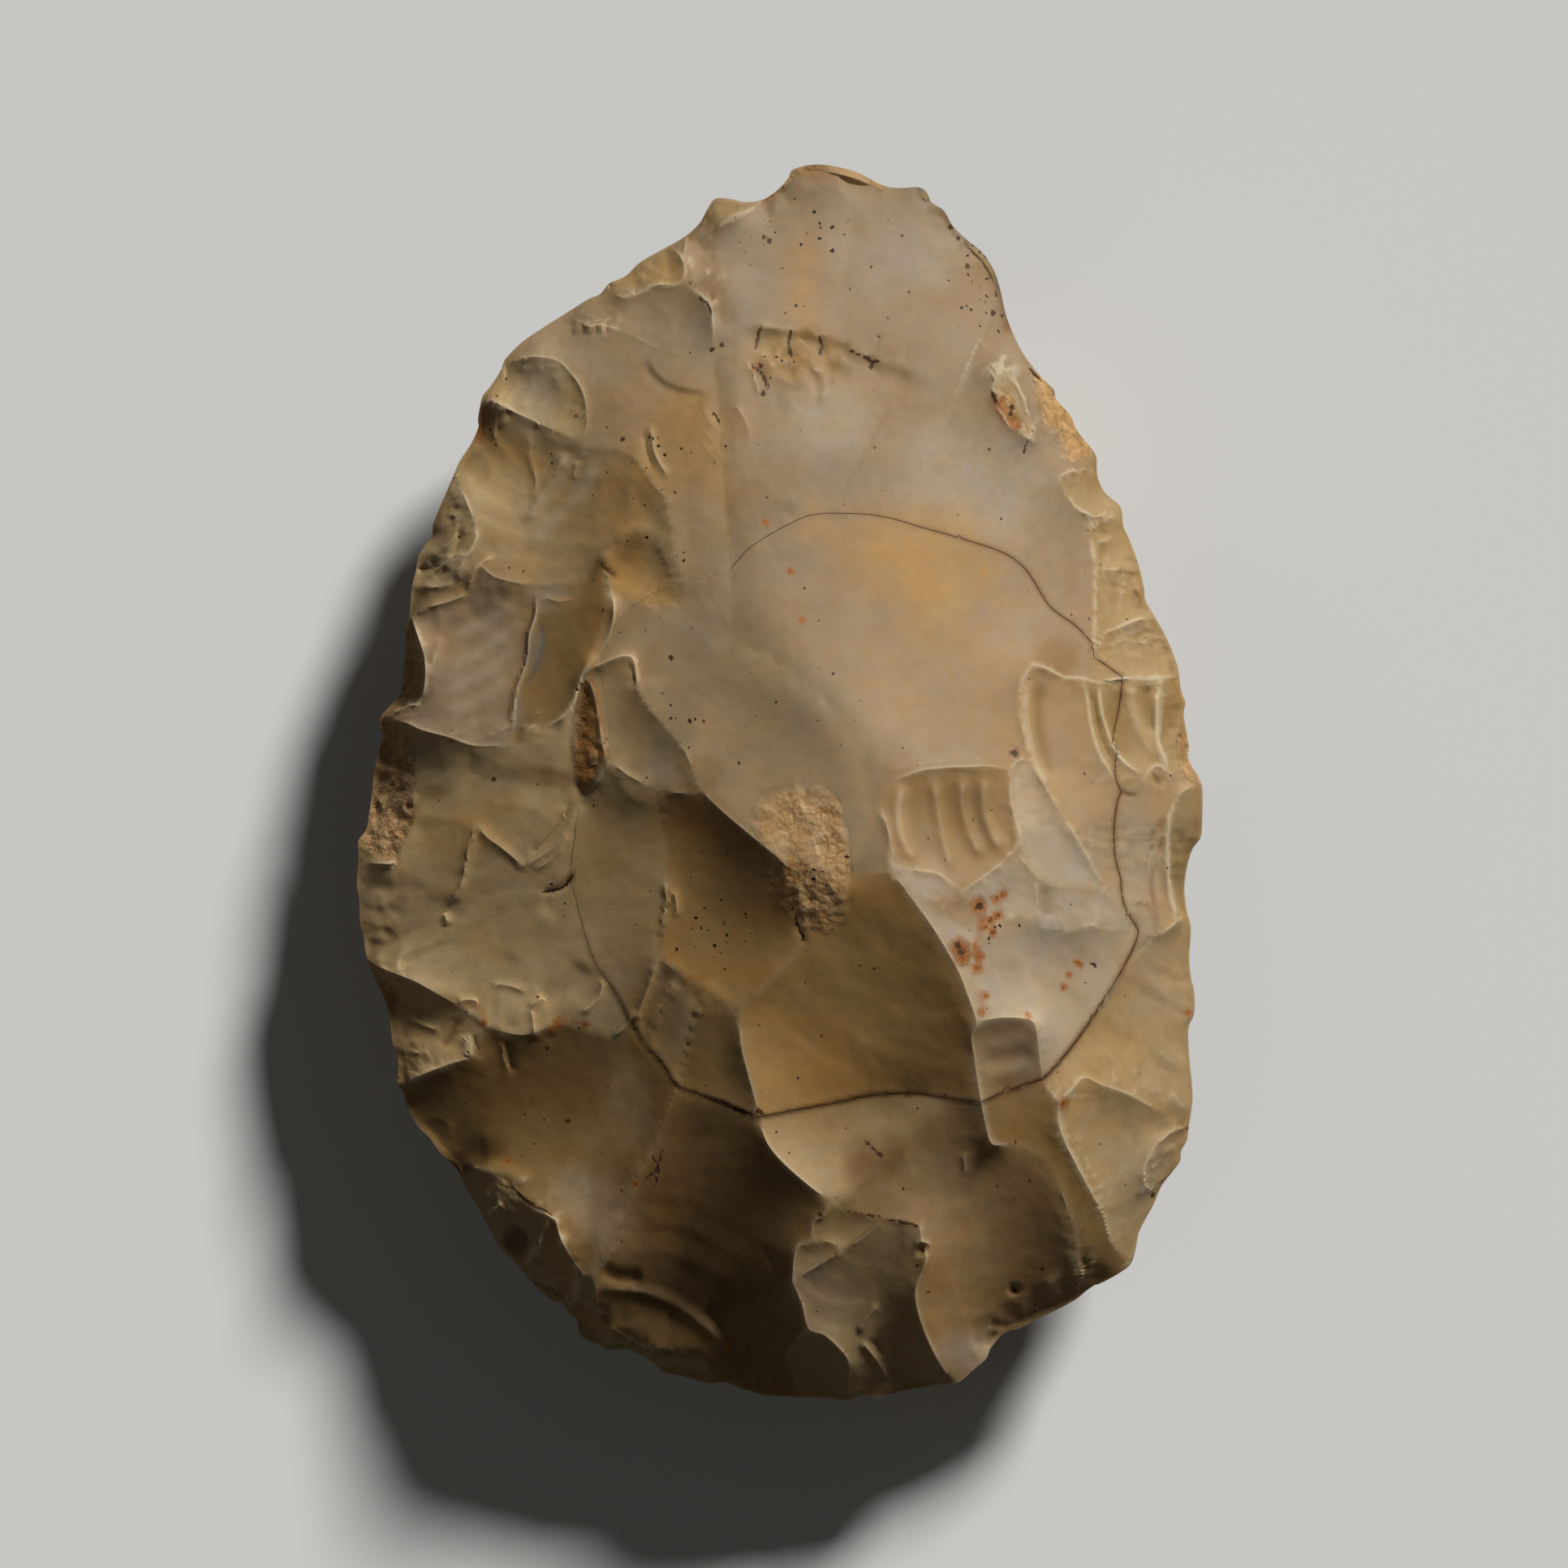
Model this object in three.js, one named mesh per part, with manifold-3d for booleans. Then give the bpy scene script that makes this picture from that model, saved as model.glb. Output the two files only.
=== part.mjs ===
// Flint hand axe: an oval, two-sided, knapped stone that lies on its reverse face.
// X runs across the axe, Y from the butt to the tip, Z up; the origin is under the middle,
// on the surface that the axe rests on.
//
// Each face is a net of ridges, the meeting lines of old flake scars, with one hollow
// surface hung between them. Pieces of rind, an open gash, a pocket of crystals, iron
// nodules and a lens of flint inside a hairline crack are then cut out of the whole stone.

import * as THREE from 'three';
import { mergeVertices } from 'three/addons/utils/BufferGeometryUtils.js';
import Module from 'manifold-3d';

// Driving dimensions, in millimetres
const LENGTH = 150;            // butt to tip
const WIDTH = 102.6;           // widest place, side to side
const FACE_HEIGHT = 26.3;      // worked face, cutting edge to highest ridge
const REVERSE_DEPTH = 17;      // reverse face, cutting edge to rest facet
const EDGE_WAVE = 0.8;         // rise and fall of the cutting edge
const CRACK_WIDTH = 0.3;       // hairline crack round the loose lens
const CRACK_WALL = 2.5;        // depth over which the crack goes straight down
const LENS_DEPTH = 13;         // loose lens, from its rim down to its underside
const SEAT_GAP = 0.3;          // between an inclusion and the flint round it
const RIND_DEPTH = 2.2;        // old rind left on the face
const GASH_DEPTH = 3;          // stained filling of the open gash
const CRYSTAL_DEPTH = 3.5;     // pocket of crystals on the main ridge
const NODULE_DEPTH = 2.4;      // iron nodules
const FOSSIL_DEPTH = 2.5;      // ring-shaped fossil near the butt

// Shares and counts
const FULLNESS = 0.82;         // below 1 the flanks of both faces swell, above 1 they thin
const SCAR_HOLLOW = 0.075;     // sag of a scar as a share of the root of its area
const LENS_FLOOR_SHARE = 0.25; // flat middle of the lens underside
const WAVE_START = 0.7;        // way out to the edge at which a face starts to follow its wave
const SLOW_WAVES = 5;          // long waves round the edge
const QUICK_WAVES = 13;        // short waves round the edge
const SLOW_SHARE = 0.7;        // part of the wave that is long

// Meshing
const COLUMNS = 38;            // grid nodes across a face
const ROWS = 54;               // grid nodes along a face
const OUTLINE_STEPS = 720;     // points along the outline curve
const RIDGE_STEP = 0.5;        // millimetres between points that a ridge is traced with
const EVENING_ROUNDS = 12;     // passes that even out the grid between the ridges
const SETTLING_ROUNDS = 900;   // passes that settle the surface between the ridges
const OVER_STEP = 1.7;         // over-relaxation of each pass
const LEAST_AREA = 1e-3;       // square millimetres that even a folded triangle counts as
const LEAST_WEIGHT = 0.01;     // pull of a neighbour across a very thin triangle
const MOST_WEIGHT = 4;         // pull of a neighbour across a very blunt triangle
const ON_EDGE = 1e-6;          // share by which a point may lie outside the triangle it is on
const LENS_RINGS = 5;          // rings that the lens underside curves in with
const CRACK_STEPS = 2;         // points along the crack for each one that it is drawn with

// The drawing. Its X and Y are pixels of the reference photograph, which looks straight
// down on the worked face with the tip at the top; its heights are millimetres above the
// cutting edge at the sizes drawn here. The outline spans these pixels.
const DRAWN = { left: 440, right: 1481, top: 203, bottom: 1725, peak: 26.3, rest: -17 };

// Outline of the stone, clockwise from the left of the tip
const outline = [
  [881, 245], [919, 249], [940, 246], [971, 220], [985, 206], [1027, 205], [1057, 213], [1086, 228],
  [1132, 231], [1150, 251], [1175, 280], [1210, 311], [1232, 356], [1248, 411], [1262, 440],
  [1298, 480], [1318, 511], [1349, 559], [1353, 590], [1381, 628], [1392, 666], [1409, 723],
  [1422, 759], [1448, 813], [1458, 866], [1464, 925], [1479, 961], [1481, 1015], [1469, 1046],
  [1460, 1095], [1467, 1150], [1471, 1235], [1464, 1275], [1469, 1356], [1462, 1405], [1445, 1443],
  [1421, 1484], [1403, 1517], [1393, 1557], [1354, 1582], [1311, 1609], [1250, 1638], [1228, 1650],
  [1215, 1674], [1179, 1704], [1126, 1712], [1043, 1725], [950, 1720], [894, 1704], [841, 1696],
  [806, 1680], [776, 1663], [739, 1657], [714, 1643], [699, 1612], [662, 1587], [624, 1545],
  [606, 1519], [575, 1466], [556, 1433], [514, 1386], [490, 1335], [490, 1299], [475, 1233],
  [452, 1179], [443, 1110], [442, 1040], [458, 985], [472, 905], [470, 882], [494, 853], [500, 780],
  [517, 683], [537, 640], [567, 568], [589, 524], [596, 486], [621, 447], [675, 400], [740, 362],
  [792, 321], [840, 294], [866, 262],
];

// Ridges of the worked face. Lines that share an end meet there, and a height of 0 at an end
// is a place on the cutting edge.
const faceRidges = {
  // Upper left
  rippledChip: [
    [825, 303, 0], [838, 316, 2.6], [844, 335, 4], [840, 350, 4.4], [810, 352, 3.6], [790, 361, 3],
    [766, 367, 2.2], [752, 352, 0],
  ],
  whiteScarE: [[840, 350, 4.4], [860, 362, 5.6], [874, 378, 6.8], [878, 400, 7.6], [880, 437, 8.6]],
  whiteScarS: [
    [700, 384, 0], [722, 402, 2.6], [744, 402, 3.8], [780, 414, 5.6], [816, 431, 7.2], [850, 437, 8.2],
    [880, 437, 8.6],
  ],
  halfroundArc: [
    [621, 448, 0], [650, 440, 2.4], [685, 444, 4.6], [702, 459, 6], [714, 475, 7], [722, 495, 7.6],
    [724, 520, 8], [720, 540, 8.2], [716, 552, 8.3],
  ],
  halfroundLow: [
    [594, 490, 0], [608, 494, 1.6], [630, 506, 3.6], [661, 520, 5.6], [690, 534, 7], [712, 545, 8.1],
    [716, 552, 8.3],
  ],
  arch: [
    [716, 552, 8.3], [740, 552, 9.2], [764, 556, 10], [785, 567, 10.8], [802, 593, 11.4],
    [813, 605, 11.8],
  ],
  brightRidge: [
    [813, 605, 11.8], [822, 620, 12.2], [828, 650, 12.8], [832, 690, 13.4], [838, 720, 13.8],
    [842, 742, 14],
  ],
  scoop: [
    [838, 745, 14], [838, 725, 13.8], [828, 695, 12.9], [812, 670, 12], [792, 656, 11.3],
    [775, 661, 10.9], [760, 672, 10.4], [748, 684, 10.1], [745, 702, 10.2], [748, 722, 10.6],
    [760, 735, 11.4], [790, 744, 12.8], [820, 748, 13.7], [842, 744, 14],
  ],
  pitsEdge: [[748, 684, 10.1], [739, 690, 9.6], [721, 713, 9], [690, 719, 8.1], [661, 721, 7.3]],
  upperLeftS: [[661, 721, 7.3], [630, 717, 6.4], [604, 712, 5.4], [583, 713, 4.4], [578, 733, 3.9]],
  // Left side
  leftScarTop: [[578, 733, 3.9], [555, 732, 2.9], [525, 742, 1.2], [506, 756, 0]],
  terraceW: [
    [661, 721, 7.3], [661, 756, 7.4], [653, 782, 7.2], [650, 815, 7.1], [639, 843, 6.8],
    [634, 866, 6.7], [633, 917, 6.9],
  ],
  leftScarS: [
    [633, 917, 6.9], [588, 919, 5.4], [553, 908, 4], [520, 899, 2.6], [496, 889, 1.4], [470, 893, 0],
  ],
  terraceE: [
    [745, 702, 10.2], [750, 723, 10.9], [757, 752, 11.5], [752, 779, 11.6], [734, 805, 11.5],
    [721, 828, 11.5], [714, 848, 11], [708, 864, 10.5], [695, 884, 9.6], [675, 894, 8.7],
    [655, 897, 7.9], [645, 915, 7.3], [633, 917, 6.9],
  ],
  flapN: [
    [721, 828, 12.2], [740, 820, 13.1], [756, 813, 13.8], [772, 809, 14.5], [782, 815, 14.9],
    [787, 851, 15.3],
  ],
  flapE: [[787, 851, 15.3], [805, 878, 16], [830, 905, 16.5], [846, 928, 17]],
  gashE: [[721, 828, 12.2], [731, 850, 12.4], [737, 880, 12.7], [742, 910, 13.1], [748, 938, 13.7]],
  gashW: [
    [721, 828, 11.5], [713, 860, 10.6], [706, 895, 10.2], [704, 930, 10.1], [708, 960, 10.4],
    [722, 978, 11.4],
  ],
  gashS: [[722, 978, 11.4], [735, 965, 12.6], [748, 938, 13.7]],
  crescent: [[722, 978, 11.4], [710, 990, 11.1], [696, 1010, 10.5], [675, 1039, 9.5], [650, 1063, 8.2]],
  leftMidS: [[650, 1063, 8.2], [640, 1066, 7.8], [620, 1050, 7], [599, 1033, 6.1], [586, 1016, 5.5]],
  // Middle
  mainRidge: [
    [846, 928, 17], [856, 950, 17.6], [866, 974, 18.4], [895, 1003, 20.2], [925, 1028, 21.8],
    [959, 1056, 23.6], [979, 1069, 24.4], [1010, 1070, 25.2], [1048, 1073, 25.9], [1094, 1075, 26.2],
    [1125, 1110, 25.5], [1150, 1145, 24.8], [1176, 1189, 23.8], [1186, 1212, 23.2], [1201, 1257, 21.6],
    [1195, 1272, 20.8], [1199, 1303, 19.2], [1207, 1356, 16.6],
  ],
  softTop: [
    [905, 790, 19], [935, 825, 20.8], [971, 853, 22.1], [1010, 892, 23.6], [1040, 930, 24.8],
    [1056, 975, 25.5], [1058, 1030, 25.9], [1048, 1073, 25.9],
  ],
  flapS: [
    [866, 974, 18.4], [840, 977, 17.4], [813, 973, 16.4], [780, 958, 15.2], [760, 944, 14.3],
    [748, 938, 13.7],
  ],
  centreW: [
    [813, 973, 16.4], [820, 1010, 16], [823, 1045, 15.9], [821, 1084, 15.8], [818, 1122, 15.5],
    [813, 1150, 15.2], [812, 1180, 14.9],
  ],
  centreS: [[836, 1201, 15.9], [850, 1222, 16.2], [877, 1237, 17], [908, 1243, 17.8]],
  centreE: [
    [979, 1069, 24.4], [980, 1100, 23.2], [986, 1130, 22.2], [990, 1155, 21.4], [984, 1170, 20.8],
    [960, 1196, 19.7], [938, 1220, 18.7], [908, 1243, 17.8],
  ],
  troughW: [[812, 1180, 14.9], [800, 1215, 13.9], [790, 1240, 13.2], [781, 1262, 12.4]],
  troughE: [
    [812, 1180, 14.9], [825, 1188, 15.5], [836, 1201, 15.9], [822, 1228, 14.8], [808, 1255, 13.8],
    [797, 1280, 12.9],
  ],
  darkW: [
    [908, 1243, 17.8], [912, 1270, 17.2], [915, 1295, 16.6], [923, 1326, 15.8], [933, 1362, 14.8],
    [935, 1374, 14.6],
  ],
  darkS: [
    [935, 1374, 14.6], [984, 1365, 13.4], [1035, 1356, 13], [1073, 1348, 13.2], [1124, 1346, 14],
    [1165, 1351, 15.2], [1207, 1356, 16.6],
  ],
  smallLow: [[837, 1336, 13.6], [846, 1300, 14.6], [853, 1265, 15.4], [860, 1228, 16.4]],
  // Lower left
  crackSw: [
    [781, 1262, 12.4], [797, 1283, 12.7], [813, 1305, 13], [837, 1336, 13.6], [867, 1348, 14],
    [900, 1360, 14.4], [935, 1374, 14.6],
  ],
  ledge: [
    [781, 1262, 12.4], [766, 1275, 11.7], [752, 1277, 11.1], [720, 1268, 10.2], [688, 1260, 9.4],
    [657, 1272, 8.4], [639, 1274, 8], [615, 1268, 7.2], [596, 1261, 6.7], [578, 1245, 6.2],
    [565, 1238, 5.9],
  ],
  ledgeN: [
    [565, 1238, 5.9], [540, 1224, 5], [515, 1210, 3.9], [490, 1200, 2.4], [470, 1192, 1.2],
    [453, 1182, 0],
  ],
  ledgeW: [[596, 1261, 6.7], [591, 1280, 6.1], [590, 1302, 5.4]],
  lowleftN: [[590, 1302, 5.4], [570, 1306, 4.5], [553, 1311, 3.6], [522, 1323, 1.8], [492, 1337, 0]],
  greyE: [
    [837, 1336, 13.6], [823, 1372, 12.6], [806, 1415, 11.4], [791, 1440, 10.6], [774, 1478, 9.3],
    [754, 1514, 7.9], [739, 1542, 6.6], [731, 1578, 5],
  ],
  greyS: [
    [563, 1440, 0], [585, 1438, 1.2], [604, 1441, 2.2], [620, 1450, 3], [634, 1463, 3.8],
    [655, 1482, 4.6], [676, 1496, 5.4], [686, 1502, 5.8],
  ],
  crumble: [[686, 1502, 5.8], [692, 1525, 5.4], [703, 1545, 4.8], [716, 1565, 4.6], [731, 1578, 5]],
  buttA: [[634, 1463, 3.8], [620, 1480, 2.9], [608, 1491, 2], [597, 1500, 0]],
  buttB: [[676, 1496, 5.4], [668, 1520, 4.3], [660, 1540, 3], [646, 1565, 0]],
  buttD: [[731, 1578, 5], [736, 1600, 4], [741, 1630, 2.2], [738, 1656, 0]],
  // Butt
  triangleW: [[935, 1374, 14.6], [945, 1405, 14], [966, 1431, 13.4], [999, 1460, 12.6],
  [1023, 1477, 12]],
  triangleE: [
    [1023, 1477, 12], [1050, 1462, 11.8], [1085, 1430, 11.8], [1115, 1395, 12.6], [1145, 1362, 14.4],
    [1150, 1349, 14.7],
  ],
  facetW: [
    [1023, 1477, 12], [1013, 1497, 11.2], [1001, 1503, 10.8], [999, 1527, 10], [981, 1536, 9.5],
    [976, 1576, 8],
  ],
  facetN: [
    [1023, 1477, 12], [1043, 1489, 11.4], [1086, 1500, 10.9], [1110, 1502, 10.8], [1133, 1510, 10.4],
  ],
  facetMid: [[999, 1527, 10], [1018, 1527, 10.1], [1030, 1532, 10], [1043, 1536, 9.8]],
  facetS: [
    [976, 1576, 8], [1005, 1559, 8.8], [1028, 1545, 9.5], [1043, 1536, 9.8], [1060, 1525, 10.2],
    [1075, 1512, 10.6], [1086, 1500, 10.9],
  ],
  buttW: [
    [976, 1576, 8], [988, 1605, 6.6], [996, 1635, 5.2], [1015, 1643, 4.6], [1033, 1659, 3.8],
    [1046, 1680, 2.6], [1043, 1725, 0],
  ],
  buttW2: [[996, 1635, 5.2], [980, 1652, 3.8], [972, 1670, 2.8], [980, 1695, 1.6], [983, 1721, 0]],
  buttE: [
    [1133, 1510, 10.4], [1135, 1530, 9.8], [1140, 1548, 9], [1131, 1575, 7.8], [1127, 1595, 6.9],
    [1135, 1630, 5], [1152, 1669, 2.6], [1174, 1704, 0],
  ],
  // Lower right
  stripW: [
    [1207, 1356, 16.6], [1213, 1384, 15.4], [1222, 1408, 14.4], [1252, 1407, 13.2], [1281, 1426, 11.8],
    [1298, 1446, 10.4], [1311, 1480, 8.2], [1323, 1513, 6], [1327, 1546, 3.8], [1331, 1569, 2.2],
    [1321, 1603, 0],
  ],
  stripE: [
    [1303, 1358, 12.6], [1302, 1380, 12], [1311, 1407, 10.9], [1328, 1440, 9], [1344, 1470, 7],
    [1361, 1503, 4.6], [1368, 1529, 3], [1392, 1560, 0],
  ],
  noduleLink: [[1283, 1328, 14.2], [1292, 1342, 13.4], [1303, 1358, 12.6]],
  fanN: [
    [1303, 1358, 12.6], [1320, 1340, 12], [1334, 1326, 11.3], [1357, 1336, 9.2], [1385, 1346, 6.6],
    [1416, 1362, 3.6], [1440, 1374, 1.8], [1465, 1387, 0],
  ],
  crackSe: [[1207, 1356, 16.6], [1232, 1345, 15.9], [1260, 1335, 15], [1283, 1328, 14.2]],
  crackE: [
    [1283, 1328, 14.2], [1298, 1313, 13.4], [1319, 1288, 12.4], [1347, 1249, 11], [1365, 1221, 10.2],
    [1380, 1196, 9.6], [1398, 1160, 9], [1401, 1142, 9.2],
  ],
  rectN: [
    [1201, 1257, 21.6], [1232, 1252, 19.9], [1265, 1254, 17.8], [1274, 1264, 17], [1278, 1293, 15.6],
    [1283, 1328, 14.2],
  ],
  paleS: [
    [1176, 1189, 23.8], [1200, 1165, 21.8], [1222, 1142, 20.2], [1242, 1131, 19], [1263, 1129, 17.6],
    [1275, 1137, 16.6], [1293, 1143, 15.4], [1319, 1144, 13.8], [1339, 1139, 12.8], [1365, 1143, 11],
    [1401, 1142, 9.2],
  ],
  paleN: [
    [1184, 1098, 23.2], [1207, 1082, 22.5], [1232, 1064, 21.5], [1247, 1051, 20.8], [1273, 1077, 19.2],
    [1293, 1090, 18], [1320, 1093, 16.4], [1349, 1096, 14.4], [1365, 1103, 12.8],
  ],
  // Right side
  ribbedS: [
    [1094, 1050, 26.2], [1112, 1066, 25.8], [1130, 1072, 25.3], [1156, 1077, 24.3], [1184, 1098, 23.2],
  ],
  ribbedLink: [[1094, 1075, 26.2], [1093, 1062, 26.3], [1094, 1050, 26.2]],
  ribbedW: [
    [1094, 1050, 26.2], [1094, 1023, 26], [1086, 1000, 25.7], [1084, 982, 25.4], [1095, 966, 25],
    [1112, 957, 24.6], [1137, 949, 23.9], [1165, 946, 23], [1194, 945, 22], [1214, 944, 21.2],
    [1242, 947, 19.8],
  ],
  ribbedE: [
    [1242, 947, 19.8], [1243, 988, 20], [1250, 1015, 20.2], [1254, 1033, 20.4], [1247, 1051, 20.8],
  ],
  hingeGap: [[1242, 947, 19.8], [1256, 936, 19], [1269, 938, 18]],
  hingeW: [
    [1270, 820, 15.6], [1259, 838, 16.6], [1252, 866, 17.4], [1258, 899, 17.9], [1269, 938, 18],
    [1288, 975, 17.4], [1309, 1008, 16.4], [1329, 1041, 15.2], [1347, 1072, 14], [1365, 1103, 12.8],
    [1385, 1124, 11], [1401, 1142, 9.2],
  ],
  hingeN: [
    [1270, 820, 15.6], [1288, 825, 14.4], [1309, 835, 12.8], [1329, 836, 11.4], [1354, 841, 9.4],
    [1379, 837, 7.2], [1405, 837, 5.2], [1431, 836, 2.8], [1453, 834, 0],
  ],
  ribsW: [
    [1354, 841, 9.4], [1352, 880, 10], [1358, 920, 10], [1366, 945, 9.6], [1378, 968, 8.9],
    [1400, 972, 7.6], [1411, 955, 6.6], [1424, 942, 5.2], [1444, 948, 3.4], [1466, 940, 0],
  ],
  edgeLineE: [
    [1350, 637, 3.8], [1342, 646, 4.4], [1341, 665, 4.8], [1347, 690, 5.2], [1348, 725, 6.2],
    [1348, 760, 7.4], [1345, 795, 8.8], [1348, 822, 9.3], [1354, 841, 9.4],
  ],
  edgeRidgeE: [
    [1479, 968, 0], [1462, 972, 2.2], [1447, 985, 3.8], [1439, 1013, 4.6], [1437, 1050, 4.8],
    [1440, 1102, 4.4], [1450, 1136, 3.2],
  ],
  tanN: [[1401, 1142, 9.2], [1425, 1152, 6.4], [1450, 1136, 3.2], [1463, 1126, 0]],
};

// Ridges of the reverse face, drawn through the stone as seen from the worked face
const reverseRidges = {
  restFacet: [
    [840, 640, -17], [980, 600, -17], [1110, 650, -17], [1180, 800, -17], [1190, 980, -17],
    [1120, 1150, -17], [980, 1240, -17], [830, 1180, -17], [750, 1020, -17], [760, 800, -17],
    [840, 640, -17],
  ],
  // Long ridges from the rest facet out to the edge
  tipLeft: [[840, 640, -17], [780, 520, -12.5], [720, 400, -4.5], [692, 390, 0]],
  tip: [[980, 600, -17], [985, 440, -12.5], [1000, 300, -6], [1015, 205, 0]],
  tipRight: [[1110, 650, -17], [1180, 540, -12.5], [1236, 470, -6], [1270, 450, 0]],
  rightUpper: [[1180, 800, -17], [1280, 750, -12], [1365, 708, -4.5], [1403, 700, 0]],
  right: [[1190, 980, -17], [1300, 992, -12.5], [1400, 1012, -7], [1480, 1018, 0]],
  rightLower: [[1120, 1150, -17], [1240, 1240, -13], [1370, 1325, -7], [1468, 1345, 0]],
  butt: [[980, 1240, -17], [1015, 1400, -14], [1050, 1560, -8], [1075, 1722, 0]],
  buttLeft: [[830, 1180, -17], [740, 1320, -12.5], [665, 1445, -6], [600, 1508, 0]],
  left: [[750, 1020, -17], [640, 1060, -12], [530, 1090, -6], [442, 1095, 0]],
  leftUpper: [[760, 800, -17], [650, 740, -12], [560, 690, -5], [515, 695, 0]],
  // Crossing ridges between the long scars and the small ones along the edge
  crossTipLeft: [[720, 400, -4.5], [800, 395, -6.5], [865, 330, -4], [872, 258, 0]],
  crossTip: [[1000, 300, -6], [1080, 330, -7.5], [1140, 300, -4], [1165, 265, 0]],
  crossRightUpper: [[1236, 470, -6], [1300, 570, -7], [1365, 708, -4.5]],
  crossRight: [[1365, 708, -4.5], [1392, 860, -7], [1400, 1012, -7]],
  crossRightLower: [[1400, 1012, -7], [1385, 1150, -6], [1466, 1190, 0]],
  crossButtRight: [[1370, 1325, -7], [1295, 1480, -8], [1205, 1590, -6.5], [1180, 1703, 0]],
  crossButt: [[1050, 1560, -8], [900, 1580, -8], [760, 1510, -7.5], [665, 1445, -6]],
  crossLeft: [[665, 1445, -6], [565, 1320, -6.5], [530, 1200, -6], [530, 1090, -6]],
  crossLeftUpper: [[530, 1090, -6], [545, 930, -7], [560, 690, -5]],
};

// Scars whose hollow isn't the usual share of their size: a place inside the scar and its
// sag in millimetres. A sag below zero is an old surface that bulges.
const setSags = [
  { name: 'old surface', at: [1050, 600], sag: -3 },
  { name: 'slope south west of the middle', at: [900, 900], sag: 0.6 },
  { name: 'terrace', at: [695, 800], sag: 0.8 },
  { name: 'pale band', at: [1250, 1095], sag: 0.2 },
  { name: 'right side below the crack', at: [1400, 1280], sag: 0.6 },
];
const reverseSags = [
  { name: 'rest facet', at: [970, 900], sag: 0 },
];

// Hairline crack round the loose lens, clockwise from the upper left
const crack = [
  [892, 707], [941, 665], [997, 637], [1086, 638], [1180, 664], [1258, 698], [1293, 749],
  [1342, 792], [1380, 836], [1372, 930], [1372, 1010], [1380, 1097], [1400, 1143], [1380, 1196],
  [1347, 1249], [1298, 1313], [1207, 1356], [1124, 1345], [1035, 1355], [943, 1373], [867, 1348],
  [813, 1305], [777, 1255], [736, 1189], [711, 1110], [707, 1040], [726, 976], [746, 930],
  [738, 885], [731, 840], [742, 800], [775, 752], [830, 722],
];
const crackMiddle = [1045, 1000];

// Inclusions, each drawn as the edge of what shows on the face. An inclusion belongs to the
// body or to the lens, whichever it sits in.
const inclusions = [
  { name: 'rind_left', host: 'body', kind: 'rind', depth: RIND_DEPTH,
    edge: [
      [430, 1046], [480, 1069], [500, 1034], [510, 985], [508, 930], [486, 892], [452, 905],
      [430, 960],
    ] },
  { name: 'rind_left_upper', host: 'body', kind: 'rind', depth: RIND_DEPTH,
    edge: [[484, 876], [520, 862], [526, 815], [512, 762], [486, 768], [480, 830], [468, 872]] },
  { name: 'rind_shoulder', host: 'body', kind: 'rind', depth: RIND_DEPTH,
    edge: [[1277, 462], [1282, 524], [1303, 538], [1310, 566], [1342, 562], [1362, 545], [1310, 462]] },
  { name: 'rind_notch', host: 'body', kind: 'rind', depth: RIND_DEPTH,
    edge: [[1223, 476], [1231, 511], [1246, 530], [1265, 540], [1258, 512], [1240, 484]] },
  { name: 'rind_right', host: 'body', kind: 'rind', depth: RIND_DEPTH,
    edge: [[1449, 905], [1450, 950], [1466, 968], [1492, 962], [1482, 900]] },
  { name: 'rind_tip', host: 'body', kind: 'rind', depth: RIND_DEPTH,
    edge: [
      [936, 258], [968, 236], [980, 216], [1010, 216], [1050, 224], [1054, 196], [970, 190],
      [925, 240],
    ] },
  { name: 'rind_lower_left', host: 'body', kind: 'rind', depth: RIND_DEPTH,
    edge: [[455, 1205], [474, 1200], [488, 1220], [488, 1252], [462, 1262]] },
  { name: 'gash_filling', host: 'body', kind: 'stain', depth: GASH_DEPTH,
    edge: [[724, 842], [734, 880], [741, 930], [722, 972], [709, 940], [712, 880]] },
  { name: 'crystal_pocket', host: 'lens', kind: 'crystal', depth: CRYSTAL_DEPTH,
    edge: [
      [925, 1012], [945, 975], [1000, 962], [1036, 985], [1050, 1050], [1052, 1120], [1015, 1150],
      [968, 1138], [945, 1080],
    ] },
  { name: 'iron_nodule_ridge', host: 'lens', kind: 'iron', depth: NODULE_DEPTH,
    edge: [[1168, 1166], [1183, 1156], [1194, 1170], [1188, 1188], [1174, 1184]] },
  { name: 'iron_nodule_band', host: 'lens', kind: 'iron', depth: NODULE_DEPTH,
    edge: [[1196, 1104], [1208, 1100], [1214, 1116], [1204, 1128], [1194, 1120]] },
  { name: 'iron_nodule_upper', host: 'lens', kind: 'iron', depth: NODULE_DEPTH,
    edge: [[1238, 920], [1252, 917], [1258, 930], [1248, 940], [1237, 934]] },
  { name: 'iron_nodule_fan', host: 'body', kind: 'iron', depth: NODULE_DEPTH,
    edge: [[1303, 1344], [1314, 1350], [1313, 1366], [1302, 1370], [1298, 1356]] },
  { name: 'fossil_ring', host: 'body', kind: 'fossil', depth: FOSSIL_DEPTH,
    edge: [[620, 1518], [636, 1508], [650, 1518], [652, 1536], [640, 1547], [624, 1540]] },
];

const finishes = {
  flint: { color: 0xb8a27c, roughness: 0.42, metalness: 0 },
  lens: { color: 0xbfa880, roughness: 0.42, metalness: 0 },
  rind: { color: 0x94704a, roughness: 0.95, metalness: 0 },
  stain: { color: 0x8a5c2c, roughness: 0.9, metalness: 0 },
  crystal: { color: 0xb89468, roughness: 0.6, metalness: 0 },
  iron: { color: 0x6e2f16, roughness: 0.7, metalness: 0 },
  fossil: { color: 0x6a5a48, roughness: 0.75, metalness: 0 },
};

// From the drawing to millimetres

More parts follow.
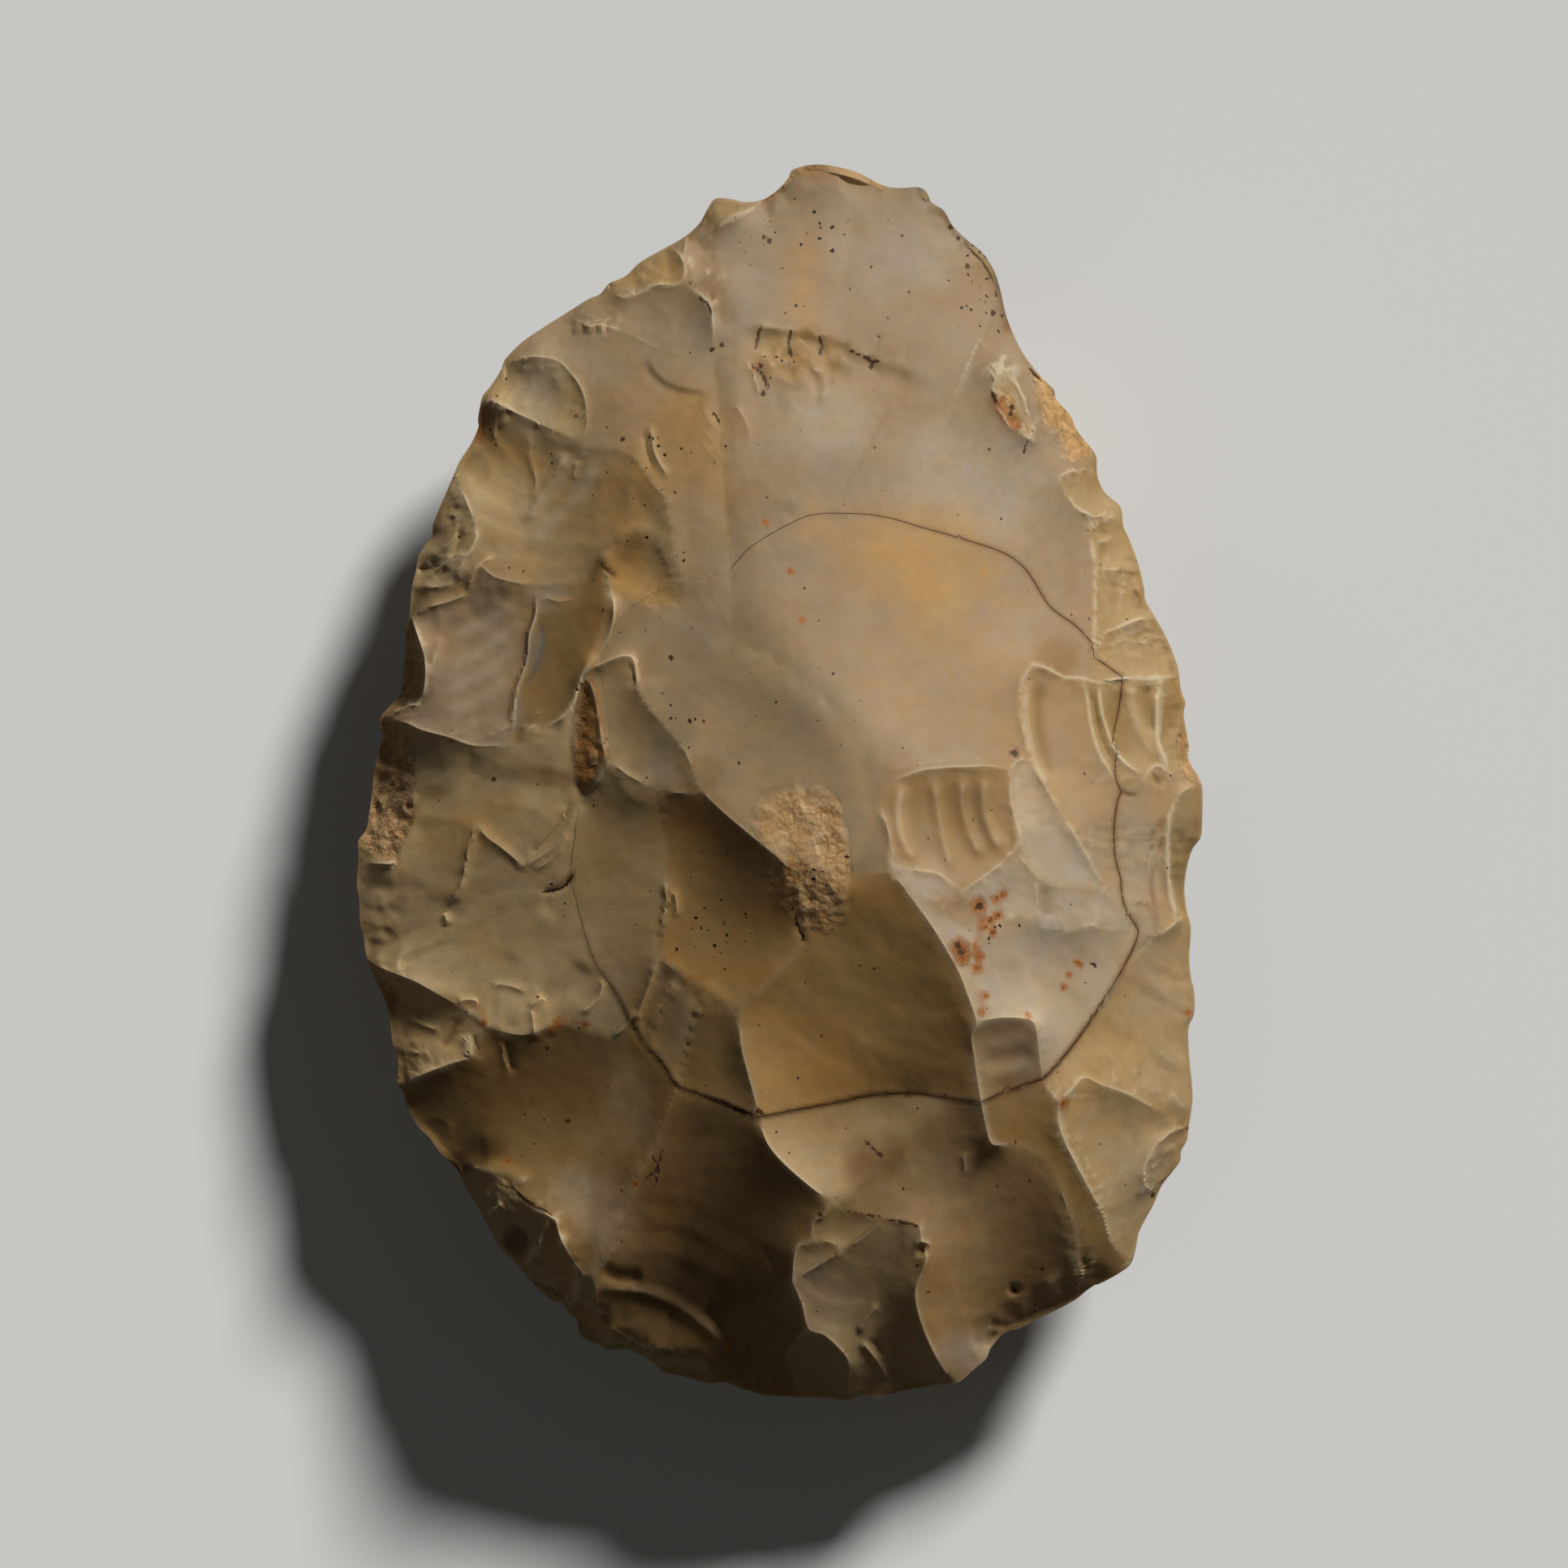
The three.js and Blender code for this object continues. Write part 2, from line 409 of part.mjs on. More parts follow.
const middleX = (DRAWN.left + DRAWN.right) / 2;
const middleY = (DRAWN.top + DRAWN.bottom) / 2;
const acrossScale = WIDTH / (DRAWN.right - DRAWN.left);
const alongScale = LENGTH / (DRAWN.bottom - DRAWN.top);

function place([x, y, z = 0]) {
  const height = z < 0
    ? -REVERSE_DEPTH * (z / DRAWN.rest) ** FULLNESS
    : FACE_HEIGHT * (z / DRAWN.peak) ** FULLNESS;
  return new THREE.Vector3((x - middleX) * acrossScale, (middleY - y) * alongScale, height);
}

const outlineCurve = new THREE.CatmullRomCurve3(outline.map(place), true, 'centripetal');
const outlinePoints = outlineCurve.getPoints(OUTLINE_STEPS).map((point) => ({
  angle: Math.atan2(point.y, point.x),
  radius: Math.hypot(point.x, point.y),
})).sort((a, b) => a.angle - b.angle);

// Distance from the middle to the outline in one direction
function outlineRadius(angle) {
  const after = Math.max(outlinePoints.findIndex((point) => point.angle >= angle), 0);
  const before = (after + outlinePoints.length - 1) % outlinePoints.length;
  const a = outlinePoints[before];
  const b = outlinePoints[after];
  const turn = 2 * Math.PI;
  const span = (b.angle - a.angle + turn) % turn;
  const part = ((angle - a.angle + turn) % turn) / span;
  return THREE.MathUtils.lerp(a.radius, b.radius, part);
}

// The cutting edge isn't quite level: it rises and falls as it goes round, and the faces
// follow it near the edge.
function edgeWave(x, y) {
  const angle = Math.atan2(y, x);
  const reach = Math.hypot(x, y) / outlineRadius(angle);
  const nearness = THREE.MathUtils.smoothstep(reach, WAVE_START, 1);
  const slow = SLOW_SHARE * Math.sin(SLOW_WAVES * angle + 1);
  const quick = (1 - SLOW_SHARE) * Math.sin(QUICK_WAVES * angle + 2);
  return EDGE_WAVE * nearness * (slow + quick);
}

// The grid of one face. Its square is pressed into a disc and then stretched to the outline,
// so its rim follows the edge of the stone.

function makeGrid() {
  const nodes = [];
  for (let column = 0; column < COLUMNS; column += 1) {
    for (let row = 0; row < ROWS; row += 1) {
      const u = (2 * column) / (COLUMNS - 1) - 1;
      const v = (2 * row) / (ROWS - 1) - 1;
      const x = u * Math.sqrt(1 - (v * v) / 2) * (WIDTH / 2);
      const y = v * Math.sqrt(1 - (u * u) / 2) * (LENGTH / 2);
      const angle = Math.atan2(y, x);
      const ellipse = 1 / Math.hypot(Math.cos(angle) / (WIDTH / 2), Math.sin(angle) / (LENGTH / 2));
      const radius = (outlineRadius(angle) * Math.hypot(x, y)) / ellipse;
      const rim = column === 0 || column === COLUMNS - 1 || row === 0 || row === ROWS - 1;
      const start = new THREE.Vector2(radius * Math.cos(angle), radius * Math.sin(angle));
      nodes.push({ start, x: start.x, y: start.y, z: 0, column, row, rim, fixed: rim, locked: false });
    }
  }
  return nodes;
}

const nodeIndex = (column, row) => column * ROWS + row;

function nearestNode(nodes, point, onRim) {
  let best = 0;
  let bestDistance = Infinity;
  nodes.forEach((node, index) => {
    const distance = (node.start.x - point.x) ** 2 + (node.start.y - point.y) ** 2;
    if (distance < bestDistance && (!onRim || node.rim)) {
      best = index;
      bestDistance = distance;
    }
  });
  return best;
}

function holdNode(node, point) {
  if (!node.rim) {
    node.x = point.x;
    node.y = point.y;
    node.z = point.z;
  }
  node.fixed = true;
}

// A ridge takes the grid nodes nearest to it, in a chain that never turns a square corner.
function traceRidge(nodes, points) {
  const curve = new THREE.CatmullRomCurve3(points.map(place), false, 'centripetal');
  const steps = Math.ceil(curve.getLength() / RIDGE_STEP);
  const samples = curve.getSpacedPoints(steps);
  const chain = [];
  samples.forEach((sample, index) => {
    const end = index === 0 ? points[0] : points[points.length - 1];
    const atEnd = index === 0 || index === samples.length - 1;
    const node = nearestNode(nodes, sample, atEnd && end[2] === 0);
    if (chain[chain.length - 1] !== node) {
      chain.push(node);
    }
  });
  for (let k = chain.length - 2; k > 0; k -= 1) {
    const before = nodes[chain[k - 1]];
    const after = nodes[chain[k + 1]];
    const columnGap = Math.abs(before.column - after.column);
    const rowGap = Math.abs(before.row - after.row);
    if (!nodes[chain[k]].locked && Math.max(columnGap, rowGap) <= 1) {
      chain.splice(k, 1);
    }
  }
  chain.filter((index) => !nodes[index].locked).forEach((index) => {
    const node = nodes[index];
    const nearest = samples.reduce((best, sample) => (
      node.start.distanceToSquared(sample) < node.start.distanceToSquared(best) ? sample : best));
    const offset = node.start.distanceToSquared(nearest);
    if (node.offset === undefined || offset < node.offset) {
      node.offset = offset;
      holdNode(node, nearest);
    }
  });
  return chain;
}

// Ridges meet at shared ends, which are held first.
function lockRidgeEnds(nodes, ridges) {
  Object.values(ridges).forEach((points) => {
    [points[0], points[points.length - 1]].forEach((end) => {
      const point = place(end);
      const node = nodes[nearestNode(nodes, point, end[2] === 0)];
      if (!node.locked) {
        holdNode(node, point);
      }
      node.locked = true;
    });
  });
}

function evenOut(nodes) {
  for (let round = 0; round < EVENING_ROUNDS; round += 1) {
    nodes.filter((node) => !node.fixed).forEach((node) => {
      const beside = [[1, 0], [-1, 0], [0, 1], [0, -1]].map(
        ([dc, dr]) => nodes[nodeIndex(node.column + dc, node.row + dr)]);
      node.x = beside.reduce((sum, other) => sum + other.x, 0) / beside.length;
      node.y = beside.reduce((sum, other) => sum + other.y, 0) / beside.length;
    });
  }
}

const doubleArea = (a, b, c) => (b.x - a.x) * (c.y - a.y) - (c.x - a.x) * (b.y - a.y);

// Two triangles to each square of the grid, split along a ridge where one crosses it and
// otherwise the way that keeps the thinner triangle fatter.
function splitSquares(nodes, chains) {
  const ridgeSteps = new Set();
  chains.forEach((chain) => {
    for (let k = 1; k < chain.length; k += 1) {
      ridgeSteps.add(`${Math.min(chain[k - 1], chain[k])} ${Math.max(chain[k - 1], chain[k])}`);
    }
  });
  const onRidge = (a, b) => ridgeSteps.has(`${Math.min(a, b)} ${Math.max(a, b)}`);
  const thinnest = (...triangles) => Math.min(...triangles.map(
    ([a, b, c]) => doubleArea(nodes[a], nodes[b], nodes[c])));
  const triangles = [];
  for (let column = 0; column < COLUMNS - 1; column += 1) {
    for (let row = 0; row < ROWS - 1; row += 1) {
      const a = nodeIndex(column, row);
      const b = nodeIndex(column + 1, row);
      const c = nodeIndex(column + 1, row + 1);
      const d = nodeIndex(column, row + 1);
      const alongAC = [[a, b, c], [a, c, d]];
      const alongBD = [[a, b, d], [b, c, d]];
      const fatterAC = thinnest(...alongAC) >= thinnest(...alongBD);
      const splitAC = onRidge(a, c) || (fatterAC && !onRidge(b, d));
      triangles.push(...(splitAC ? alongAC : alongBD));
    }
  }
  return triangles;
}

// Each stretch of free nodes that ridges close off is one scar.
function findScars(nodes) {
  const scars = [];
  nodes.filter((node) => !node.fixed).forEach((seed) => {
    if (seed.scar !== undefined) {
      return;
    }
    const scar = { members: [], sag: null };
    const waiting = [seed];
    seed.scar = scar;
    while (waiting.length > 0) {
      const node = waiting.pop();
      scar.members.push(node);
      [[1, 0], [-1, 0], [0, 1], [0, -1]].forEach(([dc, dr]) => {
        const other = nodes[nodeIndex(node.column + dc, node.row + dr)];
        if (!other.fixed && other.scar === undefined) {
          other.scar = scar;
          waiting.push(other);
        }
      });
    }
    scars.push(scar);
  });
  return scars;
}

function setScarSags(nodes, scars, sags) {
  sags.forEach(({ at, sag }) => {
    const point = place(at);
    let nearest = null;
    nodes.filter((node) => node.scar).forEach((node) => {
      const distance = Math.hypot(node.x - point.x, node.y - point.y);
      if (nearest === null || distance < nearest.distance) nearest = { node, distance };
    });
    nearest.node.scar.sag = sag;
  });
  scars.forEach((scar) => {
    scar.area = scar.members.reduce((sum, node) => sum + node.area, 0);
    scar.sag ??= SCAR_HOLLOW * Math.sqrt(scar.area);
    scar.pull = (4 * Math.PI * scar.sag) / scar.area;
  });
}

// The surface between the ridges hangs like a skin: every free node settles to the weighted
// mean of its neighbours, drawn in by the pull of its scar.
function settle(nodes, triangles, sags, side) {
  nodes.forEach((node) => {
    node.area = 0;
    node.links = new Map();
  });
  triangles.forEach((corners) => {
    const area = Math.max(doubleArea(...corners.map((index) => nodes[index])) / 2, LEAST_AREA);
    corners.forEach((index, k) => {
      const node = nodes[index];
      node.area += area / 3;
      const next = nodes[corners[(k + 1) % 3]];
      const last = nodes[corners[(k + 2) % 3]];
      const dot = (next.x - node.x) * (last.x - node.x) + (next.y - node.y) * (last.y - node.y);
      const weight = THREE.MathUtils.clamp(dot / (4 * area), LEAST_WEIGHT, MOST_WEIGHT);
      next.links.set(last, (next.links.get(last) ?? 0) + weight);
      last.links.set(next, (last.links.get(next) ?? 0) + weight);
    });
  });
  const scars = findScars(nodes);
  setScarSags(nodes, scars, sags);
  const free = nodes.filter((node) => !node.fixed);
  for (let round = 0; round < SETTLING_ROUNDS; round += 1) {
    free.forEach((node) => {
      let total = 0;
      let sum = -side * node.scar.pull * node.area;
      node.links.forEach((weight, other) => {
        total += weight;
        sum += weight * other.z;
      });
      node.z += OVER_STEP * (sum / total - node.z);
    });
  }
}

// One knapped face: side is 1 for the worked face and -1 for the reverse face.
function makeFace(ridges, sags, side) {
  const nodes = makeGrid();
  lockRidgeEnds(nodes, ridges);
  const chains = Object.values(ridges).map((points) => traceRidge(nodes, points));
  evenOut(nodes);
  const triangles = splitSquares(nodes, chains);
  settle(nodes, triangles, sags, side);
  return { nodes, triangles };
}

const workedFace = makeFace(faceRidges, setSags, 1);
const reverseFace = makeFace(reverseRidges, reverseSags, -1);

// Height of the worked face above the cutting edge at one place
function faceHeight(x, y) {
  const point = { x, y };
  for (const corners of workedFace.triangles) {
    const [a, b, c] = corners.map((index) => workedFace.nodes[index]);
    const whole = doubleArea(a, b, c);
    const shareA = doubleArea(point, b, c) / whole;
    const shareB = doubleArea(a, point, c) / whole;
    const shareC = 1 - shareA - shareB;
    if (Math.min(shareA, shareB, shareC) >= -ON_EDGE) {
      return shareA * a.z + shareB * b.z + shareC * c.z + edgeWave(x, y);
    }
  }
  return edgeWave(x, y);
}

function indexedGeometry(positions, triangles) {
  const geometry = new THREE.BufferGeometry();
  geometry.setAttribute('position', new THREE.Float32BufferAttribute(positions, 3));
  geometry.setIndex(triangles);
  return geometry;
}

// The whole stone: both faces, joined along the cutting edge
function makeStone() {
  const positions = [];
  const faceNode = (node) => {
    positions.push(node.x, node.y, node.z + edgeWave(node.x, node.y) + REVERSE_DEPTH);
    return positions.length / 3 - 1;
  };
  const top = workedFace.nodes.map(faceNode);
  const under = reverseFace.nodes.map((node, index) => (node.rim ? top[index] : faceNode(node)));
  const triangles = [
    ...workedFace.triangles.flatMap(([a, b, c]) => [top[a], top[b], top[c]]),
    ...reverseFace.triangles.flatMap(([a, b, c]) => [under[a], under[c], under[b]]),
  ];
  return indexedGeometry(positions, triangles);
}

// Cutting shapes

const ABOVE_ALL = FACE_HEIGHT + 2 * REVERSE_DEPTH;

// Moves every point of a closed outline outwards by a distance.
function grow(points, distance) {
  const side = THREE.ShapeUtils.isClockWise(points) ? -1 : 1;
  return points.map((point, index) => {
    const before = points[(index + points.length - 1) % points.length];
    const after = points[(index + 1) % points.length];
    const inward = new THREE.Vector2(point.x - before.x, point.y - before.y).normalize();
    const onward = new THREE.Vector2(after.x - point.x, after.y - point.y).normalize();
    const along = inward.add(onward).normalize();
    const outward = new THREE.Vector3(side * along.y, -side * along.x, 0);
    return outward.multiplyScalar(distance).add(point);
  });
}

// A straight-sided cutter over an inclusion, from below its lowest showing point upwards
function inclusionCutter({ edge, depth }, gap) {
  const points = edge.map(place);
  const inside = points.map(({ x, y }) => faceHeight(x, y));
  const floor = Math.min(...inside) - depth - gap + REVERSE_DEPTH;
  const shape = new THREE.Shape(gap > 0 ? grow(points, gap) : points);
  const geometry = new THREE.ExtrudeGeometry(shape, { depth: ABOVE_ALL - floor, bevelEnabled: false });
  return geometry.translate(0, 0, floor);
}

// The lens cutter goes straight down inside the crack and then curves in to a flat floor.
function lensCutter(gap) {
  const middle = place(crackMiddle);
  const curve = new THREE.CatmullRomCurve3(crack.map(place), true, 'centripetal');
  const rim = grow(curve.getSpacedPoints(crack.length * CRACK_STEPS).slice(0, -1), gap / 2);
  const wallFoot = rim.map(({ x, y }) => faceHeight(x, y) - CRACK_WALL + REVERSE_DEPTH);
  const floor = Math.min(...wallFoot) - LENS_DEPTH + CRACK_WALL - gap / 2;
  const rings = [rim.map(({ x, y }) => [x, y, ABOVE_ALL])];
  for (let k = 0; k <= LENS_RINGS; k += 1) {
    const turn = (Math.PI / 2) * (k / LENS_RINGS);
    const spread = THREE.MathUtils.lerp(LENS_FLOOR_SHARE, 1, Math.cos(turn));
    rings.push(rim.map(({ x, y }, index) => [
      middle.x + (x - middle.x) * spread,
      middle.y + (y - middle.y) * spread,
      THREE.MathUtils.lerp(wallFoot[index], floor, Math.sin(turn)),
    ]));
  }
  const positions = rings.flat(2);
  const count = rim.length;
  const triangles = [];
  for (let ring = 0; ring < rings.length - 1; ring += 1) {
    for (let k = 0; k < count; k += 1) {
      const upper = ring * count + k;
      const upperNext = ring * count + ((k + 1) % count);
      triangles.push(upper, upper + count, upperNext, upperNext, upper + count, upperNext + count);
    }
  }
  const topMiddle = positions.push(middle.x, middle.y, ABOVE_ALL) / 3 - 1;
  const floorMiddle = positions.push(middle.x, middle.y, floor) / 3 - 1;
  const lastRing = (rings.length - 1) * count;
  for (let k = 0; k < count; k += 1) {
    const next = (k + 1) % count;
    triangles.push(topMiddle, k, next);
    triangles.push(floorMiddle, lastRing + next, lastRing + k);
  }
  const clockwise = THREE.ShapeUtils.isClockWise(rim);
  return indexedGeometry(positions, clockwise ? triangles.reverse() : triangles);
}

// Cutting and joining

const wasm = await Module();
wasm.setup();

function solid(geometry) {
  const bare = geometry.clone();
  bare.deleteAttribute('normal');
  bare.deleteAttribute('uv');
  const merged = mergeVertices(bare);
  return new wasm.Manifold(new wasm.Mesh({
    numProp: 3,
    vertProperties: new Float32Array(merged.attributes.position.array),
    triVerts: new Uint32Array(merged.index.array),
  }));
}

function geometryOf(manifold) {
  const { vertProperties, triVerts, numProp } = manifold.getMesh();
  const positions = [];
  for (let k = 0; k < vertProperties.length; k += numProp) {
    positions.push(vertProperties[k], vertProperties[k + 1], vertProperties[k + 2]);
  }
  const geometry = indexedGeometry(positions, Array.from(triVerts));
  geometry.computeVertexNormals();
  return geometry;
}

function pieceMesh(name, manifold, finish) {
  const mesh = new THREE.Mesh(geometryOf(manifold), new THREE.MeshStandardMaterial(finishes[finish]));
  mesh.name = name;
  return mesh;
}

const stone = solid(makeStone());
const hosts = {
  body: stone.subtract(solid(lensCutter(CRACK_WIDTH))),
  lens: stone.intersect(solid(lensCutter(-CRACK_WIDTH))),
};
const inclusionMeshes = inclusions.map((inclusion) => {
  const { name, host, kind } = inclusion;
  const piece = hosts[host].intersect(solid(inclusionCutter(inclusion, 0)));
  hosts[host] = hosts[host].subtract(solid(inclusionCutter(inclusion, SEAT_GAP)));
  return pieceMesh(name, piece, kind);
});

const handAxe = new THREE.Group();
handAxe.add(pieceMesh('flint_body', hosts.body, 'flint'));
handAxe.add(pieceMesh('cracked_lens', hosts.lens, 'lens'));
handAxe.add(...inclusionMeshes);

export default handAxe;
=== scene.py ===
# Flint hand axe, seen from straight above as it lies on its reverse face, tip away from the viewer.
#
# Both faces are built the way the stone was made: a net of ridges, where old flake scars meet, with
# a hollow surface hung between them, and then the fine relief that every blow left: ripples, steps,
# lips, splinters and small scars along the edge. The stone is then divided along its hairline crack
# and round its inclusions, so that each piece stands for the solid of the same name.

import math

import bpy
import numpy as np
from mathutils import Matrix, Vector
from mathutils.kdtree import KDTree


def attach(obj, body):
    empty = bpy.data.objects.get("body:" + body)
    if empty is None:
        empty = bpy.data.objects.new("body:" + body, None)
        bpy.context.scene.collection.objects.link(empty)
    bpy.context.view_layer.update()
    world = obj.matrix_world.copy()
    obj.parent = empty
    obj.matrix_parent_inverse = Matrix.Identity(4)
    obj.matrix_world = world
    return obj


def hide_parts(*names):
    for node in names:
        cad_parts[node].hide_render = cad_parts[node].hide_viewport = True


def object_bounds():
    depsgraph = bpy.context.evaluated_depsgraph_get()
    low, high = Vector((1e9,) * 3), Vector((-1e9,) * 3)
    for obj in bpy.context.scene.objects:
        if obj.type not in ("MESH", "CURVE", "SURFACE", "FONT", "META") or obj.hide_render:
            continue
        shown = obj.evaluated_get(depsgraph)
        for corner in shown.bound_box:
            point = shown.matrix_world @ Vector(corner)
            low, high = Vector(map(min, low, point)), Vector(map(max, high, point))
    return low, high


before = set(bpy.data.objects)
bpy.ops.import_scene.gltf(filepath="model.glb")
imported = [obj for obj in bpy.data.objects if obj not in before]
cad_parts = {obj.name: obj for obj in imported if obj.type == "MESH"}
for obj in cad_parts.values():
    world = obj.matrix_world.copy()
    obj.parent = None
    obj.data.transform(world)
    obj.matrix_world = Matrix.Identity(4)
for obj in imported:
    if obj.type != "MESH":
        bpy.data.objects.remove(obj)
cad_low, cad_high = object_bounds()
bpy.ops.object.select_all(action="DESELECT")

# Sizes in millimetres, unless a name says otherwise
MM = 0.001
WIDTH = (cad_high.x - cad_low.x) / MM
LENGTH = (cad_high.y - cad_low.y) / MM
FACE_HEIGHT = 26.3          # cutting edge to the highest ridge
EDGE_LEVEL = 17.0           # rest facet to the cutting edge
EDGE_WAVE = 0.8             # rise and fall of the cutting edge
FULLNESS = 0.82             # below 1 the flanks swell
HOLLOW_SHARE = 0.075        # sag of a scar as a share of the root of its area
CRACK_GAP = 0.08            # hairline crack round the lens
SEAM_GAP = 0.015             # between an inclusion and the flint it grew in
RIB_SHARE = 0.8             # height of the fine ribs against what is written for them
CRACK_WALL = 2.5            # depth over which the crack goes straight down
LENS_DEPTH = 13.0           # lens, from its rim to its underside
THINNEST = 0.02             # an inclusion ends where it is thinner
GRAIN_SEED = 20260

# The grid of a face. The reverse face takes every second node of the rim.
COLUMNS, ROWS = 259, 371
REVERSE_COLUMNS, REVERSE_ROWS = 130, 186

# The drawing is in pixels of the photograph, which is 1932 pixels wide and looks straight down.
PHOTO_SIDE = 1932
DRAWN_LEFT, DRAWN_RIGHT = 440, 1481
DRAWN_TOP, DRAWN_BOTTOM = 203, 1725
MIDDLE_PX = ((DRAWN_LEFT + DRAWN_RIGHT) / 2, (DRAWN_TOP + DRAWN_BOTTOM) / 2)
PX = LENGTH / (DRAWN_BOTTOM - DRAWN_TOP)        # millimetres to a pixel

# Outline of the stone, clockwise from the left of the tip
OUTLINE = [
    (881, 245), (899, 245), (919, 249), (940, 246), (957, 235), (971, 220), (977, 209), (1003, 203),
    (1027, 205), (1057, 213), (1086, 228), (1107, 232), (1132, 231), (1143, 239), (1147, 249),
    (1163, 260), (1175, 280), (1193, 297), (1210, 311), (1224, 332), (1232, 356), (1239, 387),
    (1248, 411), (1260, 435), (1282, 464), (1298, 480), (1301, 493), (1318, 511), (1327, 531),
    (1349, 559), (1351, 576), (1353, 590), (1362, 608), (1380, 624), (1384, 648), (1392, 666),
    (1402, 694), (1409, 723), (1411, 739), (1422, 759), (1436, 784), (1448, 813), (1452, 830),
    (1455, 851), (1460, 866), (1458, 881), (1464, 917), (1464, 936), (1478, 961), (1481, 975),
    (1481, 1003), (1479, 1031), (1469, 1046), (1462, 1069), (1459, 1095), (1462, 1123), (1467, 1143),
    (1465, 1179), (1467, 1204), (1471, 1222), (1471, 1249), (1464, 1267), (1465, 1303), (1468, 1333),
    (1469, 1356), (1465, 1384), (1462, 1405), (1455, 1418), (1454, 1430), (1445, 1443), (1431, 1461),
    (1421, 1484), (1411, 1502), (1403, 1517), (1399, 1538), (1393, 1557), (1378, 1569), (1354, 1582),
    (1344, 1584), (1328, 1599), (1311, 1609), (1291, 1619), (1255, 1637), (1245, 1639), (1232, 1647),
    (1220, 1662), (1215, 1674), (1199, 1688), (1179, 1704), (1152, 1707), (1099, 1717), (1081, 1723),
    (1066, 1718), (1043, 1725), (1013, 1722), (950, 1720), (920, 1713), (894, 1704), (871, 1704),
    (841, 1696), (818, 1691), (806, 1680), (782, 1666), (769, 1662), (750, 1664), (739, 1657),
    (727, 1653), (714, 1643), (711, 1626), (699, 1616), (695, 1606), (682, 1603), (672, 1596),
    (662, 1587), (639, 1560), (615, 1536), (606, 1519), (586, 1481), (575, 1466), (563, 1440),
    (542, 1419), (530, 1402), (514, 1386), (502, 1363), (497, 1345), (490, 1335), (491, 1322),
    (490, 1299), (484, 1284), (481, 1259), (475, 1233), (460, 1201), (452, 1179), (448, 1153),
    (444, 1136), (443, 1110), (440, 1090), (442, 1059), (442, 1036), (451, 1023), (456, 998), (463, 942),
    (468, 924), (472, 905), (468, 896), (470, 882), (481, 870), (494, 853), (497, 825), (500, 805),
    (500, 777), (505, 756), (508, 723), (513, 703), (517, 683), (532, 661), (534, 647), (542, 626),
    (558, 589), (567, 568), (582, 545), (590, 528), (589, 517), (592, 500), (596, 486), (609, 473),
    (620, 459), (621, 445), (644, 421), (675, 400), (702, 383), (726, 368), (740, 362), (751, 349),
    (771, 340), (792, 321), (840, 294), (861, 276), (871, 259),
]

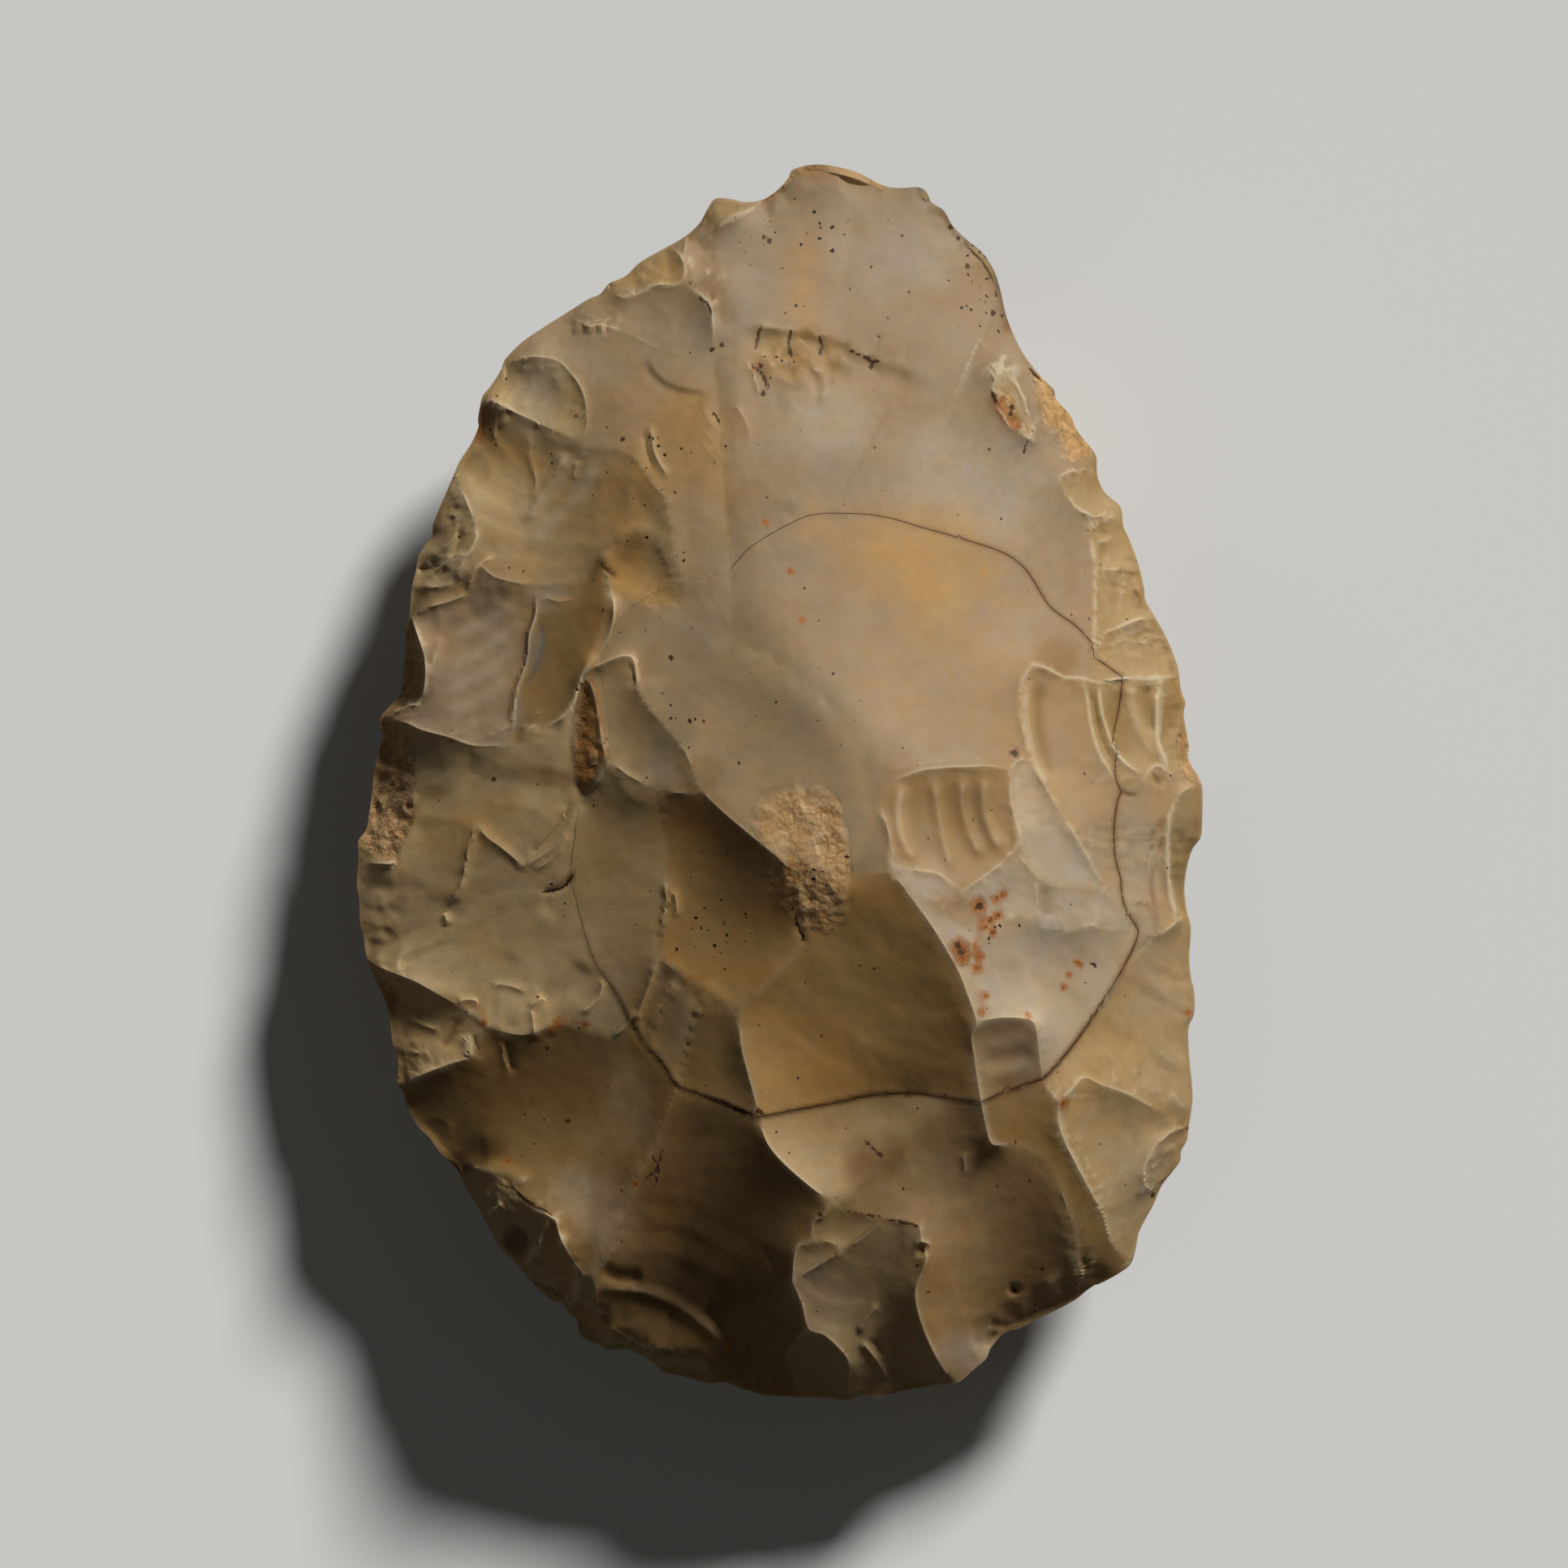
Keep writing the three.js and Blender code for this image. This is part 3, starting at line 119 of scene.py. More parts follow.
# Ridges of the worked face: photo pixels and millimetres above the cutting edge. Lines that share
# an end meet there, and a height of 0 at an end is a place on the cutting edge.
FACE_RIDGES = {
    "tip_chip": [(940, 246, 0), (915, 263, 2), (893, 272, 1.8), (880, 285, 1.7), (866, 272, 0)],
    "rippled_chip": [(825, 303, 0), (838, 316, 2.6), (844, 335, 4), (840, 350, 4.4), (810, 352, 3.6),
        (790, 361, 3), (766, 367, 2.2), (752, 352, 0)],
    "white_scar_e": [(840, 350, 4.4), (860, 362, 5.6), (874, 378, 6.8), (878, 400, 7.6), (880, 437, 8.6)],
    "white_scar_s": [(700, 384, 0), (722, 402, 2.6), (744, 402, 3.6), (780, 414, 5), (816, 431, 6.6),
        (850, 437, 7.8), (880, 437, 8.6)],
    "plateau_w": [(880, 437, 8.6), (884, 480, 10.2), (887, 530, 11.8), (892, 590, 13.6), (897, 650, 15.4),
        (902, 720, 17.3), (905, 790, 19)],
    "halfround_arc": [(621, 448, 0), (650, 440, 1.8), (685, 444, 3.2), (702, 459, 4.2), (714, 475, 4.8),
        (722, 495, 5.3), (724, 520, 5.6), (720, 540, 5.7), (716, 552, 5.7)],
    "halfround_low": [(594, 490, 0), (608, 494, 1.6), (630, 506, 2.7), (690, 534, 4.8), (712, 545, 5.5),
        (716, 552, 5.7)],
    "arch": [(716, 552, 5.7), (740, 552, 6.6), (764, 556, 7.6), (785, 567, 8.8), (802, 593, 10.2),
        (813, 605, 11)],
    "bright_ridge": [(813, 605, 11), (822, 620, 11.6), (828, 650, 12.4), (832, 690, 13.1),
        (838, 720, 13.6), (842, 744, 14)],
    "scoop": [(842, 744, 14), (831, 722, 13.4), (820, 695, 12.3), (808, 672, 11.4), (792, 656, 10.6),
        (775, 661, 9.9), (760, 672, 9.2), (748, 684, 8.8), (745, 702, 8.8), (748, 722, 9.2),
        (760, 735, 10.4), (790, 744, 12.2), (820, 748, 13.5), (842, 744, 14)],
    "pits_edge": [(748, 684, 8.8), (739, 690, 8.2), (721, 713, 7.2), (690, 719, 6.2), (661, 721, 5.4)],
    "upper_left_s": [(661, 721, 5.4), (630, 717, 4.9), (608, 710, 4.3), (592, 698, 3.8), (583, 713, 3.5),
        (577, 733, 3.1)],
    "edge_chip_outer": [(561, 582, 0), (574, 615, 1.9), (584, 640, 2.6), (588, 660, 2.9), (578, 684, 3),
        (570, 697, 3.1), (583, 713, 3.5)],
    "edge_chip_inner": [(543, 626, 0), (560, 636, 1.3), (566, 648, 1.7), (562, 684, 2.1), (545, 697, 1.4),
        (518, 702, 0)],
    "edge_chip_low": [(583, 713, 3.5), (568, 717, 2.8), (550, 722, 2.1), (530, 724, 1.2), (508, 723, 0)],
    "left_scar_top": [(577, 733, 3.1), (555, 741, 2.5), (525, 750, 1.5), (503, 762, 0)],
    "rind_bevel": [(506, 756, 0), (514, 779, 2.2), (524, 812, 3), (524, 845, 3.1), (516, 866, 2.8),
        (496, 889, 2.2)],
    "terrace_w": [(661, 721, 5.4), (661, 756, 5.6), (653, 782, 5.7), (650, 815, 5.9), (639, 843, 6.2),
        (634, 866, 6.6), (633, 917, 7.6)],
    "left_scar_s": [(633, 917, 7.6), (588, 919, 6.4), (553, 908, 5.2), (520, 899, 3.8), (496, 889, 2.2),
        (470, 893, 0)],
    "rind_bevel_low": [(496, 889, 2.2), (506, 915, 2.3), (511, 950, 2.3), (510, 990, 2.3),
        (505, 1025, 2.3), (490, 1060, 2.1), (470, 1064, 1.5), (443, 1060, 0)],
    "terrace_e": [(745, 702, 8.8), (750, 723, 10.2), (757, 745, 11), (754, 775, 11), (740, 803, 10.8),
        (721, 828, 10.6), (708, 864, 10.3), (695, 884, 9.8), (675, 894, 9), (655, 897, 8.3),
        (645, 915, 7.9), (633, 917, 7.6)],
    "flap_n": [(721, 828, 10.6), (740, 820, 12.1), (756, 813, 13), (772, 809, 13.6), (782, 815, 14),
        (787, 851, 15)],
    "flap_e": [(787, 851, 15), (805, 878, 16.2), (830, 905, 17.7), (846, 928, 18.8)],
    "gash_e": [(721, 828, 10.6), (731, 850, 11.9), (738, 880, 12.5), (742, 910, 13.1), (748, 938, 13.8)],
    "gash_w": [(721, 828, 10.6), (713, 860, 10.2), (706, 895, 10), (704, 930, 10), (708, 960, 10.3),
        (722, 978, 10.8)],
    "gash_s": [(722, 978, 10.8), (735, 965, 12.6), (748, 938, 13.8)],
    "crescent": [(722, 978, 10.8), (710, 990, 10.5), (675, 1039, 8.9), (650, 1063, 7.7)],
    "left_mid_s": [(650, 1063, 7.7), (640, 1066, 7.3), (620, 1050, 6.8), (599, 1033, 6.2),
        (586, 1016, 5.6)],
    "left_mid_ridge": [(586, 1016, 5.6), (578, 1044, 5.2), (571, 1084, 4.6), (560, 1108, 4)],
    "main_ridge": [(846, 928, 18.8), (856, 950, 19.4), (866, 974, 20), (895, 1003, 21.3), (959, 1056, 24),
        (979, 1069, 24.6), (1010, 1070, 25.3), (1048, 1073, 25.9), (1094, 1075, 26.2), (1125, 1110, 25.5),
        (1150, 1145, 24.8), (1176, 1189, 23.6), (1186, 1212, 22.9), (1201, 1257, 21.4),
        (1195, 1272, 20.6), (1199, 1303, 19), (1207, 1356, 16.6)],
    "flap_s": [(866, 974, 20), (840, 977, 18.6), (813, 973, 17.2), (780, 958, 15.6), (760, 944, 14.5),
        (748, 938, 13.8)],
    "centre_w": [(813, 973, 17.2), (820, 1010, 16.1), (823, 1045, 15.5), (821, 1084, 15.1),
        (818, 1122, 14.6), (813, 1150, 14.2), (812, 1180, 14)],
    "trough_w": [(812, 1180, 14), (800, 1215, 12.6), (781, 1262, 10.6)],
    "trough_e": [(812, 1180, 14), (825, 1188, 14.4), (836, 1201, 14.6), (822, 1228, 13.2),
        (808, 1255, 12), (797, 1280, 11)],
    "centre_s": [(836, 1201, 14.6), (850, 1222, 15.4), (877, 1237, 16.4), (908, 1243, 17.4)],
    "centre_e": [(979, 1069, 24.6), (980, 1100, 23.4), (986, 1130, 22.4), (990, 1155, 21.6),
        (984, 1170, 21), (960, 1196, 19.8), (938, 1220, 18.6), (908, 1243, 17.4)],
    "dark_w": [(908, 1243, 17.4), (912, 1270, 17.3), (915, 1295, 17), (933, 1362, 16.3),
        (935, 1374, 16.1)],
    "crack_sw": [(781, 1262, 10.6), (797, 1283, 11), (813, 1305, 11.9), (837, 1336, 13.2),
        (867, 1348, 13.9), (900, 1360, 14.9), (935, 1374, 16.1)],
    "small_low": [(837, 1336, 13.2), (846, 1300, 14.2), (853, 1265, 15), (860, 1228, 15.8)],
    "dark_s": [(935, 1374, 16.1), (984, 1365, 15), (1035, 1356, 14.5), (1073, 1348, 14.6),
        (1124, 1346, 15.2), (1165, 1351, 16), (1207, 1356, 16.6)],
    "ledge": [(781, 1262, 10.6), (766, 1275, 9.6), (752, 1277, 9), (720, 1268, 8.1), (688, 1260, 7.5),
        (657, 1272, 6.7), (639, 1274, 6.3), (615, 1268, 5.7), (596, 1261, 5.2), (578, 1245, 4.6),
        (565, 1238, 4.2)],
    "ledge_n": [(565, 1238, 4.2), (540, 1224, 3.6), (515, 1210, 2.8), (490, 1200, 1.9), (470, 1192, 1),
        (453, 1182, 0)],
    "ledge_w": [(596, 1261, 5.2), (591, 1280, 4.6), (590, 1302, 4.2)],
    "lowleft_n": [(590, 1302, 4.2), (570, 1306, 3.7), (553, 1311, 3.1), (522, 1323, 1.9), (492, 1337, 0)],
    "grey_e": [(837, 1336, 13.2), (823, 1372, 12), (806, 1415, 10.6), (791, 1440, 9.8), (774, 1478, 8.6),
        (754, 1514, 7.5), (739, 1542, 6.6), (731, 1578, 5.4)],
    "grey_s": [(563, 1440, 0), (585, 1438, 1.1), (604, 1441, 1.9), (620, 1450, 2.7), (634, 1463, 3.7),
        (655, 1482, 5.1), (676, 1496, 6.3), (686, 1502, 6.7)],
    "crumble": [(686, 1502, 6.7), (692, 1525, 6.8), (703, 1545, 6.2), (716, 1565, 5.7), (731, 1578, 5.4)],
    "butt_a": [(634, 1463, 3.7), (620, 1480, 2.9), (608, 1491, 2), (597, 1500, 0)],
    "butt_b": [(676, 1496, 6.3), (668, 1520, 5), (660, 1540, 3.7), (646, 1565, 0)],
    "butt_c": [(716, 1565, 5.7), (712, 1582, 4), (697, 1605, 0)],
    "butt_d": [(731, 1578, 5.4), (736, 1600, 4), (741, 1630, 1.9), (738, 1656, 0)],
    "triangle_w": [(935, 1374, 16.1), (945, 1405, 15.9), (966, 1431, 15.5), (999, 1460, 14.9),
        (1023, 1477, 14.3)],
    "triangle_e": [(1023, 1477, 14.3), (1050, 1462, 13.9), (1085, 1430, 14), (1115, 1395, 14.6),
        (1145, 1362, 15.6), (1150, 1349, 15.8)],
    "facet_w": [(1023, 1477, 14.3), (1013, 1497, 13.4), (1001, 1503, 13), (999, 1527, 12.1),
        (981, 1536, 11.7), (976, 1576, 10.3)],
    "facet_n": [(1023, 1477, 14.3), (1043, 1489, 13), (1086, 1500, 11.8), (1110, 1502, 11.4),
        (1133, 1510, 10.9)],
    "facet_mid": [(999, 1527, 12.1), (1018, 1527, 11.9), (1030, 1532, 11.5), (1043, 1536, 11)],
    "facet_s": [(976, 1576, 10.3), (1028, 1545, 11), (1043, 1536, 11), (1060, 1525, 11.2),
        (1075, 1512, 11.5), (1086, 1500, 11.8)],
    "butt_w": [(976, 1576, 10.3), (988, 1605, 8.6), (996, 1635, 6.9), (1015, 1643, 6), (1033, 1659, 4.7),
        (1046, 1680, 2.8), (1043, 1725, 0)],
    "butt_w2": [(996, 1635, 6.9), (980, 1652, 4.8), (972, 1670, 3.4), (980, 1695, 1.7), (983, 1721, 0)],
    "butt_e": [(1133, 1510, 10.9), (1135, 1530, 10.3), (1140, 1548, 9.6), (1131, 1575, 8.3),
        (1127, 1595, 7.4), (1135, 1630, 5.3), (1152, 1669, 2.7), (1174, 1704, 0)],
    "butt_low": [(741, 1630, 1.9), (754, 1636, 2.2), (779, 1650, 2), (802, 1662, 1.8), (836, 1664, 2),
        (858, 1672, 1.7), (870, 1684, 1.1), (882, 1704, 0)],
    "strip_w": [(1207, 1356, 16.6), (1213, 1384, 15), (1222, 1408, 13.9), (1252, 1407, 12.3),
        (1281, 1426, 10.8), (1298, 1446, 9.6), (1311, 1480, 7.8), (1323, 1513, 5.8), (1327, 1546, 3.8),
        (1331, 1569, 2.3), (1321, 1603, 0)],
    "strip_e": [(1303, 1358, 12.8), (1302, 1380, 12.3), (1311, 1407, 11.1), (1328, 1440, 9.1),
        (1344, 1470, 7), (1361, 1503, 4.6), (1368, 1529, 3), (1392, 1560, 0)],
    "nodule_link": [(1283, 1328, 13.4), (1292, 1342, 13.1), (1303, 1358, 12.8)],
    "fan_n": [(1303, 1358, 12.8), (1320, 1340, 11.8), (1334, 1326, 10.8), (1357, 1336, 8.8),
        (1385, 1346, 6.4), (1416, 1362, 3.6), (1465, 1387, 0)],
    "edge_notch": [(1464, 1392, 0), (1448, 1392, 1.3), (1430, 1406, 2.3), (1413, 1428, 2.9),
        (1408, 1450, 2.6), (1413, 1463, 1.8), (1430, 1463, 0)],
    "crack_se": [(1207, 1356, 16.6), (1232, 1345, 15.2), (1260, 1335, 14.1), (1283, 1328, 13.4)],
    "crack_e": [(1283, 1328, 13.4), (1298, 1313, 12.6), (1319, 1288, 11.2), (1347, 1249, 9.2),
        (1380, 1196, 7.1), (1398, 1160, 6), (1401, 1142, 5.8)],
    "rect_n": [(1201, 1257, 21.4), (1232, 1252, 19.9), (1265, 1254, 18), (1274, 1264, 17.2),
        (1278, 1293, 15.4), (1283, 1328, 13.4)],
    "pale_s": [(1176, 1189, 23.6), (1200, 1165, 22.2), (1222, 1142, 20.9), (1242, 1131, 19.8),
        (1263, 1129, 18.4), (1275, 1137, 17.4), (1293, 1143, 16), (1319, 1144, 13.9), (1339, 1139, 12.2),
        (1365, 1143, 9.6), (1401, 1142, 5.8)],
    "pale_n": [(1184, 1098, 23.2), (1207, 1082, 22.2), (1232, 1064, 21), (1247, 1051, 20.2),
        (1273, 1077, 18.2), (1293, 1090, 16.3), (1320, 1093, 13.9), (1349, 1096, 11.4),
        (1365, 1103, 9.9)],
    "ribbed_s": [(1094, 1050, 26.2), (1112, 1066, 25.8), (1130, 1072, 25.3), (1156, 1077, 24.3),
        (1184, 1098, 23.2)],
    "ribbed_link": [(1094, 1075, 26.2), (1093, 1062, 26.3), (1094, 1050, 26.2)],
    "ribbed_w": [(1094, 1050, 26.2), (1094, 1023, 26), (1086, 1000, 25.7), (1084, 982, 25.4),
        (1095, 966, 25), (1112, 957, 24.6), (1137, 949, 23.8), (1165, 946, 22.8), (1194, 945, 21.7),
        (1214, 944, 20.8), (1242, 947, 19.4)],
    "ribbed_e": [(1242, 947, 19.4), (1243, 988, 19.7), (1250, 1015, 19.8), (1254, 1033, 20),
        (1247, 1051, 20.2)],
    "hinge_gap": [(1242, 947, 19.4), (1256, 936, 18.4), (1269, 938, 17.2)],
    "hinge_w": [(1270, 820, 15.2), (1259, 838, 16), (1252, 866, 16.7), (1258, 899, 17.2),
        (1269, 938, 17.2), (1288, 975, 16.3), (1309, 1008, 15), (1329, 1041, 13.3), (1347, 1072, 11.5),
        (1365, 1103, 9.9), (1385, 1124, 7.8), (1401, 1142, 5.8)],
    "hinge_n": [(1270, 820, 15.2), (1288, 825, 14.2), (1309, 835, 12.7), (1329, 836, 11.3),
        (1354, 841, 9.4), (1379, 837, 7.2), (1405, 837, 5.2), (1431, 836, 2.8), (1453, 834, 0)],
    "edge_line_e": [(1350, 637, 3.8), (1342, 646, 4.4), (1341, 665, 4.8), (1347, 690, 5.2),
        (1348, 725, 6.2), (1348, 760, 7.4), (1345, 795, 8.8), (1348, 822, 9.3), (1354, 841, 9.4)],
    "edge_cross1": [(1347, 700, 5.5), (1375, 703, 3), (1404, 705, 0)],
    "edge_cross2": [(1346, 785, 8.4), (1375, 775, 5.4), (1400, 765, 3), (1423, 760, 0)],
    "small_gloss": [(1351, 577, 0), (1322, 581, 3.8), (1305, 590, 5.2), (1309, 606, 5.4),
        (1320, 622, 5.2), (1332, 634, 4.8), (1350, 637, 3.8), (1361, 632, 2.4), (1366, 612, 0)],
    "notch": [(1244, 457, 5.4), (1228, 465, 6.6), (1222, 480, 7), (1226, 497, 7.3), (1232, 512, 7.4),
        (1245, 529, 7.3), (1268, 542, 6.6), (1267, 517, 5.8), (1259, 490, 5.2), (1250, 470, 5),
        (1244, 457, 5.4)],
    "ribs_w": [(1329, 836, 11.3), (1335, 846, 10.9), (1339, 866, 10.7), (1343, 895, 10.5),
        (1350, 920, 10.1), (1361, 943, 9.3), (1378, 968, 8.2), (1398, 975, 6.8), (1408, 960, 6),
        (1424, 943, 4.8), (1440, 952, 3.4), (1466, 940, 0)],
    "ribs_e": [(1431, 836, 2.8), (1425, 865, 3.6), (1424, 900, 4.1), (1429, 925, 4), (1440, 952, 3.4)],
    "edge_ridge_e": [(1479, 968, 0), (1462, 972, 1.8), (1447, 985, 3), (1439, 1013, 3.6),
        (1437, 1050, 3.6), (1440, 1102, 3.2), (1450, 1136, 2.4)],
    "tan_n": [(1401, 1142, 5.8), (1425, 1152, 4.2), (1450, 1136, 2.4), (1463, 1126, 0)],
    "soft_top": [(905, 790, 19), (940, 808, 20.6), (980, 835, 22.2), (1018, 868, 23.5), (1048, 908, 24.6),
        (1066, 955, 25.3), (1072, 1010, 25.8), (1064, 1045, 25.9), (1048, 1073, 25.9)],
}

# Ridges of the reverse face, drawn through the stone as seen from the worked face. The photograph
# doesn't show them.
REVERSE_RIDGES = {
    "rest_border": [(840, 640, -17), (905, 652, -17), (980, 600, -17), (1040, 650, -17), (1110, 650, -17),
        (1128, 730, -17), (1180, 800, -17), (1160, 890, -17), (1190, 980, -17), (1128, 1060, -17),
        (1120, 1150, -17), (1040, 1165, -17), (980, 1240, -17), (905, 1180, -17), (830, 1180, -17),
        (812, 1095, -17), (750, 1020, -17), (786, 910, -17), (760, 800, -17), (822, 735, -17),
        (840, 640, -17)],
    "rest_upper": [(840, 640, -17), (885, 740, -17), (930, 860, -17)],
    "rest_right": [(1180, 800, -17), (1090, 850, -17), (1000, 835, -17), (930, 860, -17)],
    "rest_middle": [(930, 860, -17), (905, 920, -17), (925, 980, -17)],
    "rest_lower": [(925, 980, -17), (965, 1050, -17), (955, 1140, -17), (980, 1240, -17)],
    "rest_left": [(925, 980, -17), (840, 985, -17), (750, 1020, -17)],
    "tip_left": [(840, 640, -17), (800, 590, -15.6), (785, 520, -12.8), (745, 465, -9.5),
        (720, 400, -4.5), (692, 390, 0)],
    "tip": [(980, 600, -17), (1000, 520, -15), (985, 440, -12.5), (1012, 370, -9.6), (1000, 300, -6),
        (1015, 205, 0)],
    "tip_right": [(1110, 650, -17), (1160, 590, -14.8), (1180, 540, -12.5), (1222, 500, -9),
        (1236, 470, -6), (1270, 450, 0)],
    "right_upper": [(1180, 800, -17), (1240, 790, -14.6), (1290, 745, -11.8), (1330, 735, -8.4),
        (1365, 708, -4.5), (1403, 700, 0)],
    "right": [(1190, 980, -17), (1250, 1010, -14.8), (1310, 990, -12), (1360, 1020, -9.4),
        (1400, 1012, -7), (1480, 1018, 0)],
    "right_lower": [(1120, 1150, -17), (1180, 1175, -15.2), (1240, 1240, -13), (1315, 1270, -10.2),
        (1370, 1325, -7), (1468, 1345, 0)],
    "butt": [(980, 1240, -17), (1000, 1320, -15.8), (1030, 1400, -14), (1025, 1480, -11.2),
        (1050, 1560, -8), (1075, 1722, 0)],
    "butt_left": [(830, 1180, -17), (800, 1260, -14.9), (740, 1310, -12.7), (715, 1390, -9.4),
        (665, 1445, -6), (600, 1508, 0)],
    "left": [(750, 1020, -17), (690, 1060, -14.4), (630, 1055, -11.7), (580, 1085, -8.8), (530, 1090, -6),
        (442, 1095, 0)],
    "left_upper": [(760, 800, -17), (700, 780, -14.6), (655, 735, -12), (600, 725, -8.4), (560, 690, -5),
        (515, 695, 0)],
    "cross_tip_left": [(720, 400, -4.5), (800, 395, -6.5), (865, 330, -4), (872, 258, 0)],
    "cross_tip": [(1000, 300, -6), (1080, 330, -7.5), (1140, 300, -4), (1165, 265, 0)],
    "cross_right_upper": [(1236, 470, -6), (1275, 540, -7.6), (1325, 600, -6.6), (1365, 708, -4.5)],
    "cross_right": [(1365, 708, -4.5), (1362, 800, -7.4), (1400, 880, -6.6), (1400, 1012, -7)],
    "cross_right_lower": [(1400, 1012, -7), (1385, 1150, -6), (1466, 1190, 0)],
    "cross_butt_right": [(1370, 1325, -7), (1345, 1400, -8.2), (1285, 1470, -8), (1205, 1590, -6.5),
        (1180, 1703, 0)],
    "cross_butt": [(1050, 1560, -8), (970, 1555, -9), (900, 1590, -8), (820, 1530, -8.4),
        (760, 1520, -7.5), (665, 1445, -6)],
    "cross_left": [(665, 1445, -6), (590, 1375, -6.2), (570, 1300, -7), (525, 1200, -6), (530, 1090, -6)],
    "cross_left_upper": [(530, 1090, -6), (560, 1000, -7.6), (540, 900, -6.6), (575, 790, -7.4),
        (560, 690, -5)],
}

# Ripples of the reverse face: the scar, where the blow fell, and spacing and height in millimetres
REVERSE_RIPPLES = [
    ((880, 480), (925, 235), 4.2, 0.07), ((1070, 480), (1110, 225), 3.8, 0.06),
    ((1220, 650), (1330, 520), 3.6, 0.05), ((1270, 870), (1470, 850), 4.6, 0.08),
    ((1280, 1120), (1475, 1100), 4.0, 0.06), ((1150, 1400), (1260, 1640), 5.0, 0.08),
    ((880, 1350), (900, 1700), 5.2, 0.09), ((680, 1250), (500, 1350), 4.2, 0.07),
    ((650, 900), (470, 890), 4.4, 0.07), ((700, 600), (590, 500), 3.6, 0.05),
]

# Hinge steps of the reverse face, where a flake broke off short
REVERSE_STEPS = [
    [(760, 860), (705, 900), (670, 960), (660, 1010)],
    [(1180, 1290), (1130, 1330), (1060, 1345)],
    [(1262, 690), (1230, 665), (1215, 620)],
]

# Hollow of a scar where it isn't the usual share of its size: a place inside the scar and the sag
# in millimetres. A sag below zero is an old surface that bulges.
FACE_HOLLOWS = {
    "old_surface": (1050, 600, -1.4),
    "south_west_slope": (900, 900, 0.6),
    "upper_left": (650, 620, 1.4),
    "edge_fold": (575, 655, -0.15),
    "edge_fold_inner": (548, 665, -0.5),
    "edge_fold_low": (548, 706, -0.4),
    "scoop": (790, 700, 0.7),
    "left_rippled": (580, 820, 1.2),
    "terrace": (695, 800, 0.8),
    "flap": (780, 890, 0.5),
    "gash": (722, 900, 0.3),
    "left_middle": (560, 960, 1.0),
    "left_face": (520, 1110, 0.5),
    "butt_corner": (610, 1478, -0.3),
    "butt_fold": (642, 1508, -0.2),
    "left_low": (680, 1120, 0.7),
    "centre": (890, 1100, 0.9),
    "dark": (1060, 1220, 0.6),
    "grey": (690, 1380, 2.1),
    "banded": (850, 1500, 1.2),
    "triangle": (1020, 1410, 1.2),
    "butt_right": (1220, 1520, 1.2),
    "butt_middle": (1070, 1610, 1.5),
    "fan": (1370, 1430, 1.5),
    "right_tan": (1400, 1280, 0.8),
    "grey_white": (1290, 1210, 1.0),
    "pale_band": (1250, 1095, 0.3),
    "ribbed": (1170, 1010, 1.3),
    "hinge": (1340, 1000, 1.6),
}
REVERSE_HOLLOWS = {
    "rest_upper": (1000, 740, 0.9),
    "rest_right": (1060, 1000, 1.1),
    "rest_lower": (870, 1100, 0.7),
    "rest_left": (840, 860, 0.8),
}

# Hairline crack round the lens, clockwise from where it fades in at the upper left
CRACK = [
    (892, 707), (920, 680), (941, 665), (964, 652), (997, 637), (1035, 634), (1086, 638), (1137, 652),
    (1180, 664), (1232, 681), (1258, 698), (1273, 718), (1293, 749), (1324, 772), (1342, 792),
    (1344, 805), (1354, 815), (1375, 830), (1381, 836), (1377, 873), (1370, 908), (1374, 924),
    (1372, 954), (1379, 975), (1375, 988), (1371, 1018), (1372, 1054), (1379, 1082), (1380, 1097),
    (1385, 1118), (1400, 1143), (1398, 1160), (1380, 1196), (1365, 1221), (1347, 1249), (1319, 1288),
    (1298, 1313), (1283, 1327), (1232, 1345), (1207, 1356), (1163, 1350), (1124, 1345), (1073, 1348),
    (1035, 1355), (984, 1365), (943, 1373), (925, 1372), (900, 1360), (867, 1348), (837, 1336),
    (813, 1305), (798, 1289), (777, 1255), (759, 1222), (736, 1189), (721, 1148), (711, 1110),
    (704, 1077), (708, 1039), (713, 1003), (724, 982), (743, 962), (752, 925), (750, 880), (743, 840),
    (744, 800), (775, 752), (830, 722),
]
# The stretch of the crack that the photograph doesn't show, by the place in the list where it starts
HEALED_FROM = 61
CRACK_MIDDLE = (1045, 1000)

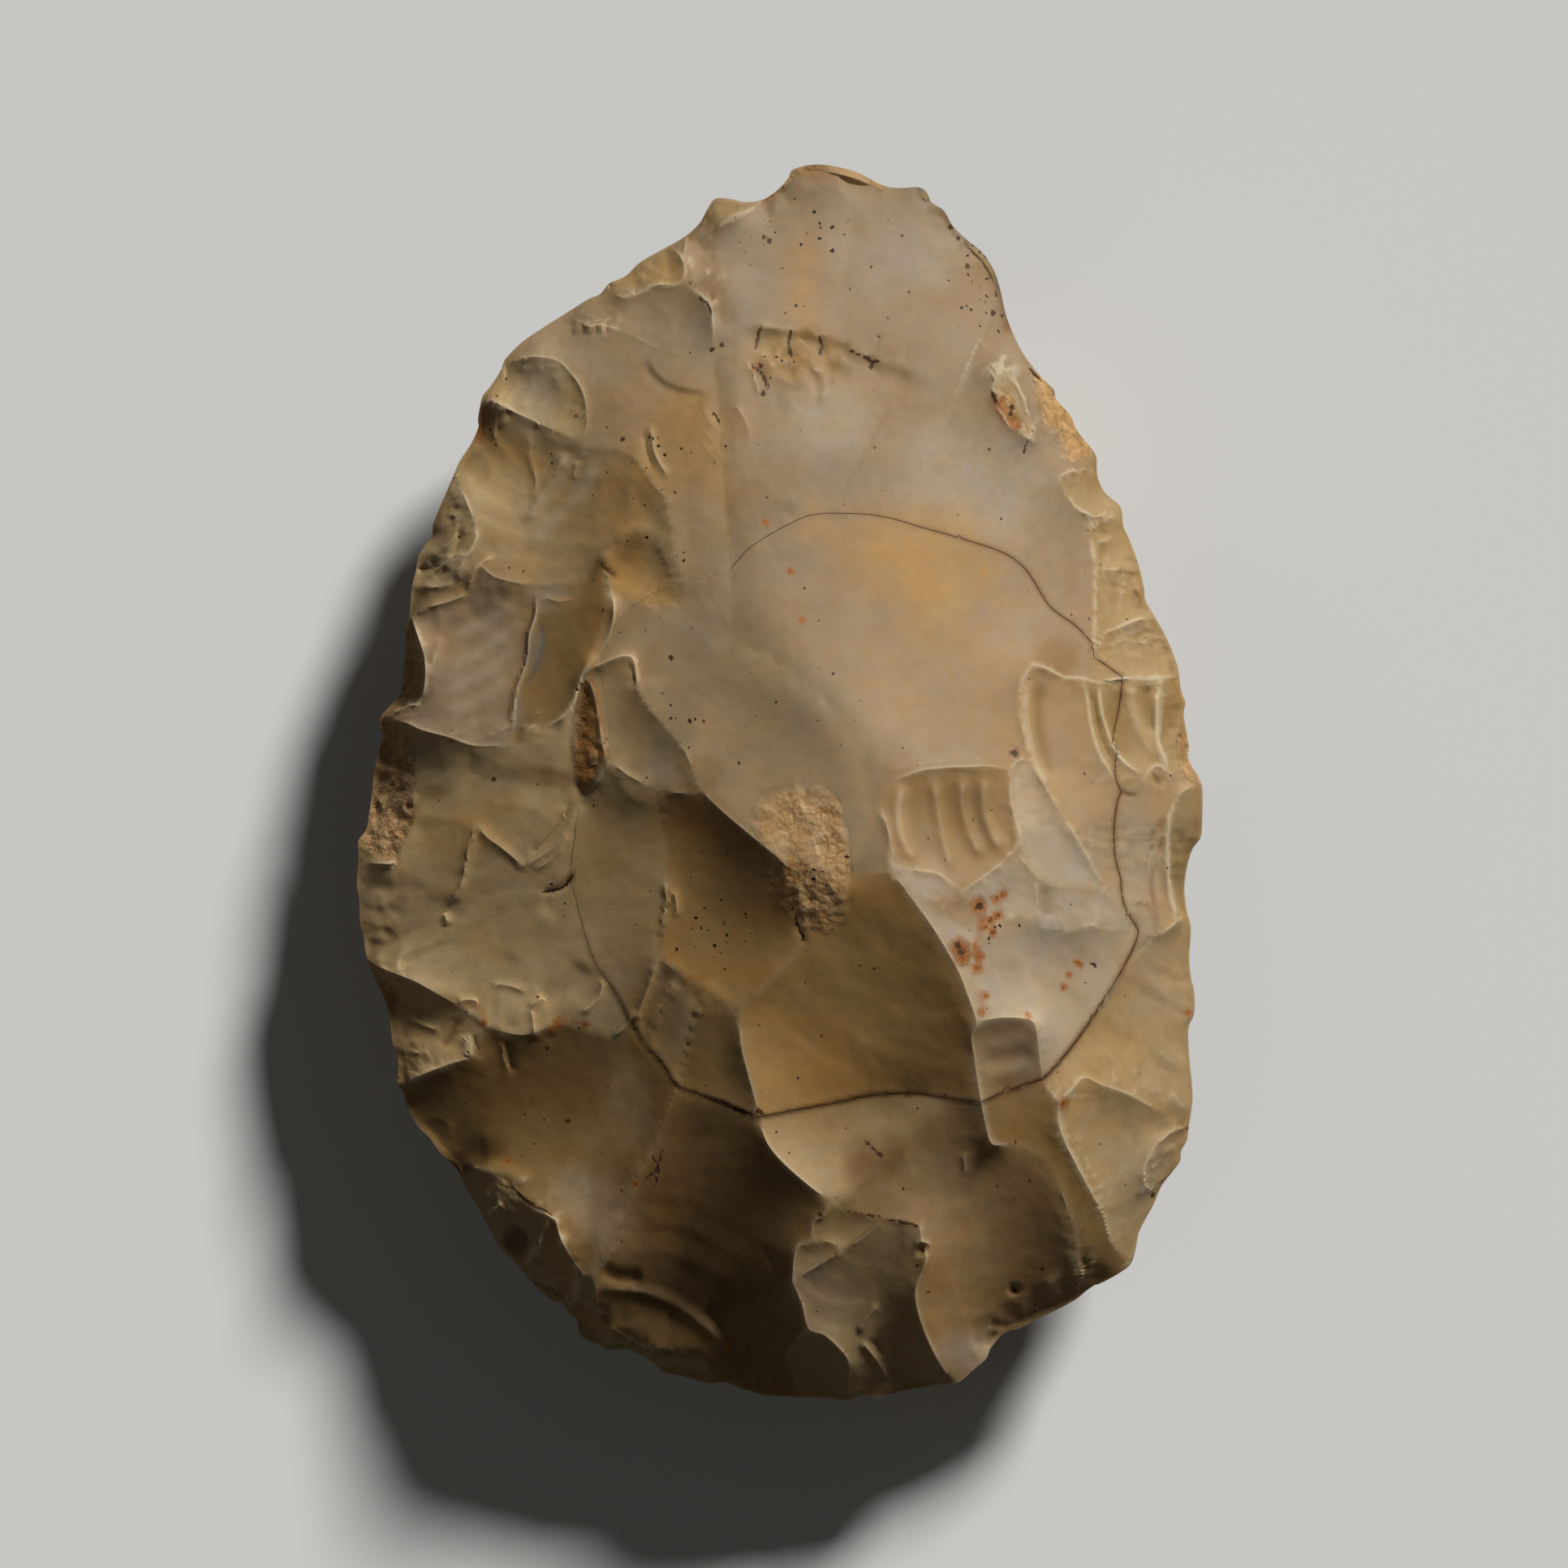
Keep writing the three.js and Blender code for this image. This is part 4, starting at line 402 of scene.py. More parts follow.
# Inclusions: the solid that holds each one, its material, its depth and its outline
INCLUSIONS = {
    "rind_left": ("flint_body", "rind", 2.2, [(430, 1046), (448, 1044), (466, 1059), (484, 1070),
        (495, 1062), (489, 1049), (497, 1033), (508, 1018), (511, 982), (509, 937), (502, 908),
        (484, 893), (460, 900), (430, 960)]),
    "rind_left_upper": ("flint_body", "rind", 1.2, [(484, 876), (500, 872), (519, 862), (523, 845),
        (524, 815), (512, 778), (500, 759), (486, 768), (480, 830), (468, 872)]),
    "rind_shoulder": ("flint_body", "rind", 2.2, [(1271, 462), (1278, 482), (1281, 510), (1284, 527),
        (1306, 527), (1300, 543), (1312, 555), (1306, 565), (1324, 571), (1331, 563), (1347, 559),
        (1362, 545), (1310, 462)]),
    "rind_notch": ("flint_body", "rind", 1.2, [(1223, 480), (1226, 500), (1233, 513), (1246, 530),
        (1262, 540), (1266, 532), (1254, 508), (1244, 488)]),
    "rind_right": ("flint_body", "rind", 1.5, [(1452, 905), (1449, 930), (1455, 948), (1468, 963),
        (1492, 962), (1482, 900)]),
    "rind_tip": ("flint_body", "rind", 1.0, [(936, 252), (950, 247), (966, 236), (976, 219), (996, 211),
        (1030, 212), (1054, 219), (1086, 236), (1090, 222), (1054, 196), (970, 190), (925, 240)]),
    "rind_lower_left": ("flint_body", "rind", 1.5, [(455, 1205), (471, 1206), (486, 1216), (488, 1236),
        (488, 1252), (462, 1262)]),
    "gash_filling": ("flint_body", "stain", 1.2, [(724, 838), (731, 860), (738, 925), (736, 950),
        (728, 970), (718, 970), (709, 952), (708, 925), (717, 862)]),
    "crystal_pocket": ("cracked_lens", "crystal", 2.5, [(923, 1010), (932, 990), (944, 974), (968, 968),
        (1000, 964), (1024, 974), (1036, 992), (1044, 1022), (1048, 1052), (1050, 1090), (1046, 1125),
        (1020, 1148), (992, 1140), (962, 1112), (944, 1076), (936, 1040)]),
    "iron_nodule_ridge": ("cracked_lens", "iron", 1.2, [(1168, 1162), (1182, 1156), (1194, 1163),
        (1192, 1178), (1186, 1190), (1174, 1182)]),
    "iron_nodule_band": ("cracked_lens", "iron", 1.0, [(1196, 1106), (1206, 1101), (1213, 1110),
        (1209, 1122), (1198, 1121)]),
    "iron_nodule_upper": ("cracked_lens", "iron", 1.0, [(1241, 922), (1250, 919), (1256, 927),
        (1251, 937), (1242, 934)]),
    "iron_nodule_fan": ("flint_body", "iron", 1.0, [(1303, 1346), (1311, 1346), (1314, 1356),
        (1311, 1368), (1303, 1366), (1300, 1356)]),
    "fossil_ring": ("flint_body", "fossil", 1.2, [(622, 1520), (634, 1509), (646, 1514), (653, 1527),
        (650, 1541), (640, 1549), (627, 1543), (619, 1532)]),
}

# From the drawing to millimetres


def place(points):
    """Drawn points, as rows of x, y and height in millimetres. A point with no height gets 0."""
    drawn = np.array([tuple(point) + (0,) * (3 - len(point)) for point in points], float)
    x = (drawn[:, 0] - MIDDLE_PX[0]) * WIDTH / (DRAWN_RIGHT - DRAWN_LEFT)
    y = (MIDDLE_PX[1] - drawn[:, 1]) * PX
    top = np.where(drawn[:, 2] < 0, EDGE_LEVEL, FACE_HEIGHT)
    z = np.sign(drawn[:, 2]) * top * (np.abs(drawn[:, 2]) / top) ** FULLNESS
    return np.stack([x, y, z], axis=1)


def smooth_line(points, closed=False, steps=8):
    """A curve through the points, with this many steps between each two."""
    count = len(points)
    spans = count if closed else count - 1
    here = np.arange(spans)
    start = points[here]
    end = points[(here + 1) % count]
    before = points[(here - 1) % count if closed else np.maximum(here - 1, 0)]
    after = points[(here + 2) % count if closed else np.minimum(here + 2, count - 1)]
    t = (np.arange(steps) / steps)[None, :, None]
    curve = 0.5 * (
        2 * start[:, None]
        + (end - before)[:, None] * t
        + (2 * before - 5 * start + 4 * end - after)[:, None] * t**2
        + (3 * start - before - 3 * end + after)[:, None] * t**3
    )
    curve = curve.reshape(-1, points.shape[1])
    return curve if closed else np.concatenate([curve, points[-1:]])


def evenly(curve, spacing):
    """The same curve with points a set distance apart."""
    lengths = np.concatenate([[0], np.cumsum(np.hypot(*np.diff(curve[:, :2], axis=0).T))])
    along = np.linspace(0, lengths[-1], max(2, int(lengths[-1] / spacing)))
    return np.stack([np.interp(along, lengths, column) for column in curve.T], axis=1)


rim_curve = smooth_line(place(OUTLINE), closed=True)
rim_angles = np.arctan2(rim_curve[:, 1], rim_curve[:, 0])
rim_order = np.argsort(rim_angles)


def outline_radius(angle):
    """Distance from the middle to the outline in one direction"""
    radii = np.hypot(rim_curve[:, 0], rim_curve[:, 1])[rim_order]
    return np.interp(angle, rim_angles[rim_order], radii, period=2 * math.pi)


even_angles = np.radians(np.arange(-180, 180))
even_radii = np.mean([outline_radius(even_angles + turn) for turn in np.radians(range(-12, 13, 2))], axis=0)


def edge_wave(x, y):
    """The cutting edge rises and falls as it goes round, and the faces follow it near the edge. How near
    is measured to an outline with its notches evened out."""
    angle = np.arctan2(y, x)
    reach = np.hypot(x, y) / np.interp(angle, even_angles, even_radii, period=2 * math.pi)
    nearness = np.clip((reach - 0.68) / 0.28, 0, 1)
    nearness = nearness**2 * (3 - 2 * nearness)
    return EDGE_WAVE * nearness * (0.7 * np.sin(5 * angle + 1) + 0.3 * np.sin(13 * angle + 2))


def noise(x, y, size, seed, octaves=3):
    """Smooth random relief between about -1 and 1, with lumps of this size in millimetres"""
    total = np.zeros_like(x)
    for octave in range(octaves):
        lattice = np.random.default_rng(GRAIN_SEED + seed * 10 + octave).uniform(-1, 1, (128, 128))
        u = x / size * 2**octave + 1000.3
        v = y / size * 2**octave + 1000.7
        column, row = np.floor(u).astype(int), np.floor(v).astype(int)
        fu, fv = u - column, v - row
        fu, fv = fu * fu * (3 - 2 * fu), fv * fv * (3 - 2 * fv)
        at = lambda dc, dr: lattice[(column + dc) % 128, (row + dr) % 128]
        low = at(0, 0) * (1 - fu) + at(1, 0) * fu
        high = at(0, 1) * (1 - fu) + at(1, 1) * fu
        total += (low * (1 - fv) + high * fv) / 2**octave
    return total


class Face:
    """One face of the stone: a grid of nodes, pressed from a square into the outline."""

    def __init__(self, columns, rows):
        self.shape = (columns, rows)
        u, v = np.meshgrid(np.linspace(-1, 1, columns), np.linspace(-1, 1, rows), indexing="ij")
        x = u * np.sqrt(1 - v * v / 2) * WIDTH / 2
        y = v * np.sqrt(1 - u * u / 2) * LENGTH / 2
        angle = np.arctan2(y, x)
        ellipse = 1 / np.hypot(np.cos(angle) * 2 / WIDTH, np.sin(angle) * 2 / LENGTH)
        radius = outline_radius(angle) * np.hypot(x, y) / ellipse
        self.x = (radius * np.cos(angle)).ravel()
        self.y = (radius * np.sin(angle)).ravel()
        self.z = np.zeros(columns * rows)
        self.start = np.stack([self.x, self.y], axis=1)
        border = np.zeros(self.shape, bool)
        border[[0, -1], :] = True
        border[:, [0, -1]] = True
        self.rim = border.ravel()
        self.held = self.rim.copy()         # the height is set
        self.pinned = self.rim.copy()       # the place across is set
        self.locked = np.zeros(columns * rows, bool)
        self.seam = np.zeros(columns * rows, bool)
        self.offset = np.full(columns * rows, np.inf)
        self.steps = set()                  # pairs of nodes that a ridge or seam runs between
        self.tree = self.search_tree(np.arange(columns * rows))
        self.rim_tree = self.search_tree(np.flatnonzero(self.rim))

    def search_tree(self, nodes):
        tree = KDTree(len(nodes))
        for node in nodes:
            tree.insert((*self.start[node], 0), int(node))
        tree.balance()
        return tree

    def nearest(self, point, on_rim=False):
        tree = self.rim_tree if on_rim else self.tree
        return tree.find((point[0], point[1], 0))[1]

    def hold(self, node, point, height=True):
        if not self.rim[node]:
            self.x[node], self.y[node] = point[:2]
            if height:
                self.z[node] = point[2]
        self.pinned[node] = True
        self.held[node] |= height

    def lock_ends(self, lines):
        for drawn in lines:
            for end, point in zip((drawn[0], drawn[-1]), place([drawn[0], drawn[-1]])):
                node = self.nearest(point, on_rim=end[2] == 0)
                if not self.locked[node]:
                    self.hold(node, point)
                self.locked[node] = True

    def trace(self, drawn, closed=False, height=True):
        """Holds the nodes nearest to a drawn line on it: their place across, and their height too."""
        points = place(drawn)
        curve = smooth_line(points, closed=closed)
        if closed:
            curve = np.concatenate([curve, curve[:1]])
        samples = evenly(curve, 0.1)
        nodes = [self.nearest(sample) for sample in samples]
        if height:
            nodes[0] = self.nearest(samples[0], on_rim=drawn[0][2] == 0)
            nodes[-1] = self.nearest(samples[-1], on_rim=drawn[-1][2] == 0)
        rows = self.shape[1]
        chain = [nodes[0]]
        for node in nodes[1:]:
            across, up = node // rows - chain[-1] // rows, node % rows - chain[-1] % rows
            gap = max(abs(across), abs(up))
            last = chain[-1]
            for k in range(1, gap + 1):
                chain.append(last + round(across * k / gap) * rows + round(up * k / gap))
        for k in range(len(chain) - 2, 0, -1):
            before, after = chain[k - 1], chain[k + 1]
            gap = max(abs(before // rows - after // rows), abs(before % rows - after % rows))
            if gap <= 1 and not self.locked[chain[k]]:
                chain.pop(k)
        for node in chain:
            away = np.hypot(*(samples[:, :2] - self.start[node]).T)
            nearest = int(np.argmin(away))
            free = not self.locked[node] and (height or not self.held[node])
            if free and away[nearest] < self.offset[node]:
                self.offset[node] = away[nearest]
                self.hold(node, samples[nearest], height)
        for pair in zip(chain[:-1], chain[1:]):
            self.steps.add((min(pair), max(pair)))
        if closed:
            self.seam[chain] = True
        return chain

    def even_out(self, rounds=12):
        """Moves the free nodes between the lines to the middle of their neighbours."""
        free = ~self.pinned.reshape(self.shape)[1:-1, 1:-1]
        for _ in range(rounds):
            for flat in (self.x, self.y):
                grid = flat.reshape(self.shape)
                mean = (grid[:-2, 1:-1] + grid[2:, 1:-1] + grid[1:-1, :-2] + grid[1:-1, 2:]) / 4
                grid[1:-1, 1:-1][free] = mean[free]

    def unfold(self):
        """Frees lines where squares of the grid would fold over, the fine lines first, and evens them out."""
        for kept in [self.held | self.seam] * 4 + [self.held] * 2 + [self.rim | self.locked] * 2:
            columns, rows = self.shape
            a = (np.arange(columns - 1)[:, None] * rows + np.arange(rows - 1)).ravel()
            b, c, d = a + rows, a + rows + 1, a + 1
            worst = np.minimum(
                np.minimum(self.double_area(a, b, c), self.double_area(a, c, d)),
                np.minimum(self.double_area(a, b, d), self.double_area(b, c, d)),
            )
            for corner in (a, b, c, d):
                bad = corner[worst < 0.004]
                self.pinned[bad] = kept[bad]
            self.even_out(4)

    def split(self):
        """Two triangles to each square, split along a line where one crosses it."""
        columns, rows = self.shape
        column, row = np.meshgrid(np.arange(columns - 1), np.arange(rows - 1), indexing="ij")
        a = (column * rows + row).ravel()
        b, c, d = a + rows, a + rows + 1, a + 1
        thin = lambda *corners: np.minimum(*(self.double_area(*three) for three in corners))
        along_ac = thin((a, b, c), (a, c, d)) >= thin((a, b, d), (b, c, d))
        size = columns * rows
        lines = np.array([low * size + high for low, high in self.steps])
        along_ac |= np.isin(a * size + c, lines)
        along_ac &= ~np.isin(np.minimum(b, d) * size + np.maximum(b, d), lines)
        other = ~along_ac
        self.triangles = np.concatenate([
            np.stack([a, b, c], axis=1)[along_ac],
            np.stack([a, c, d], axis=1)[along_ac],
            np.stack([a, b, d], axis=1)[other],
            np.stack([b, c, d], axis=1)[other],
        ])

    def double_area(self, a, b, c):
        x, y = self.x, self.y
        return (x[b] - x[a]) * (y[c] - y[a]) - (x[c] - x[a]) * (y[b] - y[a])

    def find_scars(self):
        """Numbers the stretches of free nodes that ridges close off. A held node has -1."""
        rows = self.shape[1]
        self.scar = np.full(len(self.x), -1)
        count = 0
        for seed in np.flatnonzero(~self.held):
            if self.scar[seed] >= 0:
                continue
            waiting = [int(seed)]
            self.scar[seed] = count
            while waiting:
                node = waiting.pop()
                for other in (node - 1, node + 1, node - rows, node + rows):
                    if not self.held[other] and self.scar[other] < 0:
                        self.scar[other] = count
                        waiting.append(other)
            count += 1
        return count

    def settle(self, hollows, side):
        """Hangs a surface between the ridges, drawn in by each scar's own pull."""
        t = self.triangles
        area = np.maximum(self.double_area(*t.T) / 2, 1e-4)
        share = sum(np.bincount(t[:, k], area / 3, len(self.x)) for k in range(3))
        start, end, weight = [], [], []
        for k in range(3):
            corner, one, two = t[:, k], t[:, (k + 1) % 3], t[:, (k + 2) % 3]
            dot = (self.x[one] - self.x[corner]) * (self.x[two] - self.x[corner])
            dot += (self.y[one] - self.y[corner]) * (self.y[two] - self.y[corner])
            start.append(one)
            end.append(two)
            weight.append(np.clip(dot / (4 * area), 0.01, 4))
        start, end, weight = np.concatenate(start), np.concatenate(end), np.concatenate(weight)

        count = self.find_scars()
        inside = self.scar >= 0
        scar_area = np.bincount(self.scar[inside], share[inside], count)
        sag = HOLLOW_SHARE * np.sqrt(scar_area)
        for at in hollows.values():
            point = place([at[:2]])[0]
            away = np.hypot(self.x - point[0], self.y - point[1])
            away[~inside] = np.inf
            sag[self.scar[np.argmin(away)]] = at[2]
        pull = np.zeros(len(self.x))
        pull[inside] = (4 * math.pi * sag / scar_area)[self.scar[inside]]

        total = np.bincount(start, weight, len(self.x)) + np.bincount(end, weight, len(self.x))

        def tension(z):
            drawn = np.bincount(start, weight * z[end], len(z))
            drawn += np.bincount(end, weight * z[start], len(z))
            return np.where(self.held, 0, total * z - drawn)

        held = np.where(self.held, self.z, 0)
        free = ~self.held
        left = np.where(free, -side * share * pull - tension(held), 0)
        found = np.zeros(len(self.x))
        guess = left / total
        along = guess.copy()
        strength = left @ guess
        for _ in range(2500):
            push = tension(along)
            stride = strength / (along @ push)
            found += stride * along
            left -= stride * push
            if np.abs(left).max() < 1e-5:
                break
            guess = left / total
            last, strength = strength, left @ guess
            along = guess + strength / last * along
        self.z[free] = found[free]

    # Fine relief

    def measure_inset(self):
        """Distance of each node from the cutting edge, and how far in the relief has its full height"""
        angle = np.arctan2(self.y, self.x)
        self.inset = np.maximum(outline_radius(angle) - np.hypot(self.x, self.y), 0)
        self.inset[self.rim] = 0
        self.ramp = np.clip(self.inset / 0.8, 0, 1)

    def beside(self, drawn, reach):
        """The nodes within reach of a drawn line: which, how far off, on which side and how far along"""
        samples = evenly(smooth_line(place(drawn)), max(0.15, reach / 20))[:, :2]
        away = np.full(len(self.x), reach)
        nearest = np.zeros(len(self.x), int)
        for first in range(0, len(samples), 40):
            part = samples[first:first + 40]
            low, high = part.min(axis=0) - reach, part.max(axis=0) + reach
            box = (self.x > low[0]) & (self.x < high[0]) & (self.y > low[1]) & (self.y < high[1])
            near = np.flatnonzero(box)
            gaps = np.hypot(self.x[near, None] - part[:, 0], self.y[near, None] - part[:, 1])
            closest = np.argmin(gaps, axis=1)
            gap = gaps[np.arange(len(near)), closest]
            closer = gap < away[near]
            away[near[closer]] = gap[closer]
            nearest[near[closer]] = first + closest[closer]
        near = np.flatnonzero(away < reach)
        nearest = nearest[near]
        heading = np.gradient(samples, axis=0)[nearest]
        spacing = np.hypot(*heading.T)
        heading /= spacing[:, None]
        dx, dy = self.x[near] - samples[nearest, 0], self.y[near] - samples[nearest, 1]
        left = heading[:, 0] * dy - heading[:, 1] * dx
        ahead = heading[:, 0] * dx + heading[:, 1] * dy
        away = np.hypot(left, np.maximum(np.abs(ahead) - 0.6 * spacing, 0))
        last = len(samples) - 1
        along = np.clip(nearest + np.clip(ahead / spacing, -0.5, 0.5), 0, last) / last
        return near, away, left > 0, along

    def rib(self, height, width, *lines):
        """Ribs along drawn lines, or grooves where the height is below zero. Narrow ones are sharp."""
        for drawn in lines:
            near, away, _, along = self.beside(drawn, 2.5 * width)
            sharp = np.clip(1 - away / (2 * width), 0, 1) ** 2
            shape = sharp if width < 0.8 else np.exp(-((away / width) ** 2))
            self.z[near] += height * shape * taper(along) * self.ramp[near]

    def step(self, height, reach, *lines, soft=0.1):
        """Steps down on the right of drawn lines, which fade out over their reach"""
        for drawn in lines:
            near, away, left, along = self.beside(drawn, 3 * reach)
            edge = 1 - np.exp(-((away / soft) ** 2))
            drop = height * edge * np.exp(-away / reach) * taper(along) * self.ramp[near]
            self.z[near] -= np.where(left, 0, drop)

    def soften(self, width, rounds, *lines):
        """Rounds off the surface along drawn lines."""
        smooth = self.blurred(self.z, rounds)
        for drawn in lines:
            near, away, _, _ = self.beside(drawn, 2.5 * width)
            share = np.exp(-((away / width) ** 2)) * self.ramp[near]
            self.z[near] += share * (smooth[near] - self.z[near])

    def crumble(self, height, width, *lines):
        """Broken, crumbly edges along drawn lines"""
        for drawn in lines:
            near, away, _, along = self.beside(drawn, 2.5 * width)
            share = np.exp(-((away / width) ** 2)) * taper(along) * self.ramp[near]
            self.z[near] += height * share * noise(self.x[near], self.y[near], 1.6, 5, 2)

    def ripples(self, scar, centre, spacing, height, near=0, far=200, fade=1.0):
        """Waves in a scar, round the place where the blow fell"""
        inside = self.in_scar(scar)
        middle = place([centre])[0]
        distance = np.hypot(self.x - middle[0], self.y - middle[1]) + 0.5 * self.waver
        turn = 2 * math.pi * distance / spacing
        wave = np.sin(turn + 0.5 * np.sin(turn))
        window = np.clip((distance - near) / fade, 0, 1) * np.clip((far - distance) / fade, 0, 1)
        self.z += height * wave * window * inside * self.ramp

    def in_scar(self, drawn):
        """1 inside the scar at a drawn place and 0 outside it, with a soft border"""
        point = place([drawn])[0]
        away = np.hypot(self.x - point[0], self.y - point[1])
        away[self.scar < 0] = np.inf
        inside = (self.scar == self.scar[np.argmin(away)]).astype(float)
        return self.blurred(inside, 2) * inside

    def blurred(self, values, rounds):
        grid = values.reshape(self.shape).copy()
        for _ in range(rounds):
            wide = np.pad(grid, 1, mode="edge")
            grid = (grid * 2 + wide[:-2, 1:-1] + wide[2:, 1:-1] + wide[1:-1, :-2] + wide[1:-1, 2:]) / 6
        return grid.ravel()

    def pits(self, depth, radius, *spots):
        """Small round holes"""
        for spot in place(spots):
            away = np.hypot(self.x - spot[0], self.y - spot[1])
            self.z -= depth * np.exp(-((away / radius) ** 4)) * self.ramp

    def chip(self, depth, radii, turn, centre):
        """A small flake scar with a crisp border, cut into what is there"""
        middle = place([centre])[0]
        dx, dy = self.x - middle[0], self.y - middle[1]
        cos, sin = math.cos(math.radians(turn)), math.sin(math.radians(turn))
        across = np.hypot((dx * cos + dy * sin) / radii[0], (dy * cos - dx * sin) / radii[1])
        self.z -= depth * np.clip(1 - across**2, 0, None) * self.ramp

    def trim_edge(self, count, largest, depth, seed):
        """Small scars all round the cutting edge, from trimming and wear"""
        chance = np.random.default_rng(GRAIN_SEED + seed)
        cut = np.zeros(len(self.x))
        stretches = evenly(rim_curve, 0.5)
        for _ in range(count):
            spot = stretches[chance.integers(len(stretches))]
            radius = largest * chance.uniform(0.25, 1) ** 2
            middle = spot[:2] * (1 - radius * chance.uniform(0.1, 0.5) / np.hypot(*spot[:2]))
            away = np.hypot(self.x - middle[0], self.y - middle[1]) / radius
            cut = np.maximum(cut, depth * radius / largest * np.clip(1 - away**2, 0, None))
        self.z -= cut * self.ramp

    def roughen(self, outline, height, size, seed):
        """Coarse broken texture inside an outline"""
        loop = place(outline)[:, :2]
        inner = self.blurred(inside(loop, self.x, self.y).astype(float), 2)
        rough = noise(self.x, self.y, size, seed) + 0.5 * noise(self.x, self.y, size / 2, seed + 1)
        self.z += height * rough * inner * self.ramp

    # Colour

    def start_colours(self, colour):
        self.tint = np.tile(linear(colour), (len(self.x), 1))
        self.dark = np.zeros(len(self.x))       # above 0.5 inside a dark mark
        self.rusty = np.zeros(len(self.x))      # above 0.5 inside a rusty mark
        self.flecked = np.zeros(len(self.x))    # share of the places for small flecks that have one
        self.grown = np.zeros(len(self.x))      # 0 at the border of an inclusion, 1 well inside it

    def dot(self, marks, radius, *places):
        """Small ragged marks. Each is a cone, so that the border is crisp between two nodes too."""
        for spot in place(places):
            away = np.hypot(self.x - spot[0], self.y - spot[1])
            np.maximum(marks, 1 - away / (2 * radius), out=marks)

    def line(self, marks, radius, *lines):
        """Thin ragged marks along drawn lines"""
        for drawn in lines:
            near, away, _, along = self.beside(drawn, 2 * radius)
            thin = radius * (0.35 + 0.65 * taper(along))
            marks[near] = np.maximum(marks[near], 1 - away / (2 * thin))

    def tint_scar(self, colour, *places):
        """Colours whole scars, with soft borders"""
        for drawn in places:
            point = place([drawn])[0]
            away = np.hypot(self.x - point[0], self.y - point[1])
            away[self.scar < 0] = np.inf
            weight = self.blurred((self.scar == self.scar[np.argmin(away)]).astype(float), 3)
            self.mix(colour, weight)

    def mix(self, colour, weight):
        self.tint += np.clip(weight, 0, 1)[:, None] * (linear(colour) - self.tint)

    def patch(self, colour, strength, centre, radii, turn=0):
        """A cloud of colour with an uneven border"""
        self.mix(colour, strength * self.cloud(centre, radii, turn))

    def cloud(self, centre, radii, turn=0):
        middle = place([centre])[0]
        dx, dy = self.x - middle[0], self.y - middle[1]
        cos, sin = math.cos(math.radians(turn)), math.sin(math.radians(turn))
        across = np.hypot((dx * cos + dy * sin) / radii[0], (dy * cos - dx * sin) / radii[1])
        weight = np.clip(1.25 - across + 0.3 * self.waver, 0, 1)
        return weight**2 * (3 - 2 * weight)

    def streak(self, colour, strength, width, *lines):
        """Stains along drawn lines"""
        for drawn in lines:
            near, away, _, along = self.beside(drawn, 2.5 * width)
            weight = np.zeros(len(self.x))
            weight[near] = strength * np.exp(-((away / width) ** 2)) * taper(along)
            self.mix(colour, weight)

    def find_hollows(self):
        """How much lower each node lies than the surface round it: below zero on ridges"""
        fine = self.blurred(self.z, 4) - self.z
        broad = self.blurred(self.z, 90) - self.z
        self.hollow = np.clip(fine / 0.12, -1, 1) * 0.6 + np.clip(broad / 1.2, -1, 1) * 0.4
        self.hollow[self.rim] = -0.3


def taper(along):
    """Fades a drawn line in and out at its ends."""
    ends = np.clip(np.minimum(along, 1 - along) / 0.2, 0, 1)
    return ends * ends * (3 - 2 * ends)


def inside(loop, x, y):
    """Which points lie inside a closed line"""
    odd = np.zeros(len(x), bool)
    box = (x > loop[:, 0].min()) & (x < loop[:, 0].max()) & (y > loop[:, 1].min()) & (y < loop[:, 1].max())
    px, py = x[box], y[box]
    found = np.zeros(len(px), bool)
    for (ax, ay), (bx, by) in zip(loop, np.roll(loop, -1, axis=0)):
        if ay != by:
            found ^= ((ay > py) != (by > py)) & (px < (bx - ax) * (py - ay) / (by - ay) + ax)
    odd[box] = found
    return odd


def linear(colour):
    """An sRGB hex colour as linear red, green and blue"""
    parts = np.array([int(colour[k:k + 2], 16) / 255 for k in (1, 3, 5)])
    return np.where(parts <= 0.04045, parts / 12.92, ((parts + 0.055) / 1.055) ** 2.4)


# Colours of the patinated surface, as it is in even light, but for two: the shaded brown is painted shade,
# and the pale crest colour is partly wear and partly painted highlight
CREAM = "#b89d7a"
OLD_CREAM = "#a68e6f"
LIGHT_BUFF = "#c8ad80"
PALE = "#c3b097"
# Painted shade: a darker, browner copy of the patina for scars that lie in shade
SHADED_BROWN = "#97794b"
BUFF = "#b4996f"
HONEY = "#bb955d"
DEEP_HONEY = "#b18b51"
GREY_WHITE = "#b9a890"
WARM_BROWN = "#b09065"
GREY_BROWN = "#a88e6a"
GREY_BLUE = "#918978"
OLIVE = "#8e7a4c"
RUST = "#6a3218"
ORANGE = "#ad6a2c"
BROWN = "#7a5026"
DARK_BROWN = "#412a14"
# Pale crest colour: partly wear, partly painted highlight on ridges that catch the light
WEAR_AND_HIGHLIGHT = "#ddcdac"


# Lines of the fine relief. Nodes are placed on all of them but the plateau step and the shelf pits, so that
# they have a crisp edge
PLATEAU_STEP = [(890, 396), (900, 400), (940, 401), (990, 407), (1038, 421), (1072, 438), (1120, 455),
    (1155, 480)]
SHELF_PITS = [[(938, 402), (934, 416), (932, 434)], [(953, 405), (950, 422), (956, 436)], [(975, 408),
    (972, 426), (978, 446)], [(991, 405), (993, 416), (988, 424)], [(1009, 414), (1012, 428),
    (1008, 442)], [(1038, 424), (1041, 434), (1036, 441)], [(1066, 440), (1074, 450), (1070, 458)],
    [(962, 448), (972, 456), (983, 462)], [(925, 452), (938, 462), (948, 482)], [(1020, 452), (1034, 458),
    (1040, 470)]]
FLAP_EDGE = [(788, 851), (785, 830), (782, 814), (772, 808), (758, 812), (727, 828)]
